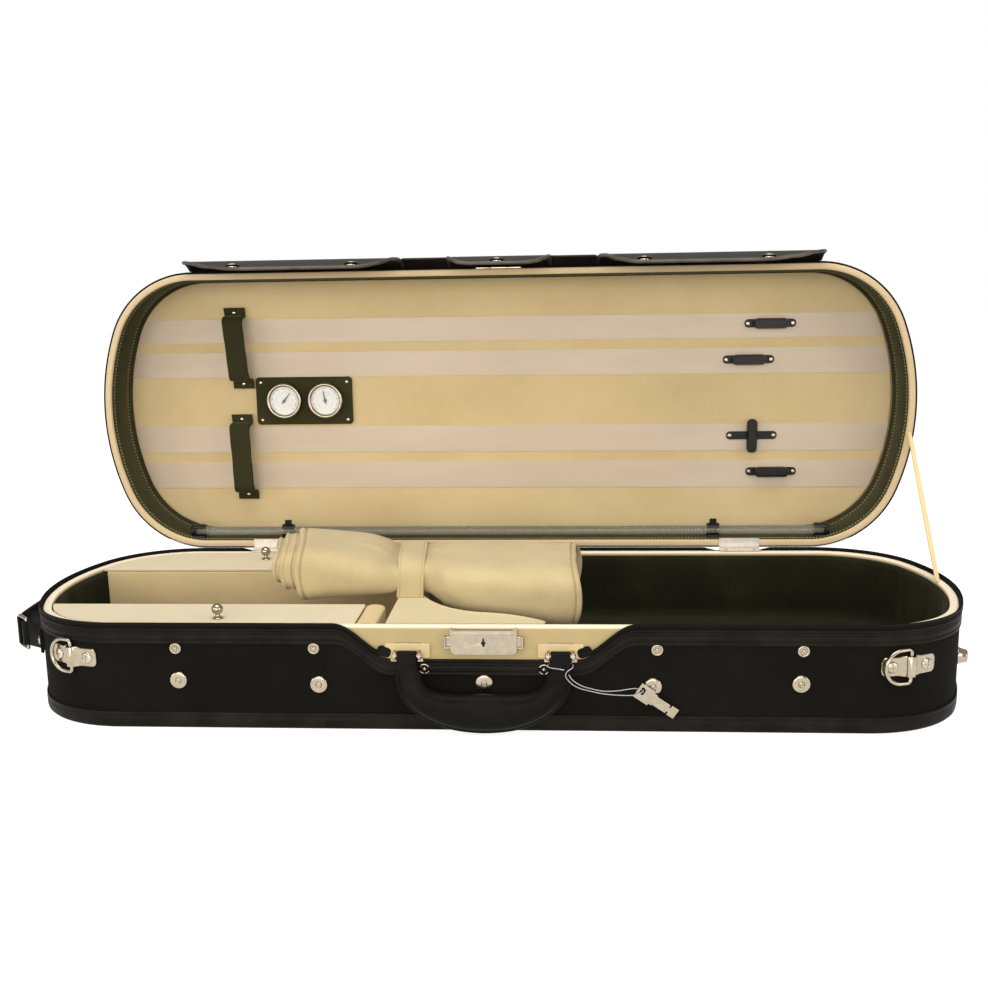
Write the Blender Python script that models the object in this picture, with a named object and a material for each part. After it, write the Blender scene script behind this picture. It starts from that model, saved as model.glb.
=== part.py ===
"""A fibreglass viola case, standing open with its lid upright.

All lengths are in metres. X runs along the case, Y from its front to its hinges,
Z up, and the origin is the middle of the underside. Everything in the lid is drawn
as it lies with the lid shut, and an empty on the hinge line then stands it up.
"""

import math

import bmesh
import bpy
from mathutils import Matrix, Vector

for old in list(bpy.data.objects):
    bpy.data.objects.remove(old, do_unlink=True)

# The case's outline, seen from above
LENGTH = 0.820
WIDTH = 0.284
END_RADIUS = 0.235
CORNER_RADIUS = 0.091
CORNER_STEPS = 6
END_STEPS = 3

# Heights
BASE_HEIGHT = 0.092
CLOSED_HEIGHT = 0.157
RIM_STEP = 0.003
FIT = 0.0003

# Layers of the base, from the outside in
BINDING_INSET = 0.0012
COVER_INSET = 0.0020
COVER_THICK = 0.0014
SKIRT_THICK = 0.0013
SHELL_THICK = 0.0032
LINING_THICK = 0.0062
FLOOR_COVER_THICK = 0.0015
WELL_FLOOR = 0.026
UPSTAND = 0.014
BINDING_HEIGHT = 0.014
RIM_THICK = 0.004
RIM_WIDTH = 0.0073
APRON_BOTTOM = 0.045

# The dip in the front, where the lock and the handle sit
DIP_INNER = 0.076
DIP_OUTER = 0.124
DIP_DEPTH = 0.0260
DIP_STEPS = 5
ZIP_END = 0.086
ZIP_HEIGHT = 0.0047
BACK_STRAIGHT = 0.300
BACK_REACH = 0.009

# The compartments
BOX_WALL = 0.003
BOX_TOP_THICK = 0.0027
LID_ROOM = 0.0009
BOX_RIGHT = -0.090
FRONT_BOX_BACK = -0.071
REAR_BOX_FRONT = 0.060
DIVIDER = 0.017
REAR_LID_END = -0.2145
KNOB_RADIUS = 0.0048
KNOB_STEM_RADIUS = 0.0022
KNOB_STEM = 0.0045
FRONT_KNOB = (-0.225, -0.118)
REAR_KNOB = (-0.236, 0.100)

# The neck rest
REST_LEFT = -0.082
REST_DROP = 0.004
REST_ARC_X = 0.064
REST_ARC_RADIUS = 0.131
CHANNEL_HALF = 0.028
CHANNEL_FLOOR = 0.050

# Hinges
HINGE_SPOTS = (-0.240, 0.240)
HINGE_LENGTH = 0.040
LEAF_THICK = 0.0008
LEAF_DEPTH = 0.0105
KNUCKLE_RADIUS = 0.0016
HINGE_DROP = 0.0020
HINGE_PROUD = 0.0004
PIN_RADIUS = 0.0007
PIN_PLAY = 0.00030
MIDDLE_KNUCKLE = 0.012

# Layers of the lid
LID_RIM_WIDTH = 0.0062
LID_RIM_THICK = 0.004
LID_COVER_THICK = 0.0012
LID_SHELL_THICK = 0.0025
LID_ROUND = 0.012
LID_ROUND_STEPS = 3
LID_ZIP_TOP = 0.098
BAND_THICK = 0.0020
PANEL_THICK = 0.0032
PANEL_INSET = 0.013
PANEL_SHIFT = 0.008

# Lock
LOCK_HALF = 0.0305
LOCK_DROP = 0.0056
LOCK_TALL = 0.0218
LOCK_DEPTH = 0.0044
LOCK_SKIN = 0.0006
BARREL_RADIUS = 0.0035
BARREL_DROP = 0.0163
KEYHOLE = (0.0016, 0.0064)
KEY_SLOT = (0.0012, 0.0050)
SLIDE_HEIGHT = 0.0085
THUMB_GAP = 0.0038
THUMB_THICK = 0.0020
LOCK_CORNER = 0.0055
STRIKER_HALF = 0.0255
STRIKER_THICK = 0.0012
STRIKER_DROP = 0.0115

# Carry handle
BRACKET_SPOT = 0.0625
BRACKET_WIDTH = 0.0225
BRACKET_DROP = 0.0170
BRACKET_HEIGHT = 0.0117
POST_THICK = 0.0016
HANDLE_PIN_DROP = 0.0265
HANDLE_PIN_OUT = 0.0050
HANDLE_PIN_RADIUS = 0.0015
HANDLE_PIN_PLAY = 0.0003
TAB_WIDTH = 0.016
TAB_RADIUS = 0.0042
GRIP_DROP = 0.0440
GRIP_CORNER = 0.024
GRIP_HALF_TALL = 0.0175
GRIP_HALF_THICK = 0.0090
GRIP_OUT = 0.0105
LEG_HALF_WIDE = 0.0130

# Rings and their plates
LEFT_PLATE = (math.radians(24.5), BASE_HEIGHT - 0.0315)
RIGHT_PLATE = (math.radians(20.0), BASE_HEIGHT - 0.0355)
PLATE_LENGTH = 0.048
PLATE_TALL = 0.017
PLATE_THICK = 0.0015
PLATE_STEPS = 10
RING_WIRE = 0.0016
RING_TALL = 0.031
RING_WIDE = 0.0255
RING_PLAY = 0.0008

# The foot on the right end
FOOT_Y = -0.045
FOOT_HEIGHT = 0.037
FOOT_RADIUS = 0.0078
FOOT_OUT = 0.009

# End handle
ANCHOR_HALF = 0.0625
ANCHOR_LENGTH = 0.030
ANCHOR_BEND = 0.0125
ANCHOR_WALL = 0.0018
ANCHOR_TALL = 0.022
ANCHOR_THICK = 0.0028
END_EYE_REACH = 0.0065
END_STRAP_REACH = 0.0175
END_STRAP_BOW = 0.0030
END_STRAP_HALF = 0.052
END_STRAP_THICK = 0.004
END_STRAP_TALL = 0.027
END_STRAP_DROP = 0.0335
END_RING_WIRE = 0.0015
END_RING_TALL = 0.031

# Things on the lid's panel: x, and how far from the hinge line
TOGGLE_SPOTS = ((0.273, 0.2244), (0.252, 0.1880), (0.257, 0.1096), (0.278, 0.0717))
TURNED_TOGGLE = 2
TOGGLE_PLATE = (0.052, 0.0085)
TOGGLE_PLATE_THICK = 0.0012
TOGGLE_SIZE = (0.035, 0.0105)
TOGGLE_TALL = 0.0095
TOGGLE_PIN = 0.0020
RIBBON_ROOM = 0.0007
SLEEVE_SPOTS = ((-0.280, 0.2062, 0.084), (-0.280, 0.0910, 0.091))
SLEEVE_WIDE = 0.024
SLEEVE_TALL = 0.019
SLEEVE_THICK = 0.004
SLEEVE_FOOT = 0.010
GAUGE_PANEL = (-0.2117, 0.1503, 0.103, 0.050)
GAUGE_PANEL_THICK = 0.003
GAUGE_SPOTS = (-0.2324, -0.1885)
GAUGE_REACH = 0.1508
GAUGE_RADIUS = 0.0187
GAUGE_FACE = 0.0155
GAUGE_TALL = 0.006
GAUGE_SINK = 0.0022
NEEDLE_LENGTH = 0.012
NEEDLE_THICK = 0.0006
NEEDLE_ANGLES = (math.radians(60), math.radians(105))
DIAL_PIN_RADIUS = 0.0009
TUBE_ENDS = (-0.328, 0.330)
TUBE_RADIUS = 0.0055
TUBE_REACH = 0.0186
TUBE_UP = 0.0190
LOOP_SPOTS = (-0.321, -0.226, 0.215, 0.323)
LOOP_WIDTH = 0.012
LOOP_THICK = 0.0012

# Weather flap
FLAP_ROOT = 0.110
FLAP_CHORD = 0.063
FLAP_MIDDLE_CHORD = 0.056
FLAP_NOTCH_CHORD = 0.026
FLAP_ARCH = (
    (0, 0.0013), (0.008, 0.0062), (0.018, 0.0102), (0.030, 0.0112), (0.042, 0.0095), (0.054, 0.0062),
    (0.063, 0.0038),
)
FLAP_THICK = 0.0020
FLAP_HALF = 0.313
FLAP_SIDE_START = 0.100
FLAP_MIDDLE_HALF = 0.047
FLAP_STEPS = 6

# Blanket and ribbon
BLANKET_LEFT = -0.192
BLANKET_RIGHT = 0.079
BLANKET_SLANT = 0.034
BLANKET_SIDES = 24
STRAP_WIDTH = 0.024
STRAP_THICK = 0.0012
STRAP_HALF = 0.0590
STRAP_RISE = 0.0405

# Stay between the lid and the base
STAY_BASE = (0.0110, 0.006)
STAY_HEAD = 0.0075
STAY_REACH = 0.1172
STAY_WIDTH = 0.006
STAY_THICK = 0.0012

# Key and its cord
KEY_THICK = 0.0016
KEY_ANGLE = math.radians(-34)
KEY_AT = (0.1245, -0.0277)
KEY_BOW = (0.0165, 0.0134)
KEY_SHANK = (0.0115, 0.0080)
KEY_BIT = (0.0065, 0.0088)
KEY_NOTCH = 0.0015
KEY_EYE = (0.0040, 0.0062)
KEY_OUT = 0.0010
CORD_RADIUS = 0.0005
CORD_SPACING = 0.0026

# Worked out from the sizes above
RIM_TOP = BASE_HEIGHT - RIM_STEP
SHELL_TOP = RIM_TOP - RIM_THICK - FIT
REST_TOP = BASE_HEIGHT - REST_DROP
STRAP_TOP = REST_TOP + STRAP_RISE
LOCK_TOP = BASE_HEIGHT - LOCK_DROP
LOCK_BOTTOM = LOCK_TOP - LOCK_TALL
BARREL_HEIGHT = BASE_HEIGHT - BARREL_DROP
BRACKET_BOTTOM = BASE_HEIGHT - BRACKET_DROP - BRACKET_HEIGHT
HANDLE_PIN_HEIGHT = BASE_HEIGHT - HANDLE_PIN_DROP
GRIP_HEIGHT = HANDLE_PIN_HEIGHT - GRIP_DROP
END_EYE_OUT = LENGTH / 2 + END_EYE_REACH
END_STRAP_OUT = LENGTH / 2 + END_STRAP_REACH
END_STRAP_HEIGHT = BASE_HEIGHT - END_STRAP_DROP
SKIRT_INSET = COVER_INSET + COVER_THICK + FIT
SHELL_INSET = SKIRT_INSET + SKIRT_THICK + FIT
LINING_INSET = SHELL_INSET + SHELL_THICK + FIT
WELL_INSET = LINING_INSET + LINING_THICK
BOX_INSET = WELL_INSET + FIT
RIM_INNER = SKIRT_INSET + RIM_WIDTH
LID_INSET = RIM_INNER + LID_ROOM
SHELL_BOTTOM = FLOOR_COVER_THICK + FIT
LINING_BOTTOM = SHELL_BOTTOM + SHELL_THICK + FIT
BOX_BOTTOM = WELL_FLOOR + FIT
BOX_TOP = RIM_TOP - BOX_TOP_THICK - FIT
HALF = WIDTH / 2
HINGE_Y = HALF + HINGE_PROUD + KNUCKLE_RADIUS
LID_RIM_BOTTOM = RIM_TOP + 2 * LEAF_THICK + 3 * FIT
HINGE_Z = RIM_TOP - HINGE_DROP
LID_SHELL_BOTTOM = LID_RIM_BOTTOM + LID_RIM_THICK + FIT
LID_ZIP_BOTTOM = BASE_HEIGHT + 2 * FIT
LID_COVER_BOTTOM = LID_ZIP_TOP + FIT
LID_SHELL_INSET = COVER_INSET + LID_COVER_THICK + FIT
LID_INNER = LID_SHELL_INSET + LID_SHELL_THICK
LID_SHELL_TOP = CLOSED_HEIGHT - LID_COVER_THICK - FIT
LID_CEILING = LID_SHELL_TOP - LID_SHELL_THICK
PANEL_FACE = LID_CEILING - FIT - PANEL_THICK
FRONT = -HALF + SKIRT_INSET - FIT
HANDLE_PIVOT = (0, -HALF + COVER_INSET - HANDLE_PIN_OUT, HANDLE_PIN_HEIGHT)
FACE_BEHIND_PIN = HANDLE_PIN_OUT - COVER_INSET


# Building blocks

def material(name, colour, roughness, metallic=0.0):
    made = bpy.data.materials.new(name)
    made.use_nodes = True
    shader = made.node_tree.nodes["Principled BSDF"]
    shader.inputs["Base Color"].default_value = (*colour, 1)
    shader.inputs["Roughness"].default_value = roughness
    shader.inputs["Metallic"].default_value = metallic
    made.diffuse_color = (*colour, 1)
    return made


WOVEN = material("woven_cover", (0.012, 0.011, 0.010), 0.85)
LEATHER = material("black_leather", (0.020, 0.018, 0.017), 0.45)
RIM_BEIGE = material("beige_rim", (0.60, 0.45, 0.25), 0.7)
VELOUR = material("tan_velour", (0.46, 0.32, 0.16), 0.9)
VELVET = material("green_velvet", (0.020, 0.026, 0.010), 0.9)
CREAM = material("cream_blanket", (0.62, 0.48, 0.27), 0.9)
FIBREGLASS = material("fibreglass", (0.03, 0.03, 0.03), 0.5)
NICKEL = material("nickel", (0.62, 0.57, 0.50), 0.22, 1.0)
BLACK_PLASTIC = material("black_plastic", (0.012, 0.012, 0.012), 0.3)
CLEAR_PLASTIC = material("clear_plastic", (0.65, 0.62, 0.55), 0.15)
WHITE_DIAL = material("white_dial", (0.80, 0.80, 0.76), 0.4)
STAY_RIBBON = material("stay_ribbon", (0.66, 0.55, 0.30), 0.7)
CORD = material("white_cord", (0.70, 0.68, 0.70), 0.4)


def solid(name, bm, look, smooth=35):
    """A named object from a closed bmesh."""
    bmesh.ops.recalc_face_normals(bm, faces=bm.faces)
    mesh = bpy.data.meshes.new(name)
    bm.to_mesh(mesh)
    bm.free()
    mesh.materials.append(look)
    mesh.shade_smooth()
    mesh.set_sharp_from_angle(angle=math.radians(smooth))
    made = bpy.data.objects.new(name, mesh)
    bpy.context.scene.collection.objects.link(made)
    return made


def loft(loops, around=False):
    """A closed bmesh through loops of points that have the same count."""
    bm = bmesh.new()
    rings = [[bm.verts.new(point) for point in loop] for loop in loops]
    count = len(rings[0])
    pairs = list(zip(rings, rings[1:]))
    if around:
        pairs.append((rings[-1], rings[0]))
    for one, two in pairs:
        for i in range(count):
            j = (i + 1) % count
            bm.faces.new((one[i], one[j], two[j], two[i]))
    if not around:
        bm.faces.new(rings[0])
        bm.faces.new(rings[-1])
    return bm


def block(x0, x1, y0, y1, z0, z1):
    return plate([(x0, y0), (x1, y0), (x1, y1), (x0, y1)], z0, z1)


def plate(points, z0, z1):
    """A flat outline in plan, between two heights."""
    return loft([[(x, y, z) for x, y in points] for z in (z0, z1)])


def side_plate(points, x0, x1):
    """An outline in Y and Z, between two places along X."""
    return loft([[(x, y, z) for y, z in points] for x in (x0, x1)])


def front_plate(points, y0, y1):
    """An outline in X and Z, between two places along Y."""
    return loft([[(x, y, z) for x, z in points] for y in (y0, y1)])


def circle(radius, count, start=0.0):
    step = 2 * math.pi / count
    turn = [start + step * i for i in range(count)]
    return [(radius * math.cos(a), radius * math.sin(a)) for a in turn]


def turned(profile, count, centre, axis="Z"):
    """A turned piece: the profile lists (radius, place along the axis)."""
    loops = []
    for radius, along in profile:
        loop = []
        for u, v in circle(radius, count, math.pi / count):
            point = {"X": (along, u, v), "Y": (v, along, u), "Z": (u, v, along)}[axis]
            loop.append(Vector(centre) + Vector(point))
        loops.append(loop)
    return loft(loops)


def rod(radius, start, end, centre, axis, count=12):
    return turned(((radius, start), (radius, end)), count, centre, axis)


def rounded(width, depth, radius, steps=3):
    """A rectangle with round corners, centred on nothing."""
    points = []
    corners = ((1, 1, 0), (-1, 1, 90), (-1, -1, 180), (1, -1, 270))
    for sx, sy, start in corners:
        for i in range(steps + 1):
            a = math.radians(start + 90 * i / steps)
            x = sx * (width / 2 - radius) + radius * math.cos(a)
            y = sy * (depth / 2 - radius) + radius * math.sin(a)
            points.append((x, y))
    return points


def moved(points, dx, dy):
    return [(x + dx, y + dy) for x, y in points]


def tube(path, half_side, half_up, up, count=10, around=False):
    """An oval bar along a path of points, its two half sizes given for each point."""
    loops = []
    for i, point in enumerate(path):
        before = path[i - 1] if i or around else point
        after = path[(i + 1) % len(path)] if i + 1 < len(path) or around else point
        along = (Vector(after) - Vector(before)).normalized()
        side = along.cross(Vector(up)).normalized()
        top = side.cross(along)
        a = half_side[i] if isinstance(half_side, list) else half_side
        b = half_up[i] if isinstance(half_up, list) else half_up
        ring = circle(1.0, count, math.pi / count)
        loops.append([Vector(point) + side * (u * a) + top * (v * b) for u, v in ring])
    return loft(loops, around)


def combine(made, others, operation):
    """Joins shapes to an object or cuts them from it, then drops the helpers."""
    for index, bm in enumerate(others):
        helper = solid(made.name + "_helper" + str(index), bm, made.data.materials[0])
        helper.hide_render = True
        helper.display_type = "WIRE"
        step = made.modifiers.new("step", "BOOLEAN")
        step.operation = operation
        step.solver = "EXACT"
        step.object = helper
        graph = bpy.context.evaluated_depsgraph_get()
        result = bpy.data.meshes.new_from_object(made.evaluated_get(graph))
        made.modifiers.clear()
        made.data = result
        bpy.data.objects.remove(helper, do_unlink=True)
    made.data.shade_smooth()
    made.data.set_sharp_from_angle(angle=math.radians(35))
    return made


def join(made, *others):
    return combine(made, others, "UNION")


def cut(made, *others):
    return combine(made, others, "DIFFERENCE")


def hang(made, pivot, parent=None):
    """Moves an object's origin to its pivot, then hangs it on a parent there."""
    made.data.transform(Matrix.Translation(-Vector(pivot)))
    made.location = Vector(pivot)
    if parent:
        made.parent = parent
        made.location = Vector(pivot) - Vector(parent["pivot"])
    return made


def stand(name, pivot, turn=0.0, parent=None):
    """An empty on a joint's axis, turned about X."""
    made = bpy.data.objects.new(name, None)
    made["pivot"] = pivot
    bpy.context.scene.collection.objects.link(made)
    made.location = Vector(pivot)
    if parent:
        made.parent = parent
        made.location = Vector(pivot) - Vector(parent["pivot"])
    made.rotation_euler.x = turn
    return made


# The outline

def corner_centre():
    reach = END_RADIUS - CORNER_RADIUS
    across = HALF - CORNER_RADIUS
    end_x = LENGTH / 2 - END_RADIUS
    return end_x + math.sqrt(reach**2 - across**2), across


def stations():
    """Places round the case from the middle of its front, anticlockwise from above.

    Each is a point on the outermost line with the direction inwards, and whether
    it lies on the front straight.
    """
    corner_x, corner_y = corner_centre()
    end_x = LENGTH / 2 - END_RADIUS
    blend = math.atan2(corner_y, corner_x - end_x)
    half_front = [(0.0, True), (DIP_INNER, True)]
    for i in range(1, DIP_STEPS):
        x = DIP_INNER + (DIP_OUTER - DIP_INNER) * i / DIP_STEPS
        half_front.append((x, True))
    half_front += [(DIP_OUTER, True)]
    right = [(x, -HALF, 0.0, 1.0, front) for x, front in half_front]
    for i in range(CORNER_STEPS + 1):
        a = -math.pi / 2 + (math.pi / 2 - blend) * i / CORNER_STEPS
        x = corner_x + CORNER_RADIUS * math.cos(a)
        y = -corner_y + CORNER_RADIUS * math.sin(a)
        right.append((x, y, -math.cos(a), -math.sin(a), i == 0))
    for i in range(1, END_STEPS + 1):
        a = -blend + blend * i / END_STEPS
        x = end_x + END_RADIUS * math.cos(a)
        y = END_RADIUS * math.sin(a)
        right.append((x, y, -math.cos(a), -math.sin(a), False))
    back = [(x, -y, nx, -ny, False) for x, y, nx, ny, front in reversed(right[:-1])]
    back = [place for place in back if place[0] > DIP_OUTER + FIT]
    back += [(BACK_STRAIGHT, HALF, 0.0, -1.0, False), (0.0, HALF, 0.0, -1.0, False)]
    half = right + back
    left = [(-x, y, -nx, ny, front) for x, y, nx, ny, front in reversed(half[1:-1])]
    return half + left


PLACES = stations()


def at(place, inset):
    x, y, nx, ny, front = place
    return x + nx * inset, y + ny * inset


def outline(inset):
    return [at(place, inset) for place in PLACES]


def dip(place):
    """How far the dip has come down at a place, from 0 to 1."""
    x = abs(place[0])
    if not place[4] or x >= DIP_OUTER:
        return 0.0
    share = max(0.0, (x - DIP_INNER) / (DIP_OUTER - DIP_INNER))
    return 0.5 * (1 + math.cos(math.pi * share))


def in_gap(place):
    return place[4] and abs(place[0]) < ZIP_END - FIT


def on_back(place):
    return place[1] > HALF - BACK_REACH


def band(name, look, profile, places=None):
    """A wall round the case: profile gives (inset, height) corners at each place."""
    loops = []
    for place in places or PLACES:
        loops.append([(*at(place, inset), z) for inset, z in profile(place)])
    return solid(name, loft(loops, around=places is None), look)


def tray(name, look, rings):
    """A tray or a cap: rings of (inset, height) from its inner face round to its outer."""
    loops = []
    for inset, z in rings:
        loops.append([(*at(place, inset), z if not callable(z) else z(place)) for place in PLACES])
    return solid(name, loft(loops), look)


def open_front():
    """The places of the zipper, from one side of the dip round the back to the other."""
    y = -HALF
    first = (ZIP_END, y, 0.0, 1.0, True)
    last = (-ZIP_END, y, 0.0, 1.0, True)
    return [first] + [place for place in PLACES if not in_gap(place)] + [last]


def clipped(points, axis, limit, sign):
    """The part of an outline where sign * coordinate is over sign * limit."""
    kept = []
    for i, point in enumerate(points):
        after = points[(i + 1) % len(points)]
        here = sign * (point[axis] - limit)
        there = sign * (after[axis] - limit)
        if here >= 0:
            kept.append(point)
        if here * there < 0:
            share = here / (here - there)
            kept.append(tuple(p + (q - p) * share for p, q in zip(point, after)))
    return kept


def box_outline(inset, front, edge, right):
    """The case's left part in plan, in front of or behind a line across it."""
    points = clipped(outline(inset), 1, edge, -1 if front else 1)
    return clipped(points, 0, right, -1)


# The base

def make_base_shell():
    top = SHELL_TOP
    inner = SHELL_INSET + SHELL_THICK
    rings = [
        (inner + 0.0020, SHELL_BOTTOM + SHELL_THICK),
        (inner, SHELL_BOTTOM + SHELL_THICK + 0.0020),
        (inner, top),
        (SHELL_INSET, top),
        (SHELL_INSET, SHELL_BOTTOM + 0.0030),
        (SHELL_INSET + 0.0030, SHELL_BOTTOM),
    ]
    tray("base_shell", FIBREGLASS, rings)


def make_bottom_cover():
    outer = BINDING_INSET - 0.0006
    inner = COVER_INSET - FIT
    rings = [
        (inner, FLOOR_COVER_THICK),
        (inner, UPSTAND),
        (outer, UPSTAND),
        (outer, 0.0012),
        (outer + 0.0010, 0.0),
    ]
    tray("base_bottom_cover", LEATHER, rings)


def make_side_cover():
    inner = COVER_INSET + COVER_THICK
    low = SHELL_BOTTOM

    def profile(place):
        top = BASE_HEIGHT - ZIP_HEIGHT - FIT - dip(place) * DIP_DEPTH
        step = top - BINDING_HEIGHT
        return [
            (inner, low),
            (inner, top),
            (BINDING_INSET, top),
            (BINDING_INSET, step),
            (COVER_INSET, step - 0.0010),
            (COVER_INSET, low),
        ]

    band("base_side_cover", WOVEN, profile)


def make_base_zipper():
    inner = COVER_INSET + COVER_THICK
    lid_edge = COVER_INSET + 0.0002

    def profile(place):
        low = BASE_HEIGHT - ZIP_HEIGHT - dip(place) * DIP_DEPTH
        scale = 1.0
        if on_back(place):
            scale = (RIM_TOP - BASE_HEIGHT + ZIP_HEIGHT - 0.0001) / ZIP_HEIGHT
        corners = ((inner, 0), (inner, 0.0029), (lid_edge, 0.0037), (lid_edge - 0.0005, ZIP_HEIGHT))
        corners += ((FIT, ZIP_HEIGHT), (0.0, 0.0034), (0.0006, 0))
        return [(inset, low + up * scale) for inset, up in corners]

    band("base_zipper", WOVEN, profile, open_front())


def make_base_rim():
    top = RIM_TOP
    under = RIM_TOP - RIM_THICK
    skirt = SKIRT_INSET + SKIRT_THICK
    corners = [
        (SKIRT_INSET, APRON_BOTTOM),
        (SKIRT_INSET, top - 0.0010),
        (SKIRT_INSET + 0.0010, top),
        (RIM_INNER - 0.0010, top),
        (RIM_INNER, top - 0.0010),
        (RIM_INNER, under),
        (skirt, under),
        (skirt, APRON_BOTTOM),
    ]
    band("base_rim", RIM_BEIGE, lambda place: corners)


def make_lining():
    rings = [
        (WELL_INSET, WELL_FLOOR),
        (WELL_INSET, SHELL_TOP),
        (LINING_INSET, SHELL_TOP),
        (LINING_INSET, LINING_BOTTOM + 0.0020),
        (LINING_INSET + 0.0020, LINING_BOTTOM),
    ]
    tray("well_lining", VELVET, rings)


def rest_outline():
    """The neck rest in plan: straight towards the boxes, hollowed towards the well."""
    reach = HALF - WELL_INSET - FIT
    half_angle = math.asin(reach / REST_ARC_RADIUS)
    points = [(REST_LEFT, reach), (REST_LEFT, -reach)]
    steps = 12
    for i in range(steps + 1):
        a = -half_angle + 2 * half_angle * i / steps
        x = REST_ARC_X - REST_ARC_RADIUS * math.cos(a)
        points.append((x, REST_ARC_RADIUS * math.sin(a)))
    return points


def make_neck_rest():
    made = solid("neck_rest", plate(rest_outline(), BOX_BOTTOM, REST_TOP), CREAM)
    soft = made.modifiers.new("soft edge", "BEVEL")
    soft.width = 0.003
    soft.segments = 2
    soft.limit_method = "ANGLE"
    soft.angle_limit = math.radians(60)
    round_floor = circle(CHANNEL_HALF, 16, math.pi / 16)
    u = [(y, CHANNEL_FLOOR + CHANNEL_HALF + z) for y, z in round_floor if z < 0]
    u = [(-CHANNEL_HALF, BASE_HEIGHT), *sorted(u), (CHANNEL_HALF, BASE_HEIGHT)]
    cut(made, side_plate(u, REST_LEFT - 0.02, REST_LEFT + 0.05))


def make_front_box():
    outer = box_outline(BOX_INSET, True, FRONT_BOX_BACK, BOX_RIGHT)
    hollow_right = BOX_RIGHT - DIVIDER
    hollow_edge = FRONT_BOX_BACK - BOX_WALL
    hollow = box_outline(BOX_INSET + BOX_WALL, True, hollow_edge, hollow_right)
    made = solid("front_box", plate(outer, BOX_BOTTOM, BOX_TOP), VELOUR)
    cut(made, plate(hollow, BOX_BOTTOM + BOX_WALL, RIM_TOP + 0.01))
    arch_low = BOX_TOP - 0.010
    radius = DIVIDER / 2
    rise = RIM_TOP - BOX_TOP
    arch = [(hollow_right, arch_low), (BOX_RIGHT, arch_low), (BOX_RIGHT, BOX_TOP)]
    for i in range(1, 6):
        a = math.pi * i / 6
        arch.append((BOX_RIGHT - radius + radius * math.cos(a), BOX_TOP + rise * math.sin(a)))
    arch.append((hollow_right, BOX_TOP))
    join(made, front_plate(arch, -HALF + BOX_INSET, FRONT_BOX_BACK))


def make_rear_box():
    outer = box_outline(BOX_INSET, False, REAR_BOX_FRONT, BOX_RIGHT)
    hollow_edge = REAR_BOX_FRONT + BOX_WALL
    hollow = box_outline(BOX_INSET + BOX_WALL, False, hollow_edge, BOX_RIGHT - BOX_WALL)
    made = solid("rear_box", plate(outer, BOX_BOTTOM, RIM_TOP), VELOUR)
    high = RIM_TOP + 0.01
    seat_end = REAR_LID_END + FIT
    seat = block(-LENGTH / 2, seat_end, REAR_BOX_FRONT - 0.01, HALF, BOX_TOP, high)
    under = plate(hollow, BOX_BOTTOM + BOX_WALL, BOX_TOP)
    mouth = plate(clipped(hollow, 0, seat_end - BOX_WALL, -1), BOX_TOP - 0.01, high)
    cut(made, under, seat, mouth)


def box_lid(name, knob_name, front, edge, right, knob_at):
    """A compartment lid on the cloth hinge along its inner edge, with its knob."""
    pivot = (0.0, edge, RIM_TOP)
    low = RIM_TOP - BOX_TOP_THICK
    lid = solid(name, plate(box_outline(LID_INSET, front, edge, right), low, RIM_TOP), VELOUR)
    hang(lid, pivot)
    start = RIM_TOP + FIT
    ball = start + KNOB_STEM + KNOB_RADIUS * 0.8
    profile = [(KNOB_STEM_RADIUS * 1.8, start), (KNOB_STEM_RADIUS * 1.8, start + 0.0012)]
    profile.append((KNOB_STEM_RADIUS, start + 0.0018))
    for i in range(1, 7):
        a = -math.radians(62) + math.radians(150) * i / 7
        profile.append((KNOB_RADIUS * math.cos(a), ball + KNOB_RADIUS * math.sin(a)))
    knob = solid(knob_name, turned(profile, 14, (*knob_at, 0)), NICKEL)
    hang(knob, pivot)


def make_boxes():
    make_front_box()
    make_rear_box()
    right = BOX_RIGHT - DIVIDER - FIT
    box_lid("front_box_lid", "front_knob", True, FRONT_BOX_BACK, right, FRONT_KNOB)
    box_lid("rear_box_lid", "rear_knob", False, REAR_BOX_FRONT, REAR_LID_END, REAR_KNOB)


# The lock

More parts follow.
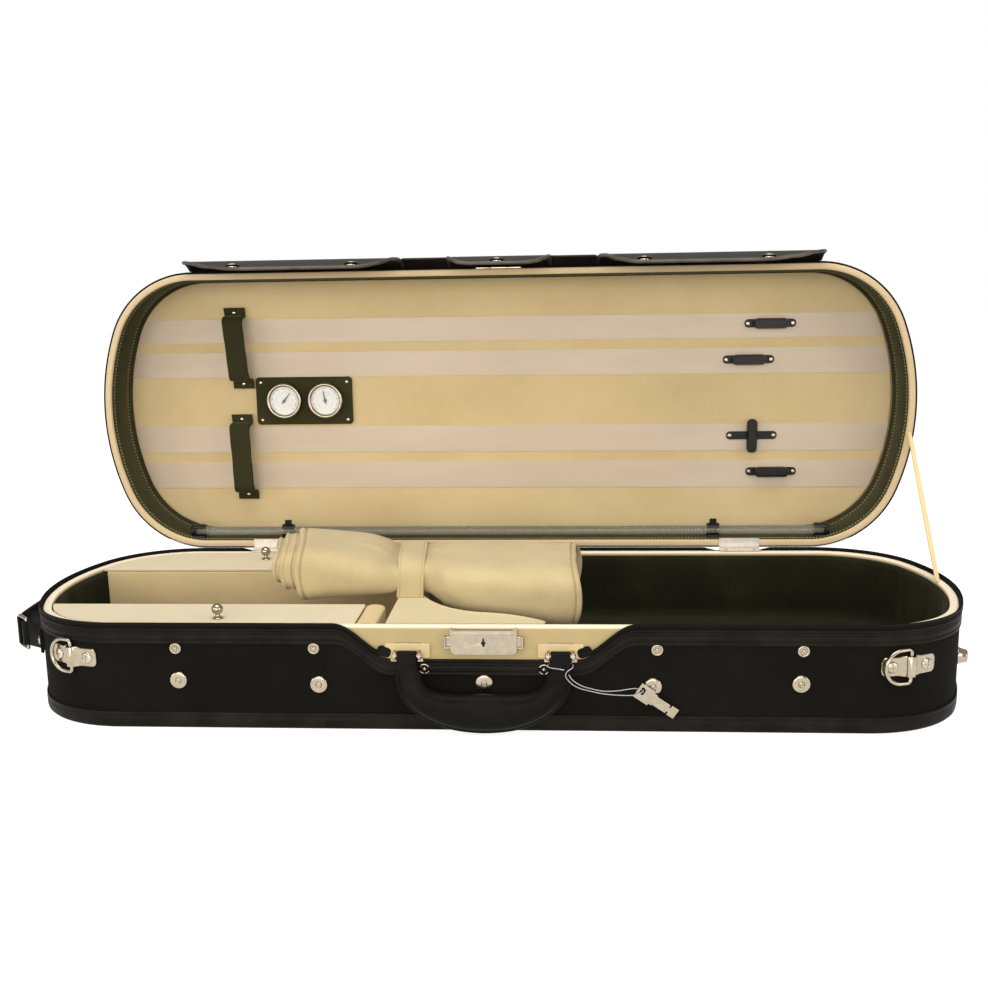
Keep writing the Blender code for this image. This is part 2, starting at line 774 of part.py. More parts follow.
def make_lock():
    front = FRONT - LOCK_DEPTH
    inside = front + LOCK_SKIN
    low = LOCK_BOTTOM + LOCK_CORNER
    shape = [(LOCK_HALF, LOCK_TOP), (-LOCK_HALF, LOCK_TOP)]
    for side, turns in ((-1, range(180, 271, 18)), (1, range(270, 361, 18))):
        middle_x = side * (LOCK_HALF - LOCK_CORNER)
        for turn in turns:
            a = math.radians(turn)
            shape.append((middle_x + LOCK_CORNER * math.cos(a), low + LOCK_CORNER * math.sin(a)))
    made = solid("lock_plate", front_plate(shape, front, FRONT), NICKEL)
    middle = (0, 0, BARREL_HEIGHT)
    barrel_back = inside + 0.0020
    slide_front = barrel_back
    slide_low = BARREL_HEIGHT - SLIDE_HEIGHT / 2
    slide_high = BARREL_HEIGHT + SLIDE_HEIGHT / 2
    pocket_low = LID_RIM_BOTTOM - STRIKER_DROP - FIT * 2
    tongue_front = -HALF + 0.0005
    tongue_back = tongue_front + STRIKER_THICK
    hole_shape = moved(rounded(*KEYHOLE, 0.0007, 2), 0, BARREL_HEIGHT)
    keyhole = front_plate(hole_shape, front - 0.001, inside + 0.001)
    well = rod(BARREL_RADIUS + FIT, inside, FRONT + 0.001, middle, "Y", 16)
    slot_half = LOCK_HALF + 0.01
    low, high = slide_low - FIT, slide_high + FIT
    slot = block(-slot_half, slot_half, slide_front, FRONT + 0.001, low, high)
    pocket_half = STRIKER_HALF + 0.0005
    back, top = tongue_back + FIT, LOCK_TOP + 0.01
    pocket = block(-pocket_half, pocket_half, tongue_front - FIT, back, pocket_low, top)
    cut(made, keyhole, well, slot, pocket)
    barrel_shape = rod(BARREL_RADIUS, inside + FIT, barrel_back - FIT, middle, "Y", 16)
    barrel = solid("lock_barrel", barrel_shape, NICKEL)
    slot_shape = moved(rounded(*KEY_SLOT, 0.0005, 1), 0, BARREL_HEIGHT)
    cut(barrel, front_plate(slot_shape, front, inside + 0.0010))
    hang(barrel, middle)
    ear = LOCK_HALF + THUMB_GAP + THUMB_THICK
    back = FRONT - FIT
    slide = block(-ear, ear, slide_front + FIT, back, slide_low, slide_high)
    bar = solid("lock_slide", slide, NICKEL)
    for side in (-1, 1):
        x0, x1 = sorted((side * (ear - THUMB_THICK), side * ear))
        join(bar, block(x0, x1, front, back, slide_low - 0.0010, slide_high + 0.0010))


# The carry handle

def bracket(name, side):
    x = side * BRACKET_SPOT
    half = BRACKET_WIDTH / 2
    top = BRACKET_BOTTOM + BRACKET_HEIGHT
    back = FRONT
    face = back - 0.0015
    middle_z = (BRACKET_BOTTOM + top) / 2
    shape = moved(rounded(BRACKET_WIDTH, BRACKET_HEIGHT, 0.0015, 1), x, middle_z)
    made = solid(name, front_plate(shape, face, back), NICKEL)
    pin_y = HANDLE_PIVOT[1]
    tip = pin_y - 0.0030
    for edge in (-1, 1):
        x0, x1 = sorted((x + edge * half, x + edge * (half - POST_THICK)))
        low = HANDLE_PIN_HEIGHT - HANDLE_PIN_RADIUS - 0.0005
        high = HANDLE_PIN_HEIGHT + HANDLE_PIN_RADIUS + 0.0015
        join(made, block(x0, x1, tip, back - 0.0002, low, high))
    span = half - POST_THICK / 2
    pin = rod(HANDLE_PIN_RADIUS, x - span, x + span, (0, pin_y, HANDLE_PIN_HEIGHT), "X", 12)
    join(made, pin)


def make_handle():
    for name, side in (("handle_bracket_left", -1), ("handle_bracket_right", 1)):
        bracket(name, side)
    pin_y = HANDLE_PIVOT[1]
    grip_y = -HALF - GRIP_OUT
    corner = GRIP_CORNER
    leg = BRACKET_SPOT + 0.0005
    path, wide, thick = [], [], []
    for side in (-1, 1):
        top = (side * BRACKET_SPOT, pin_y - 0.0035, HANDLE_PIN_HEIGHT - 0.0095)
        part = [(top, 0.0085, 0.0035)]
        knee = (side * leg, grip_y + 0.0025, HANDLE_PIN_HEIGHT - 0.0165)
        part.append((knee, LEG_HALF_WIDE - 0.001, 0.0065))
        for i in range(5):
            a = math.pi / 2 * i / 4
            x = side * (leg - corner * (1 - math.cos(a)))
            z = GRIP_HEIGHT + corner * 0.92 * (1 - math.sin(a))
            share = i / 4
            w = LEG_HALF_WIDE + (GRIP_HALF_TALL - LEG_HALF_WIDE) * share
            part.append(((x, grip_y, z), w, GRIP_HALF_THICK))
        part.append(((side * 0.018, grip_y, GRIP_HEIGHT), GRIP_HALF_TALL, GRIP_HALF_THICK))
        if side == 1:
            part.reverse()
        for point, w, t in part:
            path.append(point)
            wide.append(w)
            thick.append(t)
    made = solid("carry_handle", tube(path, wide, thick, (0, -1, 0), 12), LEATHER)
    for side in (-1, 1):
        x = side * BRACKET_SPOT
        x0, x1 = x - TAB_WIDTH / 2, x + TAB_WIDTH / 2
        centre = (0, pin_y, HANDLE_PIN_HEIGHT)
        join(made, rod(TAB_RADIUS, x0, x1, centre, "X", 14))
        front, low = pin_y - TAB_RADIUS + 0.0002, HANDLE_PIN_HEIGHT - 0.0115
        join(made, block(x0, x1, front, pin_y + 0.0015, low, HANDLE_PIN_HEIGHT))
        hole = HANDLE_PIN_RADIUS + HANDLE_PIN_PLAY
        cut(made, rod(hole, x0 - 0.01, x1 + 0.01, centre, "X", 12))
    hang(made, HANDLE_PIVOT)


def make_key():
    """The key lies against the front beside the handle, on its cord."""
    back = -HALF - KEY_OUT
    front = back - KEY_THICK
    bow, tall = KEY_BOW
    shank, shank_tall = KEY_SHANK
    bit, bit_tall = KEY_BIT
    neck = bow + 0.0012
    end = neck + shank
    bit_start = end + KEY_NOTCH
    half = [
        (0, tall / 2), (bow - 0.0030, tall / 2), (bow - 0.0030, tall / 2 - 0.0018),
        (bow, tall / 2 - 0.0018), (bow, shank_tall / 2), (end, shank_tall / 2),
        (end, shank_tall / 4), (bit_start, shank_tall / 4), (bit_start, bit_tall / 2),
        (bit_start + bit, bit_tall / 2),
    ]
    points = half + [(x, -z) for x, z in reversed(half)]
    c, s = math.cos(KEY_ANGLE), math.sin(KEY_ANGLE)

    start_x, start_z = KEY_AT[0], HANDLE_PIN_HEIGHT + KEY_AT[1]

    def laid(shape):
        return [(start_x + c * x - s * z, start_z + s * x + c * z) for x, z in shape]

    made = solid("key", front_plate(laid(points), front, back), NICKEL)
    eye = moved(rounded(*KEY_EYE, 0.0010, 2), 0.0040, 0.0012)
    cut(made, front_plate(laid(eye), front - 0.001, back + 0.001))
    hang(made, HANDLE_PIVOT)


def make_key_cord():
    """A cord tied round the handle's right leg and looped through the key's eye."""
    face = FACE_BEHIND_PIN
    behind = face - 0.0003
    key_back = face - KEY_OUT
    key_front = key_back - KEY_THICK
    eye_x, eye_z = 0.1288, -0.0290
    tie = [
        (0.0655, -0.0086, -0.0085), (0.0600, -0.0088, -0.0075), (0.0540, -0.0076, -0.0069),
        (0.0524, -0.0040, -0.0067), (0.0524, 0.0, -0.0067), (0.0545, behind, -0.0067),
        (0.0625, behind, -0.0067), (0.0702, behind, -0.0067), (0.0725, 0.0, -0.0067),
        (0.0725, -0.0040, -0.0069), (0.0712, -0.0076, -0.0077), (0.0678, -0.0096, -0.0095),
    ]
    lower = [
        (0.0665, -0.0112, -0.0127), (0.0690, -0.0128, -0.0163), (0.0735, -0.0134, -0.0200),
        (0.0790, -0.0118, -0.0231), (0.0852, -0.0084, -0.0259), (0.0965, -0.0044, -0.0297),
        (0.1090, -0.0024, -0.0315), (0.1200, -0.0012, -0.0319), (0.1258, key_front - 0.0012, -0.0305),
    ]
    through = [
        (eye_x, key_front - 0.0004, eye_z),
        (eye_x + 0.0004, key_back - KEY_THICK / 2, eye_z + 0.0002),
        (eye_x, key_back + 0.0003, eye_z + 0.0004),
    ]
    upper = [
        (0.1252, face - 0.0002, -0.0277), (0.1195, face - 0.0014, -0.0273), (0.1090, -0.0006, -0.0283),
        (0.0970, -0.0032, -0.0279), (0.0862, -0.0072, -0.0243), (0.0804, -0.0104, -0.0215),
        (0.0752, -0.0118, -0.0183), (0.0712, -0.0116, -0.0149), (0.0690, -0.0106, -0.0117),
    ]
    curve = bpy.data.curves.new("key_cord", "CURVE")
    curve.dimensions = "3D"
    curve.bevel_depth = CORD_RADIUS
    curve.bevel_resolution = 2
    curve.use_fill_caps = True
    line = curve.splines.new("POLY")
    points = smooth_route(tie + lower + through + upper, CORD_SPACING)
    line.points.add(len(points) - 1)
    for spot, point in zip(line.points, points):
        spot.co = (*point, 1)
    curve.materials.append(CORD)
    made = bpy.data.objects.new("key_cord", curve)
    bpy.context.scene.collection.objects.link(made)
    made.location = HANDLE_PIVOT


def smooth_route(route, spacing):
    """Points at an even spacing along a smooth curve through the route."""
    knots = [Vector(p) for p in route]
    knots = [2 * knots[0] - knots[1]] + knots + [2 * knots[-1] - knots[-2]]
    fine = []
    for a, b, c, d in zip(knots, knots[1:], knots[2:], knots[3:]):
        for i in range(20):
            t = i / 20
            fine.append(0.5 * (2 * b + (c - a) * t + (2 * a - 5 * b + 4 * c - d) * t**2
                               + (3 * b - a - 3 * c + d) * t**3))
    fine.append(knots[-2])
    points, travelled = [fine[0]], 0.0
    for one, two in zip(fine, fine[1:]):
        travelled += (two - one).length
        if travelled >= spacing:
            points.append(two)
            travelled = 0.0
    points[-1] = fine[-1]
    return points


# Rings and the end handle

def on_corner(radius, angle, side):
    """A point on a front corner: side -1 is the left, and the angle runs outwards."""
    x, y = corner_centre()
    return side * (x + radius * math.sin(angle)), -y - radius * math.cos(angle)


def ring_plate(name, side, spot):
    """A metal strap on a front corner, arched over the upright bar of its ring."""
    middle, height = spot
    inner = CORNER_RADIUS - COVER_INSET + FIT
    outer = inner + PLATE_THICK
    half = PLATE_LENGTH / 2 / outer
    hollow = RING_WIRE + RING_PLAY
    wall = hollow + PLATE_THICK
    axis = inner + hollow
    flat = [middle - half + 2 * half * i / PLATE_STEPS for i in range(PLATE_STEPS + 1)]
    flat = [a for a in flat if abs(a - middle) * outer > wall + 0.001]
    before = [a for a in flat if a < middle]
    after = [a for a in flat if a > middle]
    turns = [math.pi * i / 6 for i in range(7)]
    under = [(middle - hollow * math.cos(t) / axis, axis + hollow * math.sin(t)) for t in turns]
    under = [(middle - hollow / axis, inner)] + under + [(middle + hollow / axis, inner)]
    over = [(middle - wall * math.cos(t) / axis, axis + wall * math.sin(t)) for t in turns]
    low = [(a, inner) for a in before] + under + [(a, inner) for a in after]
    high = [(a, outer) for a in before] + over + [(a, outer) for a in after]
    points = [on_corner(r, a, side) for a, r in low + high[::-1]]
    z0 = height - PLATE_TALL / 2
    solid(name, plate(points, z0, z0 + PLATE_TALL), NICKEL)
    return axis


def ring(name, side, spot, axis_radius):
    """A D ring on an upright bar, lying flat to the left."""
    angle, height = spot
    x, y = on_corner(axis_radius, angle, side)
    slope = side * angle
    along = Vector((-math.cos(slope), -math.sin(slope), 0))
    out = Vector((math.sin(slope), -math.cos(slope), 0))
    half = RING_TALL / 2 - RING_WIRE
    reach = RING_WIDE - 2 * RING_WIRE
    flat = [(0.0, -half + 0.001), (0.0, 0.0), (0.0, half - 0.001), (0.0012, half)]
    straight = reach - half
    flat.append((straight, half))
    for i in range(1, 8):
        a = math.pi / 2 - math.pi * i / 8
        flat.append((straight + half * math.cos(a), half * math.sin(a)))
    flat += [(straight, -half), (0.0012, -half)]
    centre = Vector((x, y, height))
    path = [centre + along * u + Vector((0, 0, v)) for u, v in flat]
    made = solid(name, tube(path, RING_WIRE, RING_WIRE, out, 8, around=True), NICKEL)
    hang(made, centre)


def make_rings():
    for name, side, spot in (("left", -1, LEFT_PLATE), ("right", 1, RIGHT_PLATE)):
        axis = ring_plate("ring_plate_" + name, side, spot)
        ring("ring_" + name, side, spot, axis)


def on_end(radius_out, y, side=-1):
    """A point on an end arc, a little way out from its outermost line."""
    end_x = LENGTH / 2 - END_RADIUS
    radius = END_RADIUS + radius_out
    return side * (end_x + math.sqrt(radius**2 - y**2))


def make_end_foot():
    """A round metal foot on the right end, for standing the case on that end."""
    x = on_end(-COVER_INSET, FOOT_Y, 1)
    profile = [(FOOT_RADIUS, FIT), (FOOT_RADIUS, 0.0014), (FOOT_RADIUS * 0.72, FOOT_OUT - 0.0016)]
    profile.append((FOOT_RADIUS * 0.55, FOOT_OUT))
    made = solid("end_foot", turned(profile, 16, (0, 0, 0), "X"), NICKEL)
    made.location = (x, FOOT_Y, FOOT_HEIGHT)
    made.rotation_euler.z = math.asin(FOOT_Y / (END_RADIUS - COVER_INSET))


def anchor_eye(side):
    """The upright axis of an anchor's eye, on the side given."""
    return -END_EYE_OUT, side * ANCHOR_HALF


def make_anchor(name, side):
    """A leather tab on the left end, bent out to the eye that holds a ring."""
    out = -COVER_INSET + FIT
    low = END_STRAP_HEIGHT + END_RING_TALL / 2 - 2 * END_RING_WIRE - FIT - ANCHOR_TALL
    high = low + ANCHOR_TALL
    bend = side * (ANCHOR_HALF + ANCHOR_BEND)
    far = side * (ANCHOR_HALF + ANCHOR_LENGTH)
    ys = [far + (bend - far) * i / 4 for i in range(5)]
    x, y = anchor_eye(side)
    inner = [(on_end(out, v), v) for v in ys] + [(x + ANCHOR_THICK / 2, y + side * 0.0012)]
    outer = [(on_end(out + ANCHOR_THICK, v), v) for v in ys] + [(x - ANCHOR_THICK / 2, y)]
    loops = []
    for one, two in zip(inner, outer):
        loops.append([(*one, low + FIT), (*two, low + FIT), (*two, high - FIT), (*one, high - FIT)])
    made = solid(name, loft(loops), LEATHER)
    hole = END_RING_WIRE + 2 * FIT
    join(made, rod(hole + ANCHOR_WALL, low, high, (x, y, 0), "Z", 12))
    cut(made, rod(hole, low - 0.01, high + 0.01, (x, y, 0), "Z", 10))


def strap_x(y):
    """The middle of the end handle's strap, bowed a little at its middle."""
    return -END_STRAP_OUT - END_STRAP_BOW * math.cos(math.pi / 2 * y / ANCHOR_HALF)


def end_ring(side, strap_end):
    """A rectangular ring from an anchor's eye to an end of the strap."""
    start = Vector((*anchor_eye(side), END_STRAP_HEIGHT))
    end = Vector((strap_x(strap_end), strap_end, END_STRAP_HEIGHT))
    along = (end - start).normalized()
    reach = (end - start).length
    half = END_RING_TALL / 2 - END_RING_WIRE
    flat = [(0, -half + 0.001), (0, half - 0.001), (0.001, half), (reach - 0.001, half)]
    flat += [(reach, half - 0.001), (reach, -half + 0.001), (reach - 0.001, -half), (0.001, -half)]
    path = [start + along * u + Vector((0, 0, v)) for u, v in flat]
    facing = along.cross(Vector((0, 0, 1)))
    return tube(path, END_RING_WIRE, END_RING_WIRE, facing, 8, around=True)


def make_end_handle():
    make_anchor("end_anchor_front", -1)
    make_anchor("end_anchor_rear", 1)
    steps = 10
    ys = [-END_STRAP_HALF + 2 * END_STRAP_HALF * i / steps for i in range(steps + 1)]
    outer = [(strap_x(y) - END_STRAP_THICK / 2, y) for y in ys]
    inner = [(strap_x(y) + END_STRAP_THICK / 2, y) for y in ys]
    low = END_STRAP_HEIGHT - END_STRAP_TALL / 2
    made = solid("end_handle", plate(outer + inner[::-1], low, low + END_STRAP_TALL), LEATHER)
    for side in (-1, 1):
        join(made, end_ring(side, side * (END_STRAP_HALF - 0.002)))
    hang(made, (-LENGTH / 2, 0, END_STRAP_HEIGHT))


# The blanket and its ribbon

def blanket_section(share):
    """Middle, half size and corner shape of the rolled blanket along its length."""
    x = BLANKET_LEFT + (BLANKET_RIGHT - BLANKET_LEFT) * share
    keys = (
        # x, front, back, then low and high from the neck rest's top
        (-0.192, -0.062, 0.052, -0.0080, 0.0465),
        (-0.182, -0.066, 0.055, -0.0090, 0.0485),
        (-0.160, -0.067, 0.057, -0.0095, 0.0495),
        (-0.120, -0.064, 0.056, -0.0070, 0.0470),
        (-0.096, -0.056, 0.053, -0.0002, 0.0390),
        (-0.083, -0.051, 0.050, -0.0002, 0.0355),
        (-0.056, -0.051, 0.050, -0.0002, 0.0355),
        (-0.042, -0.056, 0.053, -0.0002, 0.0380),
        (-0.020, -0.066, 0.058, -0.0080, 0.0410),
        (0.020, -0.074, 0.060, -0.0200, 0.0410),
        (0.060, -0.078, 0.062, -0.0280, 0.0400),
        (0.079, -0.076, 0.060, -0.0260, 0.0380),
    )
    for one, two in zip(keys, keys[1:]):
        if x <= two[0] + 1e-9:
            t = (x - one[0]) / (two[0] - one[0])
            t = t * t * (3 - 2 * t)
            return [x] + [p + (q - p) * t for p, q in zip(one[1:], two[1:])]
    return [x] + list(keys[-1][1:])


def make_blanket():
    """A folded blanket drawn in at its waist, with folds that run out of the waist."""
    loops = []
    steps = 30
    waist = REST_LEFT + STRAP_WIDTH / 2
    for i in range(steps + 1):
        x, front, back, low, high = blanket_section(i / steps)
        low += REST_TOP
        high += REST_TOP
        loop = []
        for k in range(BLANKET_SIDES):
            a = 2 * math.pi * k / BLANKET_SIDES
            c, s = math.cos(a), math.sin(a)
            power = 0.55
            y = (front + back) / 2 + (back - front) / 2 * math.copysign(abs(c) ** power, c)
            z = (low + high) / 2 + (high - low) / 2 * math.copysign(abs(s) ** power, s)
            near = math.exp(-((x - waist) / 0.040) ** 2)
            pinch = math.exp(-((x - waist) / 0.016) ** 2)
            ripple = (near - pinch) * 0.0022 * math.cos(5 * a) * max(0.0, s + 0.2)
            z -= abs(ripple)
            slant = BLANKET_SLANT * max(0.0, 1 - i / 7) * (high - z) / (high - low)
            loop.append((x + slant, y, z))
        loops.append(loop)
    solid("blanket", loft(loops), CREAM, 60)


def make_strap():
    """The ribbon over the blanket's waist, down to the neck rest on both sides."""
    x0 = REST_LEFT + 0.0005
    x1 = x0 + STRAP_WIDTH
    low = REST_TOP + FIT
    outer, inner = [], []
    steps = 10
    for i in range(steps + 1):
        a = math.pi * i / steps
        c, s = math.cos(a), math.sin(a)
        y = math.copysign(abs(c) ** 0.5, c)
        z = abs(s) ** 0.5
        outer.append((STRAP_HALF * y, low + (STRAP_TOP - low) * z))
        inner.append(((STRAP_HALF - STRAP_THICK) * y, low + (STRAP_TOP - STRAP_THICK - low) * z))
    solid("neck_strap", side_plate(outer + inner[::-1], x0, x1), CREAM)


# The hinges

def make_hinge(name, x, lid_hinge):
    """Two leaves on the rims, each turned down behind the case to its knuckles."""
    half = HINGE_LENGTH / 2
    middle = MIDDLE_KNUCKLE / 2
    web_in = HALF + HINGE_PROUD
    web_out = web_in + LEAF_THICK
    leaf_front = HALF - LEAF_DEPTH
    low = RIM_TOP + FIT
    high = low + LEAF_THICK
    centre = (0, HINGE_Y, HINGE_Z)
    base = solid("hinge_base_" + name, block(x - half, x + half, leaf_front, web_out, low, high), NICKEL)
    over_knuckles = HINGE_Z + KNUCKLE_RADIUS + FIT
    join(base, block(x - half, x + half, web_in, web_out, over_knuckles, high))
    join(base, block(x - middle, x + middle, web_in, web_out, HINGE_Z, high))
    join(base, rod(KNUCKLE_RADIUS, x - middle, x + middle, centre, "X", 12))
    join(base, rod(PIN_RADIUS, x - half + 0.002, x + half - 0.002, centre, "X", 10))
    low = high + FIT
    high = low + LEAF_THICK
    web_in = web_out + FIT
    web_out = web_in + LEAF_THICK
    lid = solid("hinge_lid_" + name, block(x - half, x + half, leaf_front, web_out, low, high), NICKEL)
    for side in (-1, 1):
        x0, x1 = sorted((x + side * (middle + 2 * FIT), x + side * half))
        join(lid, block(x0, x1, web_in, web_out, HINGE_Z, high))
        join(lid, rod(KNUCKLE_RADIUS, x0, x1, centre, "X", 12))
        cut(lid, rod(PIN_RADIUS + PIN_PLAY, x0 - 0.01, x1 + 0.01, centre, "X", 10))
    hang(lid, centre, lid_hinge)


# The lid

def lid_rings(inset, top, radius, low, outside):
    """Rings of one face of the lid's wall, from its edge up and over to its top."""
    rings = [(inset, low)]
    for i in range(LID_ROUND_STEPS + 1):
        a = math.pi / 2 * i / LID_ROUND_STEPS
        rings.append((inset + radius * (1 - math.cos(a)), top - radius * (1 - math.sin(a))))
    return rings if outside else rings[::-1]


def cover_low(place):
    """The cover comes down over the rim's edge where the zipper leaves off."""
    return LID_SHELL_BOTTOM if place[4] and abs(place[0]) <= DIP_INNER + FIT else LID_COVER_BOTTOM


def make_lid_layers(hinge):
    centre = (0, HINGE_Y, HINGE_Z)
    thick = LID_COVER_THICK
    outer = lid_rings(COVER_INSET, CLOSED_HEIGHT, LID_ROUND, cover_low, True)
    inner = lid_rings(COVER_INSET + thick, CLOSED_HEIGHT - thick, LID_ROUND - thick, cover_low, False)
    hang(tray("lid_cover", WOVEN, inner + outer), centre, hinge)
    radius = LID_ROUND - thick - FIT
    low = LID_SHELL_BOTTOM
    outer = lid_rings(LID_SHELL_INSET, LID_SHELL_TOP, radius, low, True)
    inner = lid_rings(LID_INNER, LID_CEILING, radius - LID_SHELL_THICK, low, False)
    hang(tray("lid_shell", FIBREGLASS, inner + outer), centre, hinge)


def make_lid_rim(hinge):
    outer = COVER_INSET + 0.0002
    inner = outer + LID_RIM_WIDTH
    low = LID_RIM_BOTTOM
    high = low + LID_RIM_THICK
    corners = [
        (outer, low + 0.0008), (outer + 0.0008, low), (inner - 0.0008, low),
        (inner, low + 0.0008), (inner, high), (outer, high),
    ]
    made = band("lid_rim", RIM_BEIGE, lambda place: corners)
    hang(made, (0, HINGE_Y, HINGE_Z), hinge)


def make_lid_zipper(hinge):
    inner = COVER_INSET - 0.0001

    def profile(place):
        low = LID_SHELL_BOTTOM - 0.0001 if on_back(place) else LID_ZIP_BOTTOM
        corners = [(inner, low), (inner, LID_ZIP_TOP), (0.0006, LID_ZIP_TOP)]
        return corners + [(0.0, low + 0.0008), (FIT, low)]

    made = band("lid_zipper", WOVEN, profile, open_front())
    hang(made, (0, HINGE_Y, HINGE_Z), hinge)


def tube_place():
    """The string tube's line in the lid, lying on the band near the hinges."""
    return HINGE_Y - TUBE_REACH, HINGE_Z + TUBE_UP


def round_off(x, inset):
    """How far the back wall has turned in at a place along X."""
    beyond = max(0.0, abs(x) - corner_centre()[0])
    radius = CORNER_RADIUS - inset
    return radius - math.sqrt(radius**2 - beyond**2)


def make_side_band(hinge):
    outer = LID_INNER + FIT
    inner = outer + BAND_THICK
    top = PANEL_FACE - FIT
    corners = [
        (outer, LID_SHELL_BOTTOM), (outer, top - 0.0040), (outer + 0.0016, top),
        (inner, top), (inner, LID_SHELL_BOTTOM),
    ]
    made = band("lid_side_band", VELVET, lambda place: corners)
    y, z = tube_place()
    wall = HALF - inner
    hole = TUBE_RADIUS + FIT
    outside = hole + LOOP_THICK
    for x in LOOP_SPOTS:
        x0, x1 = x - LOOP_WIDTH / 2, x + LOOP_WIDTH / 2
        loop = turned(((outside, x0), (outside, x1)), 14, (0, y, z), "X")
        foot_end = wall + 0.001 - round_off(abs(x) + LOOP_WIDTH / 2, inner)
        foot = block(x0, x1, y + hole * 0.6, foot_end, z - 0.003, z + 0.003)
        join(made, loop, foot)
        cut(made, rod(hole, x0 - 0.01, x1 + 0.01, (0, y, z), "X", 14))
    hang(made, (0, HINGE_Y, HINGE_Z), hinge)
    tube_rod = rod(TUBE_RADIUS - FIT, *TUBE_ENDS, (0, y, z), "X", 14)
    hang(solid("string_tube", tube_rod, CLEAR_PLASTIC), (0, HINGE_Y, HINGE_Z), hinge)


def make_panel(hinge):
    points = []
    corner_x = corner_centre()[0]
    for x, y in outline(PANEL_INSET):
        points.append((x - PANEL_SHIFT * min(1.0, max(0.0, (x - 0.2) / (corner_x - 0.2))), y))
    made = solid("lid_panel", plate(points, PANEL_FACE, PANEL_FACE + PANEL_THICK), VELOUR)
    hang(made, (0, HINGE_Y, HINGE_Z), hinge)


def make_toggles(hinge):
    centre = (0, HINGE_Y, HINGE_Z)
    top = PANEL_FACE - RIBBON_ROOM
    low = top - TOGGLE_PLATE_THICK
    for index, (x, reach) in enumerate(TOGGLE_SPOTS):
        y = HINGE_Y - reach
        name = str(index + 1)
        shape = moved(rounded(*TOGGLE_PLATE, 0.0036, 2), x, y)
        made = solid("toggle_plate_" + name, plate(shape, low, top), BLACK_PLASTIC)
        pin_low = low - FIT - TOGGLE_TALL * 0.7
        join(made, rod(TOGGLE_PIN, pin_low, low + 0.0004, (x, y, 0), "Z", 12))
        hang(made, centre, hinge)
        size = TOGGLE_SIZE
        if index == TURNED_TOGGLE:
            size = size[::-1]
        high = low - FIT
        base = moved(rounded(*size, 0.0045, 3), x, y)
        crown = moved(rounded(size[0] - 0.003, size[1] - 0.003, 0.0030, 3), x, y)
        bottom = high - TOGGLE_TALL
        levels = ((crown, high), (base, high - 0.0025), (base, bottom + 0.0030), (crown, bottom))
        sides = [[(px, py, z) for px, py in shape] for shape, z in levels]
        toggle = solid("toggle_" + name, loft(sides), BLACK_PLASTIC)
        cut(toggle, rod(TOGGLE_PIN + FIT, pin_low - FIT, high + 0.01, (x, y, 0), "Z", 12))
        hang(toggle, (x, y, high), hinge)


def make_sleeves(hinge):
    top = PANEL_FACE - FIT
    for index, (x, reach, length) in enumerate(SLEEVE_SPOTS):
        y0 = HINGE_Y - reach - length / 2
        y1 = y0 + length
        rise = top - SLEEVE_TALL
        t = SLEEVE_THICK
        f = SLEEVE_FOOT
        points = [
            (y0, top), (y0, top - t * 0.6), (y0 + f - t, top - t * 0.7), (y0 + f, rise + t),
            (y0 + f + t, rise), (y1 - f - t, rise), (y1 - f, rise + t), (y1 - f + t, top - t * 0.7),
            (y1, top - t * 0.6), (y1, top), (y1 - f, top), (y1 - f - t * 0.6, rise + t * 1.6),
            (y1 - f - t * 1.6, rise + t), (y0 + f + t * 1.6, rise + t),
            (y0 + f + t * 0.6, rise + t * 1.6), (y0 + f, top),
        ]
        shape = side_plate(points, x - SLEEVE_WIDE / 2, x + SLEEVE_WIDE / 2)
        made = solid("bow_sleeve_" + str(index + 1), shape, VELVET)
        hang(made, (0, HINGE_Y, HINGE_Z), hinge)


def make_gauges(hinge):
    centre = (0, HINGE_Y, HINGE_Z)
    x, reach, wide, deep = GAUGE_PANEL
    top = PANEL_FACE - FIT
    low = top - GAUGE_PANEL_THICK
    shape = moved(rounded(wide, deep, 0.0025, 1), x, HINGE_Y - reach)
    hang(solid("gauge_panel", plate(shape, low, top), VELVET), centre, hinge)
    y = HINGE_Y - GAUGE_REACH
    high = low - FIT
    face = high - GAUGE_TALL
    floor = face + GAUGE_SINK
    for index, gx in enumerate(GAUGE_SPOTS):
        profile = (
            (GAUGE_RADIUS, high), (GAUGE_RADIUS, face + 0.0020), (GAUGE_RADIUS - 0.0018, face),
            (GAUGE_FACE, face), (GAUGE_FACE, floor),
        )
        dial = solid("gauge_" + str(index + 1), turned(profile, 24, (gx, y, 0)), WHITE_DIAL)
        join(dial, rod(DIAL_PIN_RADIUS, face + 0.0004, floor + 0.0004, (gx, y, 0), "Z", 10))
        hang(dial, centre, hinge)
        tail, tip = -0.0035, NEEDLE_LENGTH
        shape = [(tail, 0.0008), (0.0, 0.0022), (tip, 0.0003)]
        shape += [(u, -v) for u, v in reversed(shape)]
        a = NEEDLE_ANGLES[index]
        c, s = math.cos(a), math.sin(a)
        turn = [(gx + u * c - v * s, y + u * s + v * c) for u, v in shape]
        low_face = floor - 0.0010
        needle_plate = plate(turn, low_face, low_face + NEEDLE_THICK)
        needle = solid("needle_" + str(index + 1), needle_plate, BLACK_PLASTIC)
        hole = DIAL_PIN_RADIUS + FIT
        cut(needle, rod(hole, low_face - 0.01, low_face + 0.01, (gx, y, 0), "Z", 10))
        hang(needle, (gx, y, low_face), hinge)


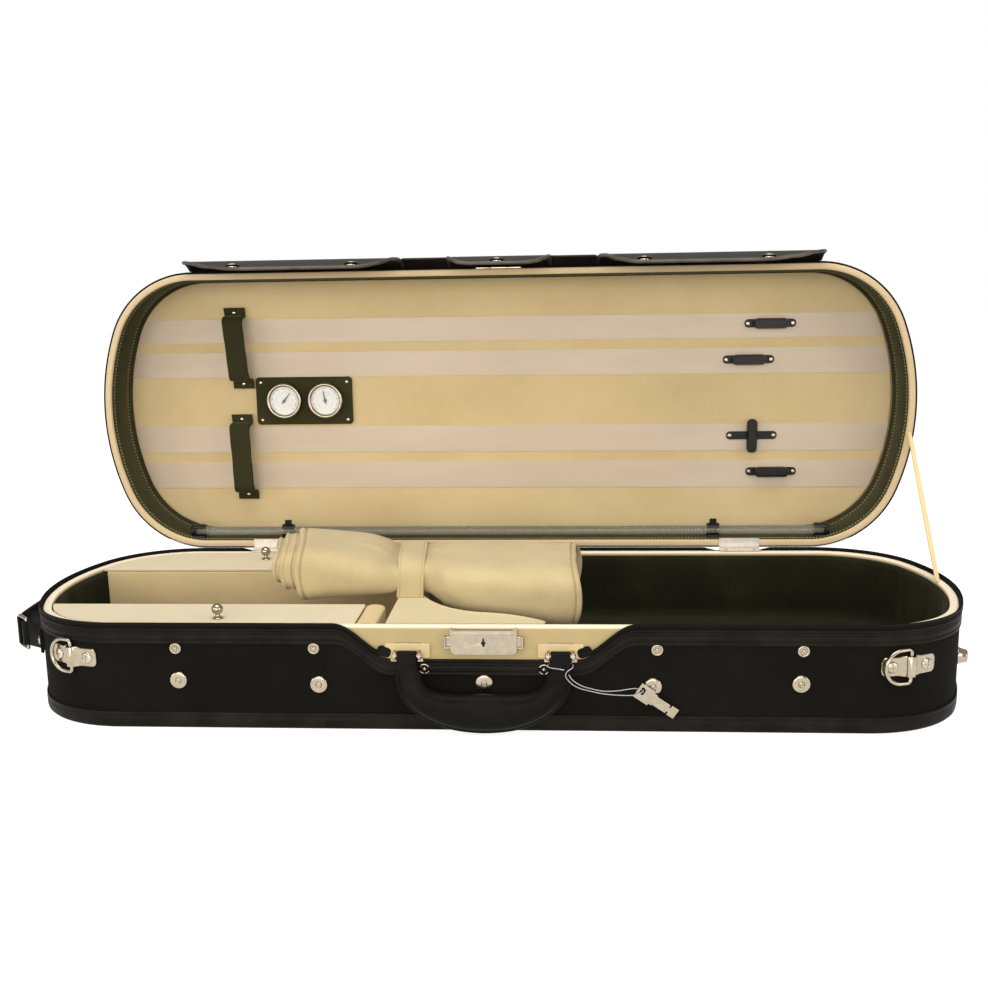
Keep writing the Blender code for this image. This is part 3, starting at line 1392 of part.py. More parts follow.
def make_striker(hinge):
    y0 = -HALF + 0.0005
    y1 = y0 + STRIKER_THICK
    low = LID_RIM_BOTTOM - STRIKER_DROP
    high = LID_ZIP_TOP - 0.001
    shape = moved(rounded(2 * STRIKER_HALF, high - low, 0.002, 2), 0, (low + high) / 2)
    made = solid("lock_striker", front_plate(shape, y0, y1), NICKEL)
    cut(made, block(-0.0085, 0.0085, y0 - 0.01, y1 + 0.01, low - 0.01, low + 0.0060))
    hang(made, (0, HINGE_Y, HINGE_Z), hinge)


def flap_out(down):
    """How far the flap's middle stands off the lid's cover at a distance from its root."""
    for one, two in zip(FLAP_ARCH, FLAP_ARCH[1:]):
        if down <= two[0]:
            return one[1] + (two[1] - one[1]) * (down - one[0]) / (two[0] - one[0])
    return FLAP_ARCH[-1][1]


def flap_chord(x):
    away = abs(x)
    if away <= FLAP_MIDDLE_HALF:
        return FLAP_MIDDLE_CHORD
    if away < FLAP_SIDE_START:
        return FLAP_NOTCH_CHORD
    return FLAP_CHORD


def flap_places():
    """Places along the flap, with how much of its chord it keeps there."""
    step = 0.0006
    half = [(0.0, 1.0), (FLAP_MIDDLE_HALF - 0.014, 1.0), (FLAP_MIDDLE_HALF - 0.004, 0.90)]
    half += [(FLAP_MIDDLE_HALF, 0.70), (FLAP_MIDDLE_HALF + step, 1.0), (FLAP_SIDE_START - step, 1.0)]
    half += [(FLAP_SIDE_START, 0.68), (FLAP_SIDE_START + 0.006, 0.88), (FLAP_SIDE_START + 0.020, 1.0)]
    half += [(FLAP_HALF - 0.022, 1.0), (FLAP_HALF - 0.006, 0.86), (FLAP_HALF, 0.60)]
    return [(-x, k) for x, k in reversed(half[1:])] + half


def make_flap(hinge):
    """A stiff arched flap in three sections, hanging over the closed seam."""
    cover = -HALF + COVER_INSET
    loops = []
    for x, keep in flap_places():
        chord = flap_chord(x) * keep
        outside, inside = [], []
        for i in range(FLAP_STEPS + 1):
            down = chord * i / FLAP_STEPS
            y = cover - flap_out(down)
            outside.append((x, y - FLAP_THICK / 2, FLAP_ROOT - down))
            inside.append((x, y + FLAP_THICK / 2, FLAP_ROOT - down))
        loops.append(outside + inside[::-1])
    made = solid("weather_flap", loft(loops), WOVEN)
    hang(made, (0, cover - FLAP_ARCH[0][1], FLAP_ROOT), hinge)


def make_stay():
    """A ribbon from the rim of the base up to the lid's side band."""
    inset, y = STAY_BASE
    foot = Vector((LENGTH / 2 - inset, y, RIM_TOP + FIT))
    rim_face = HINGE_Y + LID_RIM_BOTTOM - HINGE_Z
    head = Vector((LENGTH / 2 - STAY_HEAD, rim_face - FIT, HINGE_Z + STAY_REACH))
    t = STAY_THICK / 2
    along = (head - foot).normalized()
    across = Vector((0, -along.z, along.y)) * (STAY_WIDTH / 2)
    loops = []
    foot.z += abs(across.z)
    head.y -= abs(across.y)
    corners = ((-1, -1), (1, -1), (1, 1), (-1, 1))
    for point in (foot, head):
        loops.append([point + across * s + Vector((w * t, 0, 0)) for s, w in corners])
    solid("lid_stay", loft(loops), STAY_RIBBON)


def make_base():
    make_base_shell()
    make_bottom_cover()
    make_side_cover()
    make_base_zipper()
    make_base_rim()
    make_lining()
    make_neck_rest()
    make_boxes()
    make_blanket()
    make_strap()


def make_fittings():
    make_lock()
    make_handle()
    make_key()
    make_key_cord()
    make_rings()
    make_end_foot()
    make_end_handle()


def make_lid():
    hinge = stand("lid_hinge", (0, HINGE_Y, HINGE_Z), -math.pi / 2)
    make_lid_layers(hinge)
    make_lid_rim(hinge)
    make_lid_zipper(hinge)
    make_side_band(hinge)
    make_panel(hinge)
    make_toggles(hinge)
    make_sleeves(hinge)
    make_gauges(hinge)
    make_striker(hinge)
    make_flap(hinge)
    for name, x in zip(("left", "right"), HINGE_SPOTS):
        make_hinge(name, x, hinge)
    make_stay()


make_base()
make_fittings()
make_lid()
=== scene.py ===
# %% [markdown]
# # A fibreglass viola case, open and empty
#
# The solids of the case come in as a fixed frame: every piece made here is measured
# against them, and rides on the body that carries it.

# %% Load the frame
import math

import bmesh
import bpy
from mathutils import Matrix, Vector, noise


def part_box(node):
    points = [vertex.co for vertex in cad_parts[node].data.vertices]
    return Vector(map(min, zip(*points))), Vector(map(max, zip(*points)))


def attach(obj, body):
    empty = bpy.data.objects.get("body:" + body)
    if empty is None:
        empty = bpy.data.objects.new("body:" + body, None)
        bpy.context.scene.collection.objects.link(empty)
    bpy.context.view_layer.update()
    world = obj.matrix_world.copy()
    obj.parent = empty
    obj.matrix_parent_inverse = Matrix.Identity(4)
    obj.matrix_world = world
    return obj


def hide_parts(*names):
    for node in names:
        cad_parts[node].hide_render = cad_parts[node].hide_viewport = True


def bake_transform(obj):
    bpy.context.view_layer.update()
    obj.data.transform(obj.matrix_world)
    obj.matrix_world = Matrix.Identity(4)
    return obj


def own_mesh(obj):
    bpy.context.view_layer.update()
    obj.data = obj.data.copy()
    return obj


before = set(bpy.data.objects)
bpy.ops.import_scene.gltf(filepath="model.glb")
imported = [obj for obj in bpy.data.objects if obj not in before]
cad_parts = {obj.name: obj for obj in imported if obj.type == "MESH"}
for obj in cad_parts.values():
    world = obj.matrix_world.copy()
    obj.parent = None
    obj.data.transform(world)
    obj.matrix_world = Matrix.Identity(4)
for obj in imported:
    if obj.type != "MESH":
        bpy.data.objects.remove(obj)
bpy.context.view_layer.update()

# %% [markdown]
# ## The camera
# A case like this is photographed from a little above its rim, with a lens long enough
# to keep both ends upright. The numbers are those of the picture: where the eye stands,
# how far it looks down, and a small shift that places the case in the frame.

# %% Camera
IMAGE = 988
FOCAL, MIDDLE_X, MIDDLE_Y = 1272.76, 478.36, 544.27
YAW, PITCH, ROLL = (math.radians(a) for a in (-4.47, 12.44, -1.06))
EYE = Vector((0.0746, -1.1289, 0.3761))

forward = Vector((math.sin(YAW) * math.cos(PITCH), math.cos(YAW) * math.cos(PITCH), -math.sin(PITCH)))
level = Vector((math.cos(YAW), -math.sin(YAW), 0))
upright = level.cross(forward)
right = math.cos(ROLL) * level + math.sin(ROLL) * upright
top = -math.sin(ROLL) * level + math.cos(ROLL) * upright
camera = bpy.data.objects.new("camera", bpy.data.cameras.new("camera"))
bpy.context.scene.collection.objects.link(camera)
turned_to = Matrix((right, top, -forward)).transposed().to_4x4()
turned_to.translation = EYE
camera.matrix_world = turned_to
camera.data.sensor_width = 36
camera.data.lens = FOCAL * 36 / IMAGE
camera.data.shift_x = (IMAGE / 2 - MIDDLE_X) / IMAGE
camera.data.shift_y = (MIDDLE_Y - IMAGE / 2) / IMAGE
bpy.context.scene.camera = camera
print("lens", round(camera.data.lens, 1), "mm")

# %% [markdown]
# ## Helpers for materials
# Each finish is a small tree of nodes. Two helpers keep the trees readable: one adds a
# node and wires its inputs, the other starts a material with its main shader.

# %% Node helpers
def add(tree, kind, inputs=None, **settings):
    made = tree.nodes.new("ShaderNode" + kind)
    for key, value in settings.items():
        setattr(made, key, value)
    for key, value in (inputs or {}).items():
        if isinstance(value, bpy.types.NodeSocket):
            tree.links.new(value, made.inputs[key])
        else:
            made.inputs[key].default_value = value
    return made


def finish(name, **sockets):
    """A material whose main shader has these plain values."""
    made = bpy.data.materials.new(name)
    made.use_nodes = True
    shader = made.node_tree.nodes["Principled BSDF"]
    for key, value in sockets.items():
        shader.inputs[key.replace("_", " ")].default_value = value
    return made, made.node_tree, shader


def linear(red, green, blue):
    """A colour as it looks on a screen, 0 to 255, turned into the shader's numbers."""
    parts = [c / 255 for c in (red, green, blue)]
    return (*[c / 12.92 if c <= 0.04045 else ((c + 0.055) / 1.055) ** 2.4 for c in parts], 1)


def ramp(tree, factor, *stops):
    made = add(tree, "ValToRGB", {"Fac": factor})
    ends = made.color_ramp.elements
    for index, (place, colour) in enumerate(stops):
        stop = ends[index] if index < 2 else ends.new(place)
        stop.position = place
        stop.color = colour
    return made.outputs["Color"]


def cloudy(tree, where, scale, detail=3.0, roughness=0.5, stretch=None):
    """Soft noise, its scale in cells per metre."""
    if stretch:
        where = add(tree, "Mapping", {"Vector": where, "Scale": stretch}).outputs["Vector"]
    sizes = {"Vector": where, "Scale": scale, "Detail": detail, "Roughness": roughness}
    return add(tree, "TexNoise", sizes).outputs["Fac"]


def threads(tree, where, pitch, axis):
    """Round ribs at an even pitch in metres, across one axis."""
    sizes = {"Vector": where, "Scale": math.tau / 20 / pitch}
    return add(tree, "TexWave", sizes, bands_direction=axis).outputs["Fac"]


def maths(tree, operation, *values):
    made = add(tree, "Math", operation=operation)
    for index, value in enumerate(values):
        if isinstance(value, bpy.types.NodeSocket):
            tree.links.new(value, made.inputs[index])
        else:
            made.inputs[index].default_value = value
    return made.outputs[0]


def relief(tree, shader, height, depth, strength=1.0):
    """Bump whose height runs from 0 to depth metres."""
    sizes = {"Height": height, "Distance": depth, "Strength": strength}
    before = shader.inputs["Normal"].links
    if before:
        sizes["Normal"] = before[0].from_socket
    tree.links.new(add(tree, "Bump", sizes).outputs["Normal"], shader.inputs["Normal"])


def where_on(tree, kind="Object"):
    return add(tree, "TexCoord").outputs[kind]


# %% [markdown]
# ## The cloths
# Five cloths make this case. The outside is a coarse black weave. Inside, tan velour
# covers the wood, dark green velvet lines the well and pads the lid, the blanket is a
# smooth cream cloth, and the ribbons are satin. Velvet and velour get their look from
# sheen: the pile glows where we look along it, and brushed patches break the colour up.

# %% Black weave
def make_weave():
    made, tree, shader = finish("woven_cover", Roughness=0.85)
    shader.inputs["Specular IOR Level"].default_value = 0.05
    flat = where_on(tree, "UV")
    over = threads(tree, flat, 0.0011, "X")
    across = threads(tree, flat, 0.0011, "Y")
    height = maths(tree, "MAXIMUM", maths(tree, "MULTIPLY", over, 0.85), across)
    patches = cloudy(tree, where_on(tree), 14, 4, 0.6)
    colour = ramp(tree, maths(tree, "ADD", maths(tree, "MULTIPLY", height, 0.35), maths(tree, "MULTIPLY", patches, 0.65)),
                  (0.25, linear(15, 14, 12)), (0.60, linear(23, 21, 18)), (0.85, linear(31, 29, 25)))
    tree.links.new(colour, shader.inputs["Base Color"])
    relief(tree, shader, height, 0.00018, 0.8)
    return made


WEAVE = make_weave()


# %% Pile cloths
def make_pile(name, dark, plain, light, sheen, tint, patch=9.0, pile=2600, rough=0.9, painted_top_light=None, woven=0.0):
    """Velvet or velour: fine pile, brushed patches, and sheen. Given a height and a colour
    for painted top light, the cloth is painted that much paler above that height."""
    made, tree, shader = finish(name, Roughness=rough, Sheen_Weight=sheen, Sheen_Roughness=0.42)
    shader.inputs["Sheen Tint"].default_value = tint
    shader.inputs["Specular IOR Level"].default_value = 0.10
    place = where_on(tree)
    brushed = cloudy(tree, place, patch, 5, 0.62)
    fine = cloudy(tree, place, pile, 2, 0.6)
    mixed = maths(tree, "ADD", maths(tree, "MULTIPLY", brushed, 0.62), maths(tree, "MULTIPLY", fine, 0.38))
    colour = ramp(tree, mixed, (0.22, dark), (0.50, plain), (0.80, light))
    # Painted light: above the given height the colour turns to a paler ramp, as light from above on the top faces.
    if painted_top_light:
        height = add(tree, "SeparateXYZ", {0: place}).outputs["Z"]
        share = add(tree, "MapRange", {"Value": height, "From Min": painted_top_light[0] - 0.0010, "From Max": painted_top_light[0] + 0.0010}).outputs[0]
        grain = ramp(tree, mixed, (0.22, tuple(c * 0.88 for c in painted_top_light[1][:3]) + (1,)), (0.80, painted_top_light[1]))
        colour = add(tree, "MixRGB", {"Fac": share, 1: colour, 2: grain}).outputs[0]
    tree.links.new(colour, shader.inputs["Base Color"])
    relief(tree, shader, fine, 0.00022, 0.7)
    if woven:
        flat = where_on(tree, "UV")
        both = maths(tree, "MAXIMUM", threads(tree, flat, woven, "X"), threads(tree, flat, woven, "Y"))
        relief(tree, shader, both, 0.00016, 0.7)
    relief(tree, shader, brushed, 0.0012, 0.12)
    return made


VELOUR = make_pile("tan_velour", linear(195, 171, 123), linear(213, 190, 143), linear(224, 203, 158), 0.18, (1, 0.95, 0.86, 1))
# A paler copy of the tan velour for the compartment lids: painted light, the top light and sheen on their upward faces.
TOP_LIT_VELOUR = make_pile("top_lit_velour", linear(200, 185, 152), linear(214, 200, 168), linear(224, 211, 182), 0.30, (1, 0.98, 0.94, 1))
# The rim is painted paler above 87.2 mm: painted light on its top. The apron below keeps the plain colour.
RIM_CLOTH = make_pile("beige_rim", linear(170, 150, 106), linear(184, 165, 119), linear(196, 177, 133), 0.15, (1, 0.96, 0.88, 1), painted_top_light=(0.0872, linear(249, 236, 209)))
LID_RIM = make_pile("beige_lid_rim", linear(196, 172, 132), linear(211, 188, 149), linear(222, 200, 162), 0.2, (1, 0.96, 0.88, 1))
REST_CLOTH = make_pile("rest_cloth", linear(195, 180, 136), linear(207, 193, 151), linear(216, 203, 164), 0.25, (1, 0.97, 0.90, 1), 16, 1500, 0.85)
VELVET = make_pile("green_velvet", linear(40, 39, 22), linear(54, 52, 31), linear(76, 72, 46), 0.22, (0.42, 0.41, 0.24, 1), 13)
# A darker copy of the green velvet for the well: painted shade of the deep well.
WELL_VELVET_PAINTED_SHADE = make_pile("well_velvet_painted_shade", linear(17, 18, 10), linear(28, 28, 16), linear(48, 47, 28), 0.16, (0.40, 0.39, 0.22, 1), 15)
BLANKET = make_pile("cream_blanket", linear(170, 150, 108), linear(194, 176, 134), linear(209, 192, 152), 0.25, (1, 0.96, 0.86, 1), 18, 1500, 0.85, woven=0.0011)


# %% Satin ribbon and green binding thread
def make_satin(name, dark, light, pitch, rough, sheen=0.0):
    made, tree, shader = finish(name, Roughness=rough, Sheen_Weight=max(0.0, sheen), Sheen_Roughness=0.3)
    shader.inputs["Specular IOR Level"].default_value = 0.2 + sheen
    flat = where_on(tree, "UV")
    ribs = threads(tree, flat, pitch, "X")
    drift = cloudy(tree, flat, 22, 3, 0.5, (0.25, 1.0, 1.0))
    colour = ramp(tree, maths(tree, "ADD", maths(tree, "MULTIPLY", drift, 0.8), maths(tree, "MULTIPLY", ribs, 0.2)),
                  (0.25, dark), (0.75, light))
    tree.links.new(colour, shader.inputs["Base Color"])
    relief(tree, shader, ribs, 0.00006, 0.6)
    return made


SATIN = make_satin("satin_ribbon", linear(193, 173, 146), linear(212, 194, 170), 0.0007, 0.36, 0.40)
STAY_CLOTH = make_satin("stay_ribbon", linear(218, 194, 139), linear(236, 216, 168), 0.0006, 0.6, 0.1)
TAPE = make_satin("zipper_tape", linear(10, 9, 8), linear(18, 16, 14), 0.0009, 0.75, -0.12)
THREAD_GREEN = make_satin("green_thread", linear(138, 136, 96), linear(178, 174, 130), 0.0004, 0.7)
THREAD_BLACK = make_satin("black_thread", linear(12, 10, 9), linear(20, 17, 15), 0.0004, 0.6)
THREAD_TAN = make_satin("tan_thread", linear(176, 152, 104), linear(198, 176, 128), 0.0004, 0.7)


# %% [markdown]
# ## Leather, metal and plastic
# The leather has a pebbled grain: cells from a Voronoi texture, some raised more than
# others, and a gloss that changes from patch to patch. The nickel is bright but handled,
# so faint hairlines and cloudy spots vary its roughness. The plastics are simpler.

# %% Leather
def make_leather(name, dark, light, rough, grain=1100, gleam=0.05):
    made, tree, shader = finish(name, Roughness=rough)
    shader.inputs["Specular IOR Level"].default_value = gleam
    place = where_on(tree)
    cells = add(tree, "TexVoronoi", {"Vector": place, "Scale": grain}, feature="SMOOTH_F1").outputs["Distance"]
    patches = cloudy(tree, place, 40, 5, 0.6)
    colour = ramp(tree, patches, (0.35, dark), (0.70, light))
    tree.links.new(colour, shader.inputs["Base Color"])
    gloss = ramp(tree, patches, (0.3, (rough - 0.09,) * 3 + (1,)), (0.7, (rough + 0.12,) * 3 + (1,)))
    tree.links.new(gloss, shader.inputs["Roughness"])
    relief(tree, shader, cells, 0.00012, 0.7)
    relief(tree, shader, cloudy(tree, place, 320, 2), 0.00012, 0.5)
    return made


LEATHER = make_leather("black_leather", linear(16, 15, 13), linear(27, 25, 22), 0.44)
BINDING = make_leather("leather_binding", linear(22, 19, 15), linear(36, 32, 27), 0.46, gleam=0.06)
# A paler copy of the black leather for the flaps: painted light on their shaded underside.
FLAP_LEATHER_PAINTED_LIGHT = make_leather("flap_leather_painted_light", linear(38, 34, 30), linear(54, 49, 43), 0.42, gleam=0.20)
# A much paler copy of the black leather for the flaps' rolled edge: a painted highlight along it.
PIPING_PAINTED_HIGHLIGHT = make_leather("flap_piping_painted_highlight", linear(58, 52, 46), linear(96, 88, 80), 0.36, gleam=0.5)


# %% Nickel and plastics
def make_metal(name, dark, light, rough):
    made, tree, shader = finish(name, Metallic=1.0, Roughness=rough)
    place = where_on(tree)
    spots = cloudy(tree, place, 160, 5, 0.65)
    hairs = cloudy(tree, place, 900, 3, 0.7, (0.06, 1.0, 1.0))
    colour = ramp(tree, spots, (0.20, dark), (0.75, light))
    tree.links.new(colour, shader.inputs["Base Color"])
    both = maths(tree, "ADD", maths(tree, "MULTIPLY", spots, 0.6), maths(tree, "MULTIPLY", hairs, 0.4))
    gloss = ramp(tree, both, (0.3, (rough * 0.85,) * 3 + (1,)), (0.7, (rough * 1.2,) * 3 + (1,)))
    tree.links.new(gloss, shader.inputs["Roughness"])
    relief(tree, shader, hairs, 0.00003, 0.4)
    return made


NICKEL = make_metal("nickel", linear(158, 147, 126), linear(184, 173, 153), 0.17)
# A whiter copy of the nickel for the hinge leaves: painted reflection of the bright surround.
HINGE_PAINTED_REFLECTION = make_metal("hinge_nickel_painted_reflection", linear(212, 205, 192), linear(236, 230, 220), 0.42)
OLD_NICKEL = make_metal("worn_nickel", linear(160, 148, 128), linear(214, 204, 184), 0.30)
# Near black steel for the barrel seen through the keyhole: painted shade of the hole.
BARREL_PAINTED_SHADE = make_metal("barrel_steel_painted_shade", linear(36, 32, 26), linear(58, 52, 44), 0.45)


def make_plastic(name, dark, light, rough, gleam=0.5):
    made, tree, shader = finish(name, Roughness=rough)
    place = where_on(tree)
    drift = cloudy(tree, place, 120, 4, 0.6)
    tree.links.new(ramp(tree, drift, (0.3, dark), (0.7, light)), shader.inputs["Base Color"])
    relief(tree, shader, cloudy(tree, place, 1800, 2), 0.00004, 0.6)
    shader.inputs["Specular IOR Level"].default_value = gleam
    return made


BLACK_PLASTIC = make_plastic("black_plastic", linear(16, 15, 14), linear(26, 25, 23), 0.30, 0.22)
DIAL_WHITE = make_plastic("white_dial", linear(228, 227, 221), linear(238, 237, 232), 0.35)
MARK_BLACK = make_plastic("dial_marks", linear(30, 30, 32), linear(44, 44, 46), 0.5)
MOULDING = make_plastic("fibreglass", linear(48, 46, 42), linear(66, 63, 58), 0.5)
NEEDLE_STEEL = make_plastic("needle_blue", linear(28, 30, 40), linear(40, 44, 58), 0.35)


def make_clear(name, tint, rough, ior):
    made, tree, shader = finish(name, Roughness=rough, IOR=ior, Transmission_Weight=1.0)
    drift = cloudy(tree, where_on(tree), 90, 3)
    pale = tuple(c * 0.9 for c in tint[:3]) + (1,)
    tree.links.new(ramp(tree, drift, (0.35, pale), (0.65, tint)), shader.inputs["Base Color"])
    return made


CLEAR_TUBE = make_plastic("clear_tube", linear(214, 208, 190), linear(232, 228, 214), 0.06)
CLEAR_TUBE.node_tree.nodes["Principled BSDF"].inputs["Alpha"].default_value = 0.07
CORD_LOOK = make_clear("clear_cord", (0.60, 0.57, 0.62, 1), 0.30, 1.35)
CORD_LOOK.node_tree.nodes["Principled BSDF"].inputs["Transmission Weight"].default_value = 0.30
print("finishes", len(bpy.data.materials))

# %% [markdown]
# ## The cord and the key
# The key hangs from the handle on a thin clear cord. It is tied round the handle's leg,
# runs down to the key's eye and back up, so it is one length with both ends in the knot.
# Its route is given from the handle's pins.

# %% Sizes that the whole case shares
LENGTH, WIDTH = 0.820, 0.284
HALF = WIDTH / 2
END_RADIUS, CORNER_RADIUS = 0.235, 0.091
BASE_HEIGHT, SHUT_HEIGHT = 0.092, 0.157
RIM_TOP = 0.089
HINGE_Y, HINGE_Z = 0.1440, 0.0870
FIT = 0.0003
PINS = Vector((0, -0.1450, 0.0655))

# %% The cord
CORD_WIDTH = 0.0008
FACE = 0.0030
KEY_FRONT, KEY_BACK = FACE - 0.0026, FACE - 0.0010
ROUTE = [
    (0.0655, -0.0086, -0.0085), (0.0600, -0.0088, -0.0075), (0.0540, -0.0076, -0.0069),
    (0.0524, -0.0040, -0.0067), (0.0524, 0.0, -0.0067), (0.0545, FACE - 0.0003, -0.0067),
    (0.0625, FACE - 0.0003, -0.0067), (0.0702, FACE - 0.0003, -0.0067), (0.0725, 0.0, -0.0067),
    (0.0725, -0.0040, -0.0069), (0.0712, -0.0076, -0.0077), (0.0678, -0.0096, -0.0095),
    (0.0665, -0.0112, -0.0127), (0.0690, -0.0128, -0.0163), (0.0735, -0.0134, -0.0200),
    (0.0790, -0.0118, -0.0231), (0.0852, -0.0084, -0.0259), (0.0965, -0.0044, -0.0297),
    (0.1090, -0.0024, -0.0315), (0.1200, -0.0012, -0.0319), (0.1258, KEY_FRONT - 0.0012, -0.0305),
    (0.1288, KEY_FRONT - 0.0004, -0.0290), (0.1292, (KEY_FRONT + KEY_BACK) / 2, -0.0288),
    (0.1288, KEY_BACK + 0.0003, -0.0286),
    (0.1252, FACE - 0.0002, -0.0277), (0.1195, FACE - 0.0014, -0.0273), (0.1090, -0.0006, -0.0283),
    (0.0970, -0.0032, -0.0279), (0.0862, -0.0072, -0.0243), (0.0804, -0.0104, -0.0215),
    (0.0752, -0.0118, -0.0183), (0.0712, -0.0116, -0.0149), (0.0690, -0.0106, -0.0117),
]


def smooth_route(route, spacing):
    """Points at an even spacing along a smooth curve through the route."""
    knots = [Vector(p) for p in route]
    knots = [2 * knots[0] - knots[1]] + knots + [2 * knots[-1] - knots[-2]]
    fine = []
    for a, b, c, d in zip(knots, knots[1:], knots[2:], knots[3:]):
        for i in range(20):
            t = i / 20
            fine.append(0.5 * (2 * b + (c - a) * t + (2 * a - 5 * b + 4 * c - d) * t**2
                               + (3 * b - a - 3 * c + d) * t**3))
    fine.append(knots[-2])
    points, travelled = [fine[0]], 0.0
    for one, two in zip(fine, fine[1:]):
        travelled += (two - one).length
        if travelled >= spacing:
            points.append(two)
            travelled = 0.0
    points[-1] = fine[-1]
    return points


def make_cord():
    curve = bpy.data.curves.new("key_cord_clear", "CURVE")
    curve.dimensions = "3D"
    curve.bevel_depth = CORD_WIDTH / 2
    curve.bevel_resolution = 4
    curve.use_fill_caps = True
    line = curve.splines.new("POLY")
    points = [point + PINS for point in smooth_route(ROUTE, 0.0013)]
    line.points.add(len(points) - 1)
    for spot, point in zip(line.points, points):
        spot.co = (*point, 1)
    curve.materials.append(CORD_LOOK)
    made = bpy.data.objects.new("key_cord_clear", curve)
    bpy.context.scene.collection.objects.link(made)
    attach(made, "handle")
    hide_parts("key_cord")


make_cord()

# %% [markdown]
# ## Floor and light
# The case stands on a plain white floor under soft studio light: one large lamp in front
# and above, weaker ones at the sides, and a pale surround. The white comes from the
# floor's and the world's colour as the camera sees them, never from more light.

# %% Floor, surround and lamps
def make_floor():
    made, tree, shader = finish("studio_floor", Base_Color=(0.45, 0.45, 0.45, 1), Roughness=0.9)
    ray = add(tree, "LightPath").outputs
    seen = maths(tree, "MAXIMUM", ray["Is Camera Ray"], ray["Is Transmission Ray"])
    seen = maths(tree, "MAXIMUM", seen, ray["Is Glossy Ray"])
    glow = add(tree, "Emission", {"Color": (1, 1, 1, 1), "Strength": 0.85})
    both = add(tree, "AddShader", {0: shader.outputs[0], 1: glow.outputs[0]})
    pick = add(tree, "MixShader", {"Fac": seen, 1: shader.outputs[0], 2: both.outputs[0]})
    tree.links.new(pick.outputs[0], tree.nodes["Material Output"].inputs["Surface"])
    mesh = bpy.data.meshes.new("floor")
    reach = 6.0
    mesh.from_pydata([(-reach, -reach, 0), (reach, -reach, 0), (reach, reach, 0), (-reach, reach, 0)], [], [(0, 1, 2, 3)])
    mesh.materials.append(made)
    floor = bpy.data.objects.new("floor", mesh)
    bpy.context.scene.collection.objects.link(floor)


def make_world():
    world = bpy.data.worlds.new("surround")
    world.use_nodes = True
    bpy.context.scene.world = world
    tree = world.node_tree
    plain = tree.nodes["Background"]
    plain.inputs["Color"].default_value = (1.0, 0.985, 0.96, 1)
    plain.inputs["Strength"].default_value = 0.42
    white = add(tree, "Background", {"Color": (1, 1, 1, 1), "Strength": 1.0})
    ray = add(tree, "LightPath").outputs
    seen = maths(tree, "MAXIMUM", ray["Is Camera Ray"], ray["Is Transmission Ray"])
    pick = add(tree, "MixShader", {"Fac": seen, 1: plain.outputs[0], 2: white.outputs[0]})
    tree.links.new(pick.outputs[0], tree.nodes["World Output"].inputs["Surface"])


def make_lamp(name, place, target, size, power, tint=(1, 0.97, 0.93)):
    lamp = bpy.data.lights.new(name, "AREA")
    lamp.shape = "RECTANGLE"
    lamp.size, lamp.size_y = size
    lamp.energy = power
    lamp.color = tint
    made = bpy.data.objects.new(name, lamp)
    bpy.context.scene.collection.objects.link(made)
    made.location = place
    made.rotation_euler = (Vector(target) - Vector(place)).to_track_quat("-Z", "Y").to_euler()


make_floor()
make_world()
make_lamp("front_light", (-0.3, -3.1, 0.72), (0, 0, 0.22), (2.6, 1.3), 46)
make_lamp("top_light", (0.0, -0.7, 2.7), (0, 0, 0.1), (2.4, 1.8), 53)
make_lamp("fill_right", (2.4, -1.6, 0.8), (0, 0, 0.2), (1.4, 1.2), 17)
make_lamp("fill_left", (-2.4, -1.6, 0.8), (0, 0, 0.2), (1.4, 1.2), 17)
bpy.context.scene.view_settings.view_transform = "Standard"

# %% [markdown]
# ## Helpers for meshes
# Most of the case is made of bands that run round one outline, and of sections swept
# along it. So the first helper turns rows of points into a mesh, with a UV map that is
# true to size in metres, which lets a weave or a rib keep its real pitch.

# %% Mesh helpers
def piece(name, mesh, look, smooth=38):
    mesh.materials.append(look)
    mesh.shade_smooth()
    mesh.set_sharp_from_angle(angle=math.radians(smooth))
    made = bpy.data.objects.new(name, mesh)
    bpy.context.scene.collection.objects.link(made)
    return made


def from_bmesh(name, bm, look, smooth=38):
    mesh = bpy.data.meshes.new(name)
    bm.to_mesh(mesh)
    bm.free()
    return piece(name, mesh, look, smooth)


def rows_mesh(name, rows, look, closed_row=True, closed_rows=False, capped=True, smooth=38):
    """A skin over rows of points, with its UV map in metres."""
    bm = bmesh.new()
    uv = bm.loops.layers.uv.new("size")
    grid = [[bm.verts.new(point) for point in row] for row in rows]
    count = len(grid[0])
    span = range(count if closed_row else count - 1)
    along, total = [0.0], 0.0
    for one, two in zip(rows, rows[1:]):
        total += max((Vector(a) - Vector(b)).length for a, b in zip(one, two))
        along.append(total)
    across, total = [0.0], 0.0
    first = rows[len(rows) // 2]
    for i in range(count):
        total += (Vector(first[(i + 1) % count]) - Vector(first[i])).length
        across.append(total)
    pairs = [(i, i + 1) for i in range(len(rows) - 1)]
    if closed_rows:
        pairs.append((len(rows) - 1, 0))
        along.append(along[-1] + (Vector(rows[-1][0]) - Vector(rows[0][0])).length)
    for i, j in pairs:
        for k in span:
            m = (k + 1) % count
            face = bm.faces.new((grid[i][k], grid[i][m], grid[j][m], grid[j][k]))
            spots = ((i, k), (i, k + 1), (i + 1, k + 1), (i + 1, k))
            for loop, (a, b) in zip(face.loops, spots):
                loop[uv].uv = (along[a], across[b])
    if capped and closed_row and not closed_rows:
        for end in (0, -1):
            face = bm.faces.new(grid[end])
            for loop in face.loops:
                loop[uv].uv = (loop.vert.co.x, loop.vert.co.z)
    bmesh.ops.recalc_face_normals(bm, faces=bm.faces)
    return from_bmesh(name, bm, look, smooth)


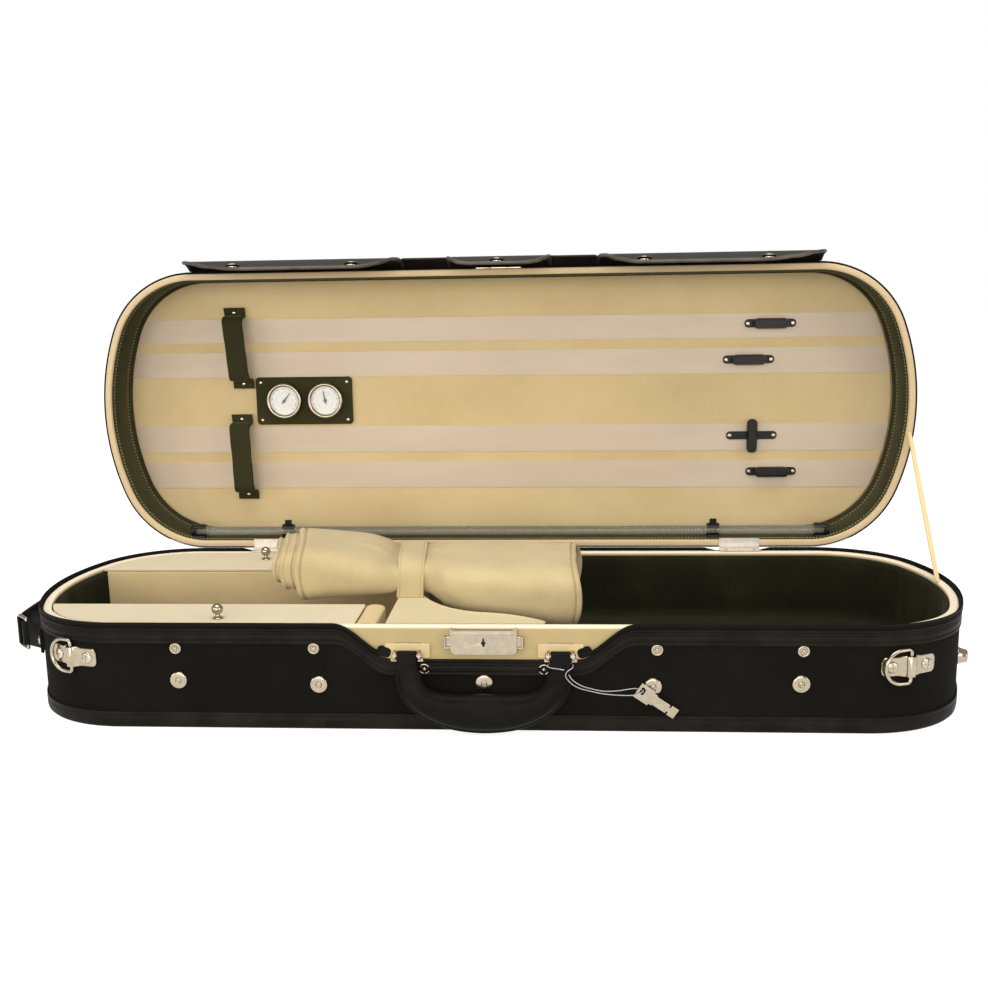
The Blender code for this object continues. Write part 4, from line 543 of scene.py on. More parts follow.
def refined(node, name, look, width=0.0004, segments=2, angle=35):
    """A copy of a solid with its edges rounded, which then stands for it."""
    bm = bmesh.new()
    bm.from_mesh(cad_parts[node].data)
    bmesh.ops.remove_doubles(bm, verts=bm.verts, dist=0.00001)
    bmesh.ops.dissolve_limit(bm, angle_limit=math.radians(0.8), verts=bm.verts, edges=bm.edges)
    made = from_bmesh(name, bm, look, angle)
    soft = made.modifiers.new("rounded edges", "BEVEL")
    soft.width = width
    soft.segments = segments
    soft.limit_method = "ANGLE"
    soft.angle_limit = math.radians(angle)
    soft.harden_normals = True
    return applied(made)


def applied(made):
    """The object with its modifiers worked into its mesh."""
    graph = bpy.context.evaluated_depsgraph_get()
    result = bpy.data.meshes.new_from_object(made.evaluated_get(graph))
    made.modifiers.clear()
    made.data = result
    return made


def merged(node, name, look):
    bm = bmesh.new()
    bm.from_mesh(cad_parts[node].data)
    bmesh.ops.remove_doubles(bm, verts=bm.verts, dist=0.00001)
    bmesh.ops.dissolve_limit(bm, angle_limit=math.radians(0.8), verts=bm.verts, edges=bm.edges)
    return from_bmesh(name, bm, look)


def prism(name, outline, y0, y1, look):
    """A flat shape given in X and Z, between two depths."""
    return rows_mesh(name, [[(x, y, z) for x, z in outline] for y in (y0, y1)], look)


def carve(made, cutter):
    step = made.modifiers.new("cut", "BOOLEAN")
    step.operation, step.solver, step.object = "DIFFERENCE", "EXACT", cutter
    applied(made)
    bpy.data.objects.remove(cutter, do_unlink=True)
    return made


def softened(made, width, segments=2, angle=35):
    soft = made.modifiers.new("rounded edges", "BEVEL")
    soft.width, soft.segments = width, segments
    soft.limit_method, soft.angle_limit = "ANGLE", math.radians(angle)
    soft.harden_normals = True
    return applied(made)


def stand_for(made, body, slot, *nodes):
    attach(made, body)
    if nodes:
        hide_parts(*nodes)
    return made


OPENED = Matrix.Translation((0, HINGE_Y, HINGE_Z)) @ Matrix.Rotation(-math.pi / 2, 4, "X") @ Matrix.Translation((0, -HINGE_Y, -HINGE_Z))


def in_lid(made, slot, *nodes, body="lid"):
    """Stands a piece up with the lid: it was drawn as it lies in the shut case."""
    made.data.transform(OPENED)
    return stand_for(made, body, slot, *nodes)


def section_tube(name, path, section, look, up=(0, 0, 1), closed=False, smooth=60):
    """A section of (side, up) points swept along a path."""
    path = [Vector(p) for p in path]
    rows = []
    for i, point in enumerate(path):
        before = path[i - 1] if i or closed else point
        after = path[(i + 1) % len(path)] if i + 1 < len(path) or closed else point
        ahead = (after - before).normalized()
        side = ahead.cross(Vector(up)).normalized()
        top = side.cross(ahead)
        shape = section(i) if callable(section) else section
        rows.append([point + side * u + top * v for u, v in shape])
    return rows_mesh(name, rows, look, closed_rows=closed, smooth=smooth)


def circle(radius, count, squash=1.0):
    return [(radius * math.cos(math.tau * i / count), radius * squash * math.sin(math.tau * i / count)) for i in range(count)]


def turned(name, profile, look, count=40, smooth=50):
    """A turned piece about Z at the origin, its profile listing (radius, height)."""
    rows = [[(r * math.cos(math.tau * i / count), r * math.sin(math.tau * i / count), z) for i in range(count)] for r, z in profile]
    return rows_mesh(name, rows, look, smooth=smooth)


def joined(name, parts):
    """One object from several, each keeping its material."""
    bm = bmesh.new()
    looks = []
    for part in parts:
        part.data.transform(part.matrix_world)
        offset = len(bm.faces)
        bm.from_mesh(part.data)
        bm.faces.ensure_lookup_table()
        slots = [m for m in part.data.materials]
        for look in slots:
            if look not in looks:
                looks.append(look)
        for face in bm.faces[offset:]:
            face.material_index = looks.index(slots[face.material_index])
    mesh = bpy.data.meshes.new(name)
    bm.to_mesh(mesh)
    bm.free()
    for look in looks:
        mesh.materials.append(look)
    for part in parts:
        bpy.data.objects.remove(part, do_unlink=True)
    made = bpy.data.objects.new(name, mesh)
    bpy.context.scene.collection.objects.link(made)
    return made


# %% [markdown]
# ## The outline
# Seen from above the case is straight at front and back, round at its corners and a
# little rounder at its ends. Every band follows this line at its own distance inwards,
# so one function gives the places round it, with the direction that points inwards.

# %% Places round the outline
DIP_INNER, DIP_OUTER, DIP_DEPTH = 0.076, 0.124, 0.0260
ZIP_END = 0.086
ACROSS = HALF - CORNER_RADIUS
END_X = LENGTH / 2 - END_RADIUS
CORNER_X = END_X + math.sqrt((END_RADIUS - CORNER_RADIUS) ** 2 - ACROSS**2)


def stations():
    turn = math.atan2(ACROSS, CORNER_X - END_X)
    front = [DIP_INNER * i / 8 for i in range(8)]
    front += [DIP_INNER + (DIP_OUTER - DIP_INNER) * i / 16 for i in range(16)]
    front += [DIP_OUTER + (CORNER_X - DIP_OUTER) * i / 14 for i in range(14)]
    right = [(x, -HALF, 0.0, 1.0, True) for x in front]
    for i in range(31):
        a = -math.pi / 2 + (math.pi / 2 - turn) * i / 30
        right.append((CORNER_X + CORNER_RADIUS * math.cos(a), -ACROSS + CORNER_RADIUS * math.sin(a), -math.cos(a), -math.sin(a), i == 0))
    for i in range(1, 15):
        a = -turn + turn * i / 14
        right.append((END_X + END_RADIUS * math.cos(a), END_RADIUS * math.sin(a), -math.cos(a), -math.sin(a), False))
    back = [(x, -y, nx, -ny, False) for x, y, nx, ny, _ in reversed(right[:-1])]
    half = right + back
    left = [(-x, y, -nx, ny, straight) for x, y, nx, ny, straight in reversed(half[1:-1])]
    return half + left


PLACES = stations()


def at(place, inset):
    return place[0] + place[2] * inset, place[1] + place[3] * inset


def dip(place):
    """How far the dip in the front has come down at a place, from 0 to 1."""
    x = abs(place[0])
    if not place[4] or x >= DIP_OUTER:
        return 0.0
    share = max(0.0, (x - DIP_INNER) / (DIP_OUTER - DIP_INNER))
    return 0.5 * (1 + math.cos(math.pi * share))


def zipped():
    """The places of the zipper, from one side of the dip round the back to the other."""
    ends = [(side * ZIP_END, -HALF, 0.0, 1.0, True) for side in (1, -1)]
    return [ends[0]] + [p for p in PLACES if not (p[4] and abs(p[0]) < ZIP_END + 0.0005)] + [ends[1]]


def band(name, look, profile, places=None, smooth=38):
    """A closed section round the case: profile gives (inset, height) corners at a place."""
    rows = [[(*at(place, inset), z) for inset, z in profile(place)] for place in places or PLACES]
    return rows_mesh(name, rows, look, closed_rows=places is None, smooth=smooth)


def rounded_corners(corners, radius, steps=3):
    """A section whose corners are rounded; radius may be one number or one each."""
    count = len(corners)
    points = []
    for i, corner in enumerate(corners):
        r = radius[i] if isinstance(radius, (list, tuple)) else radius
        here = Vector(corner)
        if r <= 0:
            points.append(tuple(here))
            continue
        before = Vector(corners[i - 1]) - here
        after = Vector(corners[(i + 1) % count]) - here
        reach = min(r, before.length * 0.45, after.length * 0.45)
        start = here + before.normalized() * reach
        end = here + after.normalized() * reach
        for k in range(steps + 1):
            t = k / steps
            points.append(tuple((1 - t) ** 2 * start + 2 * t * (1 - t) * here + t * t * end))
    return points


print("outline has", len(PLACES), "places")

# %% [markdown]
# ## Rows of small things
# Stitches, zipper teeth and pins repeat hundreds of times, so Geometry Nodes set them
# out. One tree walks a line at an even spacing and puts a small bead on it, turned to
# face outwards. The other puts a finished piece, such as a screw, at each place given.

# %% Trees for rows and for set out pieces
def new_tree(name, sockets):
    tree = bpy.data.node_groups.new(name, "GeometryNodeTree")
    face = tree.interface
    face.new_socket("Geometry", in_out="INPUT", socket_type="NodeSocketGeometry")
    for label, kind, start in sockets:
        made = face.new_socket(label, in_out="INPUT", socket_type="NodeSocket" + kind)
        if start is not None:
            made.default_value = start
    face.new_socket("Geometry", in_out="OUTPUT", socket_type="NodeSocketGeometry")
    return tree, tree.nodes.new("NodeGroupInput"), tree.nodes.new("NodeGroupOutput")


def plug(tree, kind, inputs, prefix="GeometryNode", **settings):
    made = tree.nodes.new(prefix + kind)
    for key, value in settings.items():
        setattr(made, key, value)
    for key, value in inputs.items():
        if isinstance(value, bpy.types.NodeSocket):
            tree.links.new(value, made.inputs[key])
        else:
            made.inputs[key].default_value = value
    return made


def facing(tree, ahead):
    """A rotation whose Z looks along the line's out attribute and whose X looks ahead."""
    out = plug(tree, "InputNamedAttribute", {"Name": "out"}, data_type="FLOAT_VECTOR")
    up = plug(tree, "AlignRotationToVector", {"Vector": out.outputs[0]}, "FunctionNode", axis="Z")
    both = plug(tree, "AlignRotationToVector", {"Rotation": up.outputs[0], "Vector": ahead}, "FunctionNode", axis="X", pivot_axis="Z")
    return both.outputs[0]


def finish_tree(tree, start, end, points, bead, rotation, scale):
    sizes = {"Points": points, "Instance": bead, "Rotation": rotation}
    if scale is not None:
        sizes["Scale"] = scale
    placed = plug(tree, "InstanceOnPoints", sizes)
    real = plug(tree, "RealizeInstances", {"Geometry": placed.outputs[0]})
    painted = plug(tree, "SetMaterial", {"Geometry": real.outputs[0], "Material": start.outputs["Material"]})
    tree.links.new(painted.outputs[0], end.inputs[0])


def make_row_tree():
    sockets = [("Spacing", "Float", 0.003), ("Size", "Vector", None), ("Unevenness", "Float", 0.0), ("Material", "Material", None)]
    tree, start, end = new_tree("row_along_a_line", sockets)
    line = plug(tree, "MeshToCurve", {"Mesh": start.outputs[0]})
    even = plug(tree, "ResampleCurve", {"Curve": line.outputs[0], "Length": start.outputs["Spacing"]}, mode="LENGTH")
    ahead = plug(tree, "InputTangent", {})
    bead = plug(tree, "MeshUVSphere", {"Segments": 8, "Rings": 5, "Radius": 0.5})
    less = plug(tree, "Math", {0: 1.0, 1: start.outputs["Unevenness"]}, "ShaderNode", operation="SUBTRACT")
    vary = plug(tree, "RandomValue", {2: less.outputs[0], 3: 1.0, "Seed": 7}, "FunctionNode", data_type="FLOAT")
    size = plug(tree, "VectorMath", {0: start.outputs["Size"], "Scale": vary.outputs[1]}, "ShaderNode", operation="SCALE")
    finish_tree(tree, start, end, even.outputs[0], bead.outputs[0], facing(tree, ahead.outputs[0]), size.outputs[0])
    return tree


def make_set_tree():
    tree, start, end = new_tree("pieces_at_places", [("Piece", "Object", None), ("Material", "Material", None)])
    ahead = plug(tree, "InputNamedAttribute", {"Name": "ahead"}, data_type="FLOAT_VECTOR")
    made = plug(tree, "ObjectInfo", {"Object": start.outputs["Piece"]})
    finish_tree(tree, start, end, start.outputs[0], made.outputs["Geometry"], facing(tree, ahead.outputs[0]), None)
    return tree


ROW_TREE, SET_TREE = make_row_tree(), make_set_tree()


def through_tree(name, tree, values, points, edges, vectors, smooth=60):
    """A plain mesh from a tree, run on bare points with their own directions."""
    mesh = bpy.data.meshes.new(name)
    mesh.from_pydata([tuple(p) for p in points], edges, [])
    for label, given in vectors.items():
        flat = [c for v in given for c in v]
        mesh.attributes.new(label, "FLOAT_VECTOR", "POINT").data.foreach_set("vector", flat)
    line = bpy.data.objects.new(name + "_line", mesh)
    bpy.context.scene.collection.objects.link(line)
    step = line.modifiers.new("nodes", "NODES")
    step.node_group = tree
    names = {s.name: s.identifier for s in tree.interface.items_tree if s.in_out == "INPUT"}
    for label, value in values.items():
        step[names[label]] = value
    line.update_tag()
    graph = bpy.context.evaluated_depsgraph_get()
    result = bpy.data.meshes.new_from_object(line.evaluated_get(graph))
    bpy.data.objects.remove(line, do_unlink=True)
    for label in ("out", "ahead"):
        if label in result.attributes:
            result.attributes.remove(result.attributes[label])
    result.shade_smooth()
    result.set_sharp_from_angle(angle=math.radians(smooth))
    made = bpy.data.objects.new(name, result)
    bpy.context.scene.collection.objects.link(made)
    return made


def row(name, points, outs, look, spacing, size, closed=False, uneven=0.15, left_out=None):
    edges = [(i, i + 1) for i in range(len(points) - 1)]
    if left_out:
        edges = [(i, j) for i, j in edges if not left_out(points[i]) and not left_out(points[j])]
    if closed:
        edges.append((len(points) - 1, 0))
    values = {"Spacing": spacing, "Size": size, "Unevenness": uneven, "Material": look}
    return through_tree(name, ROW_TREE, values, points, edges, {"out": outs})


def set_out(name, source, look, places, smooth=50):
    """Copies of a piece at places, each a point with its outward and its ahead direction."""
    points = [p for p, _, _ in places]
    vectors = {"out": [o for _, o, _ in places], "ahead": [a for _, _, a in places]}
    made = through_tree(name, SET_TREE, {"Piece": source, "Material": look}, points, [], vectors, smooth)
    bpy.data.objects.remove(source, do_unlink=True)
    return made


def round_line(inset, height, places=None):
    """A line round the case with its outward directions."""
    picked = places or PLACES
    points = [(*at(p, inset), height(p) if callable(height) else height) for p in picked]
    return points, [(-p[2], -p[3], 0) for p in picked]


def dome(name, radius, height, look, slot_width=0.0):
    """A round head that rises from the surface, with a cross slot pressed in it."""
    profile = [(radius * 0.98, -0.0004), (radius, 0.0), (radius * 0.97, height * 0.35), (radius * 0.82, height * 0.72), (radius * 0.5, height * 0.95), (0.00002, height)]
    made = turned(name, profile, look, 20)
    if slot_width:
        cutters = []
        for turn in (0, math.pi / 2):
            bm = bmesh.new()
            bmesh.ops.create_cube(bm, size=1.0)
            bmesh.ops.scale(bm, vec=(radius * 1.25, slot_width, height), verts=bm.verts)
            bmesh.ops.rotate(bm, matrix=Matrix.Rotation(turn, 3, "Z"), verts=bm.verts)
            bmesh.ops.translate(bm, vec=(0, 0, height * 1.05), verts=bm.verts)
            cutters.append(from_bmesh(name + "_cutter", bm, look))
        for cutter in cutters:
            cutter.hide_render = True
            cutter.display_type = "WIRE"
            step = made.modifiers.new("slot", "BOOLEAN")
            step.operation = "DIFFERENCE"
            step.solver = "EXACT"
            step.object = cutter
            applied(made)
            bpy.data.objects.remove(cutter, do_unlink=True)
    return made



# %% [markdown]
# ## The covers of the base
# The shell of the real case is moulded fibreglass, and none of it shows: woven cloth
# covers its side, a leather binding is sewn along the zipper with two rows of stitches,
# and the bottom is leather turned up round the edge. In front, the cloth and its binding
# dip down to leave room for the lock and the handle.

# %% Side cloth, bindings and zipper tape
def seam_top(place):
    return BASE_HEIGHT - 0.0050 - dip(place) * DIP_DEPTH


def make_side():
    cloth = band("side_cloth", WEAVE, lambda p: [(0.0034, 0.0018), (0.0034, seam_top(p)), (0.0020, seam_top(p)), (0.0020, 0.0018)])
    stand_for(cloth, "base", "woven_cover", "base_side_cover")

    def binding(place):
        top = seam_top(place)
        step = top - 0.0136
        return [
            (0.0026, step), (0.0015, step), (0.0010, step + 0.0004), (0.0007, step + 0.0014),
            (0.0008, top - 0.0115), (0.0014, top - 0.0105), (0.0008, top - 0.0095), (0.0008, top - 0.0060),
            (0.0014, top - 0.0050), (0.0008, top - 0.0040), (0.0010, top - 0.0034), (0.0014, top - 0.0026), (0.0008, top - 0.0020),
            (0.0004, top - 0.0012), (0.0006, top - 0.0004), (0.0013, top), (0.0026, top),
        ]

    stand_for(band("top_binding", BINDING, binding, smooth=60), "base", "black_leather")
    for index, drop in enumerate((0.0050, 0.0105)):
        points, outs = round_line(0.0011, lambda p: seam_top(p) - drop)
        stitches = row("binding_stitches_" + str(index + 1), points, outs, THREAD_BLACK, 0.0034, (0.0023, 0.0007, 0.0005), True)
        stand_for(stitches, "base", "black_leather")


def make_bottom():
    out = 0.0006
    corners = [(0.0017, 0.0015), (0.0017, 0.0138), (0.0012, 0.0141), (out + 0.0001, 0.0138), (out, 0.0128)]
    corners += [(out + 0.0002, 0.0115), (out + 0.0003, 0.0108), (out, 0.0100), (out, 0.0034), (out + 0.0004, 0.0016), (out + 0.0016, 0.0004), (out + 0.0034, 0.0)]
    rows = [[(*at(p, inset), z) for inset, z in corners] for p in PLACES]
    edge = rows_mesh("bottom_leather", rows, BINDING, closed_row=False, closed_rows=True, smooth=60)
    bm = bmesh.new()
    bm.from_mesh(edge.data)
    uv = bm.loops.layers.uv["size"]
    for inset, z in (corners[0], corners[-1]):
        ring = [v for v in bm.verts if abs(v.co.z - z) < 1e-7]
        ring.sort(key=lambda v: math.atan2(v.co.y, v.co.x))
        for loop in bm.faces.new(ring).loops:
            loop[uv].uv = loop.vert.co.xy
    bmesh.ops.recalc_face_normals(bm, faces=bm.faces)
    bm.to_mesh(edge.data)
    bm.free()
    stand_for(edge, "base", "black_leather", "base_bottom_cover")
    points, outs = round_line(0.0006, 0.0090)
    stitches = row("bottom_stitches", points, outs, THREAD_BLACK, 0.0036, (0.0025, 0.0007, 0.0005), True)
    stand_for(stitches, "base", "black_leather")


def under_hinge(place):
    """True where a hinge leaf crosses the zipper behind the case."""
    return place[1] > 0 and abs(abs(place[0]) - 0.240) < 0.0260


def make_base_zipper():
    def low(place):
        return BASE_HEIGHT - 0.0047 - dip(place) * DIP_DEPTH

    def tape(place):
        z = low(place)
        tall = 0.3 if under_hinge(place) else 1.0
        return [(0.0034, z), (0.0034, z + 0.0028 * tall), (0.0022, z + 0.0036 * tall), (0.0017, z + 0.0044 * tall), (0.0010, z + 0.0044 * tall),
                (0.0007, z + 0.0026 * tall), (0.0005, z + 0.0010 * tall), (0.0008, z)]

    stand_for(band("base_zipper_tape", TAPE, tape, zipped(), 60), "base", "woven_cover", "base_zipper")
    points, outs = round_line(0.0009, lambda p: low(p) + 0.0033, zipped())
    teeth = row("base_zipper_teeth", points, outs, BLACK_PLASTIC, 0.00125, (0.0007, 0.0026, 0.0012), uneven=0.0, left_out=under_hinge)
    stand_for(teeth, "base", "woven_cover")
    points, outs = round_line(0.0003, lambda p: low(p) + 0.0012, zipped())
    seam = row("base_zipper_seam", points, outs, THREAD_BLACK, 0.0026, (0.0019, 0.0005, 0.0004))
    stand_for(seam, "base", "woven_cover")


make_side()
make_bottom()
make_base_zipper()

# %% [markdown]
# ## The rim and the velvet well
# A velour covered rim closes the base. It shows as a pale band inside the zipper, painted
# paler on its top as light from above, and as a plain apron in the dip, behind the lock.
# The well inside is lined with dark green velvet over foam, painted darker as its shade:
# the wall bulges softly between upright quilting lines, and rounds into the floor.

# %% Rim
def make_rim():
    top, under = RIM_TOP, RIM_TOP - 0.004
    outside, inside, skirt = 0.0037, 0.0110, 0.0050
    corners = [(outside, 0.045), (outside, top), (inside, top), (inside, under), (skirt, under), (skirt, 0.045)]
    section = rounded_corners(corners, (0, 0.0022, 0.0022, 0.0012, 0, 0), 4)
    stand_for(band("velour_rim", RIM_CLOTH, lambda p: section, smooth=60), "base", "beige_rim", "base_rim")


make_rim()


# %% Velvet lining
LINING_OUT, WELL_IN, WELL_FLOOR = 0.0088, 0.0150, 0.026
LINING_TOP = 0.0847


def make_lining():
    walked = 0.0
    rows = []
    for i, place in enumerate(PLACES):
        if i:
            walked += math.dist(place[:2], PLACES[i - 1][:2])
        quilt = abs(math.sin(math.pi * walked / 0.118)) ** 0.4
        puff = 0.0024 * quilt
        x, y = place[:2]
        puff += 0.0016 * noise.noise(Vector((x * 26, y * 26, 0.5))) + 0.0008 * noise.noise(Vector((x * 70, y * 70, 2.5)))
        inner = WELL_IN - 0.0010 + puff
        floor = WELL_FLOOR
        row_points = [(LINING_OUT + 0.002, floor - 0.005), (LINING_OUT, floor), (LINING_OUT, LINING_TOP), (LINING_OUT + 0.002, LINING_TOP + 0.0001)]
        row_points += [(inner - 0.0012, LINING_TOP - 0.0004), (inner - 0.0002, LINING_TOP - 0.004), (inner, LINING_TOP - 0.018)]
        row_points += [(inner, floor + 0.024), (inner + 0.0006, floor + 0.012)]
        for k in range(6):
            a = math.pi / 2 * k / 5
            row_points.append((inner + 0.0075 - 0.0068 * math.cos(a), floor + 0.0072 - 0.0072 * math.sin(a)))
        row_points.append((inner + 0.020, floor))
        rows.append([(*at(place, inset), z) for inset, z in row_points])
    # The lining takes the darker copy of the velvet: painted shade in the well.
    lining = rows_mesh("velvet_lining", rows, WELL_VELVET_PAINTED_SHADE, closed_row=False, closed_rows=True, smooth=70)
    bm = bmesh.new()
    bm.from_mesh(lining.data)
    uv = bm.loops.layers.uv["size"]
    count = len(rows[0])
    bm.verts.ensure_lookup_table()
    for column in (0, count - 1):
        ring = [bm.verts[i * count + column] for i in range(len(rows))]
        for loop in bm.faces.new(ring).loops:
            loop[uv].uv = loop.vert.co.xy
    bmesh.ops.recalc_face_normals(bm, faces=bm.faces)
    bm.to_mesh(lining.data)
    bm.free()
    lining.data.shade_smooth()
    lining.data.set_sharp_from_angle(angle=math.radians(70))
    stand_for(lining, "base", "green_velvet", "well_lining")


make_lining()
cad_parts["base_shell"].data.materials.clear()
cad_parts["base_shell"].data.materials.append(MOULDING)

# %% [markdown]
# ## Compartments and neck rest
# Left of the neck rest two compartments run along the front and the back, covered in
# velour over thin wood. Cloth turned over an edge is never sharp, so the solids are
# copied, their facets merged and their edges rounded. Each lid has a nickel knob.

# %% Compartments
def make_boxes():
    for node, name, look, body, width in (
        # The compartment lids take the paler copy of the velour: painted light on their tops.
        ("front_box", "front_compartment", VELOUR, "base", 0.0009), ("rear_box", "rear_compartment", VELOUR, "base", 0.0009),
        ("front_box_lid", "front_compartment_lid", TOP_LIT_VELOUR, "front_lid", 0.0008),
        ("rear_box_lid", "rear_compartment_lid", TOP_LIT_VELOUR, "rear_lid", 0.0008),
    ):
        stand_for(refined(node, name, look, width, 3, 30), body, "tan_velour", node)
    for node, body in (("front_knob", "front_lid"), ("rear_knob", "rear_lid")):
        low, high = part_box(node)
        x, y, z = (low.x + high.x) / 2, (low.y + high.y) / 2, low.z
        profile = [(0.0, 0), (0.0042, 0), (0.0044, 0.0005), (0.0040, 0.0010), (0.0026, 0.0016), (0.0020, 0.0024), (0.0019, 0.0044)]
        profile += [(0.0024, 0.0049), (0.0022, 0.0052)]
        ball = high.z - low.z - 0.0049
        for i in range(1, 12):
            a = -math.radians(58) + math.radians(146) * i / 12
            profile.append((0.0049 * math.cos(a), ball + 0.0049 * math.sin(a)))
        knob = turned(node + "_turned", [(max(r, 0.00002), h) for r, h in profile] + [(0.00002, ball + 0.0049)], NICKEL)
        knob.data.transform(Matrix.Translation((x, y, z)))
        stand_for(knob, body, "nickel", node)


make_boxes()


# %% Neck rest
REST_EDGE = ((-0.0670, 0.0), (-0.0655, 0.0150), (-0.0620, 0.0310), (-0.0555, 0.0480), (-0.0440, 0.0660), (-0.0290, 0.0810),
             (-0.0110, 0.0905), (0.0080, 0.0950), (0.0240, 0.1010), (0.0390, 0.1105), (0.0480, 0.1180), (0.0502, 0.1230), (0.0480, 0.1267))
REST_LOW, REST_HIGH, REST_SIDE = 0.0263, 0.0880, -0.0820
CHANNEL_HALF, CHANNEL_FLOOR = 0.0280, 0.0500


def make_neck_rest():
    """The rest in plan: straight towards the boxes, two long horns along the walls."""
    smooth = smooth_route([(x, y, 0) for x, y in REST_EDGE], 0.003)
    curve = [(p.x, p.y) for p in smooth]
    outline = [(REST_SIDE, 0.1267), (REST_SIDE, -0.1267)] + [(x, -y) for x, y in reversed(curve[1:])] + curve
    made = rows_mesh("padded_neck_rest", [[(x, y, z) for x, y in outline] for z in (REST_LOW, REST_HIGH)], REST_CLOTH)
    turns = [math.pi * i / 24 for i in range(25)]
    u = [(CHANNEL_HALF * math.cos(a), CHANNEL_FLOOR + CHANNEL_HALF * (1 - math.sin(a))) for a in turns]
    u += [(-CHANNEL_HALF, REST_HIGH + 0.004), (CHANNEL_HALF, REST_HIGH + 0.004)]
    carve(made, rows_mesh("channel", [[(x, y, z) for y, z in u] for x in (REST_SIDE - 0.01, -0.03)], REST_CLOTH))
    stand_for(softened(made, 0.0030, 4, 50), "base", "cream_blanket", "neck_rest")
    for name, side in (("front", -1), ("rear", 1)):
        line = [(x - 0.0040 * (0.6 if x > 0.03 else 0.2), side * (y + 0.0042), REST_HIGH) for x, y in curve if -0.040 < x and y < 0.1185]
        welt = section_tube("rest_welt_" + name, line, circle(0.0008, 8), REST_CLOTH, smooth=80)
        stand_for(welt, "base", "cream_blanket")


make_neck_rest()

# %% [markdown]
# ## Lock
# The lock sits on the apron in the dip. Its front is one plate with a keyhole and round
# lower corners. A slide with a thumb loop at each side moves behind it, and the barrel
# that the key turns shows in the keyhole, coloured near black as painted shade of the hole.

# %% Lock
FRONT = -HALF + 0.0034
LOCK_TOP, LOCK_EDGE, LOCK_FRONT = 0.0864, 0.0272, FRONT - 0.0044
LOCK_NARROWER, LOCK_SHORTER = 0.892, 0.93


def make_lock():
    plate = merged("lock_plate", "lock_front", NICKEL)
    for vertex in plate.data.vertices:
        vertex.co.x *= LOCK_NARROWER
        vertex.co.z = LOCK_TOP - (LOCK_TOP - vertex.co.z) * LOCK_SHORTER
    z = 0.0758
    hole = [(0.00075, 0.0040), (0.00075, 0.0019), (0.0019, 0.0003), (0.0019, -0.0005), (0.00075, -0.0019), (0.00075, -0.0040)]
    hole = hole + [(-x, v) for x, v in reversed(hole)]
    carve(plate, prism("keyhole", [(x, z + v) for x, v in hole], LOCK_FRONT - 0.001, LOCK_FRONT + 0.0009, NICKEL))
    posts = []
    for side in (-1, 1):
        x0, x1 = sorted((side * (LOCK_EDGE - 0.0046), side * (LOCK_EDGE + 0.0010)))
        opening = [(x0, 0.0698), (x1, 0.0698), (x1, 0.0816), (x0, 0.0816)]
        carve(plate, prism("side_opening", opening, LOCK_FRONT + 0.0008, LOCK_FRONT + 0.0031, NICKEL))
        x = side * (LOCK_EDGE - 0.0009)
        outline = rounded_corners([(x - 0.0008, LOCK_TOP - 0.0006), (x + 0.0008, LOCK_TOP - 0.0006), (x + 0.0008, LOCK_TOP + 0.0016), (x - 0.0008, LOCK_TOP + 0.0016)], 0.0006)
        posts.append(prism("post", outline, LOCK_FRONT + 0.0004, FRONT - 0.0002, NICKEL))
    reach = LOCK_EDGE - 0.0016
    lip = rounded_corners([(-reach, LOCK_TOP - 0.0022), (reach, LOCK_TOP - 0.0022), (reach, LOCK_TOP - 0.0016), (-reach, LOCK_TOP - 0.0016)], 0.0002)
    posts.append(prism("lip", lip, LOCK_FRONT - 0.0004, LOCK_FRONT + 0.0004, OLD_NICKEL))
    softened(plate, 0.0004, 2)
    stand_for(joined("lock_front_plate", [plate] + posts), "base", "nickel", "lock_plate")
    bar = refined("lock_slide", "slide_bar", NICKEL, 0.0004, 2)
    for vertex in bar.data.vertices:
        vertex.co.x *= LOCK_NARROWER
    loops = [bar]
    for side in (-1, 1):
        x0, x1 = side * (LOCK_EDGE + 0.0006), side * (LOCK_EDGE + 0.0046)
        route = [(x0, 0.0712), (x1 - side * 0.0008, 0.0712), (x1, 0.0720), (x1, 0.0794), (x1 - side * 0.0008, 0.0802), (x0, 0.0802)]
        path = [(x, LOCK_FRONT + 0.0019, v) for x, v in route]
        loops.append(section_tube("thumb", path, circle(0.0009, 8), NICKEL, up=(0, -1, 0)))
    stand_for(joined("lock_slide_bar", loops), "lock_bar", "nickel", "lock_slide")
    # The barrel is coloured near black: painted shade inside the keyhole.
    stand_for(refined("lock_barrel", "key_barrel", BARREL_PAINTED_SHADE, 0.0002, 2), "barrel", "nickel", "lock_barrel")


make_lock()

# %% [markdown]
# ## Carry handle
# The handle is stuffed leather, flat at its legs and wide in the middle. Two layers are
# sewn together along its outer edge, which leaves a thin raised welt with stitches. Its
# ends are straps folded over the pins of two nickel brackets, on pads of velour.

# %% Brackets and pads
PIN = (-0.1450, 0.0655)
SPOT = 0.0625


def ring_shape(radius, count, start=0.0):
    return [(radius * math.cos(start + math.tau * i / count), radius * math.sin(start + math.tau * i / count)) for i in range(count)]


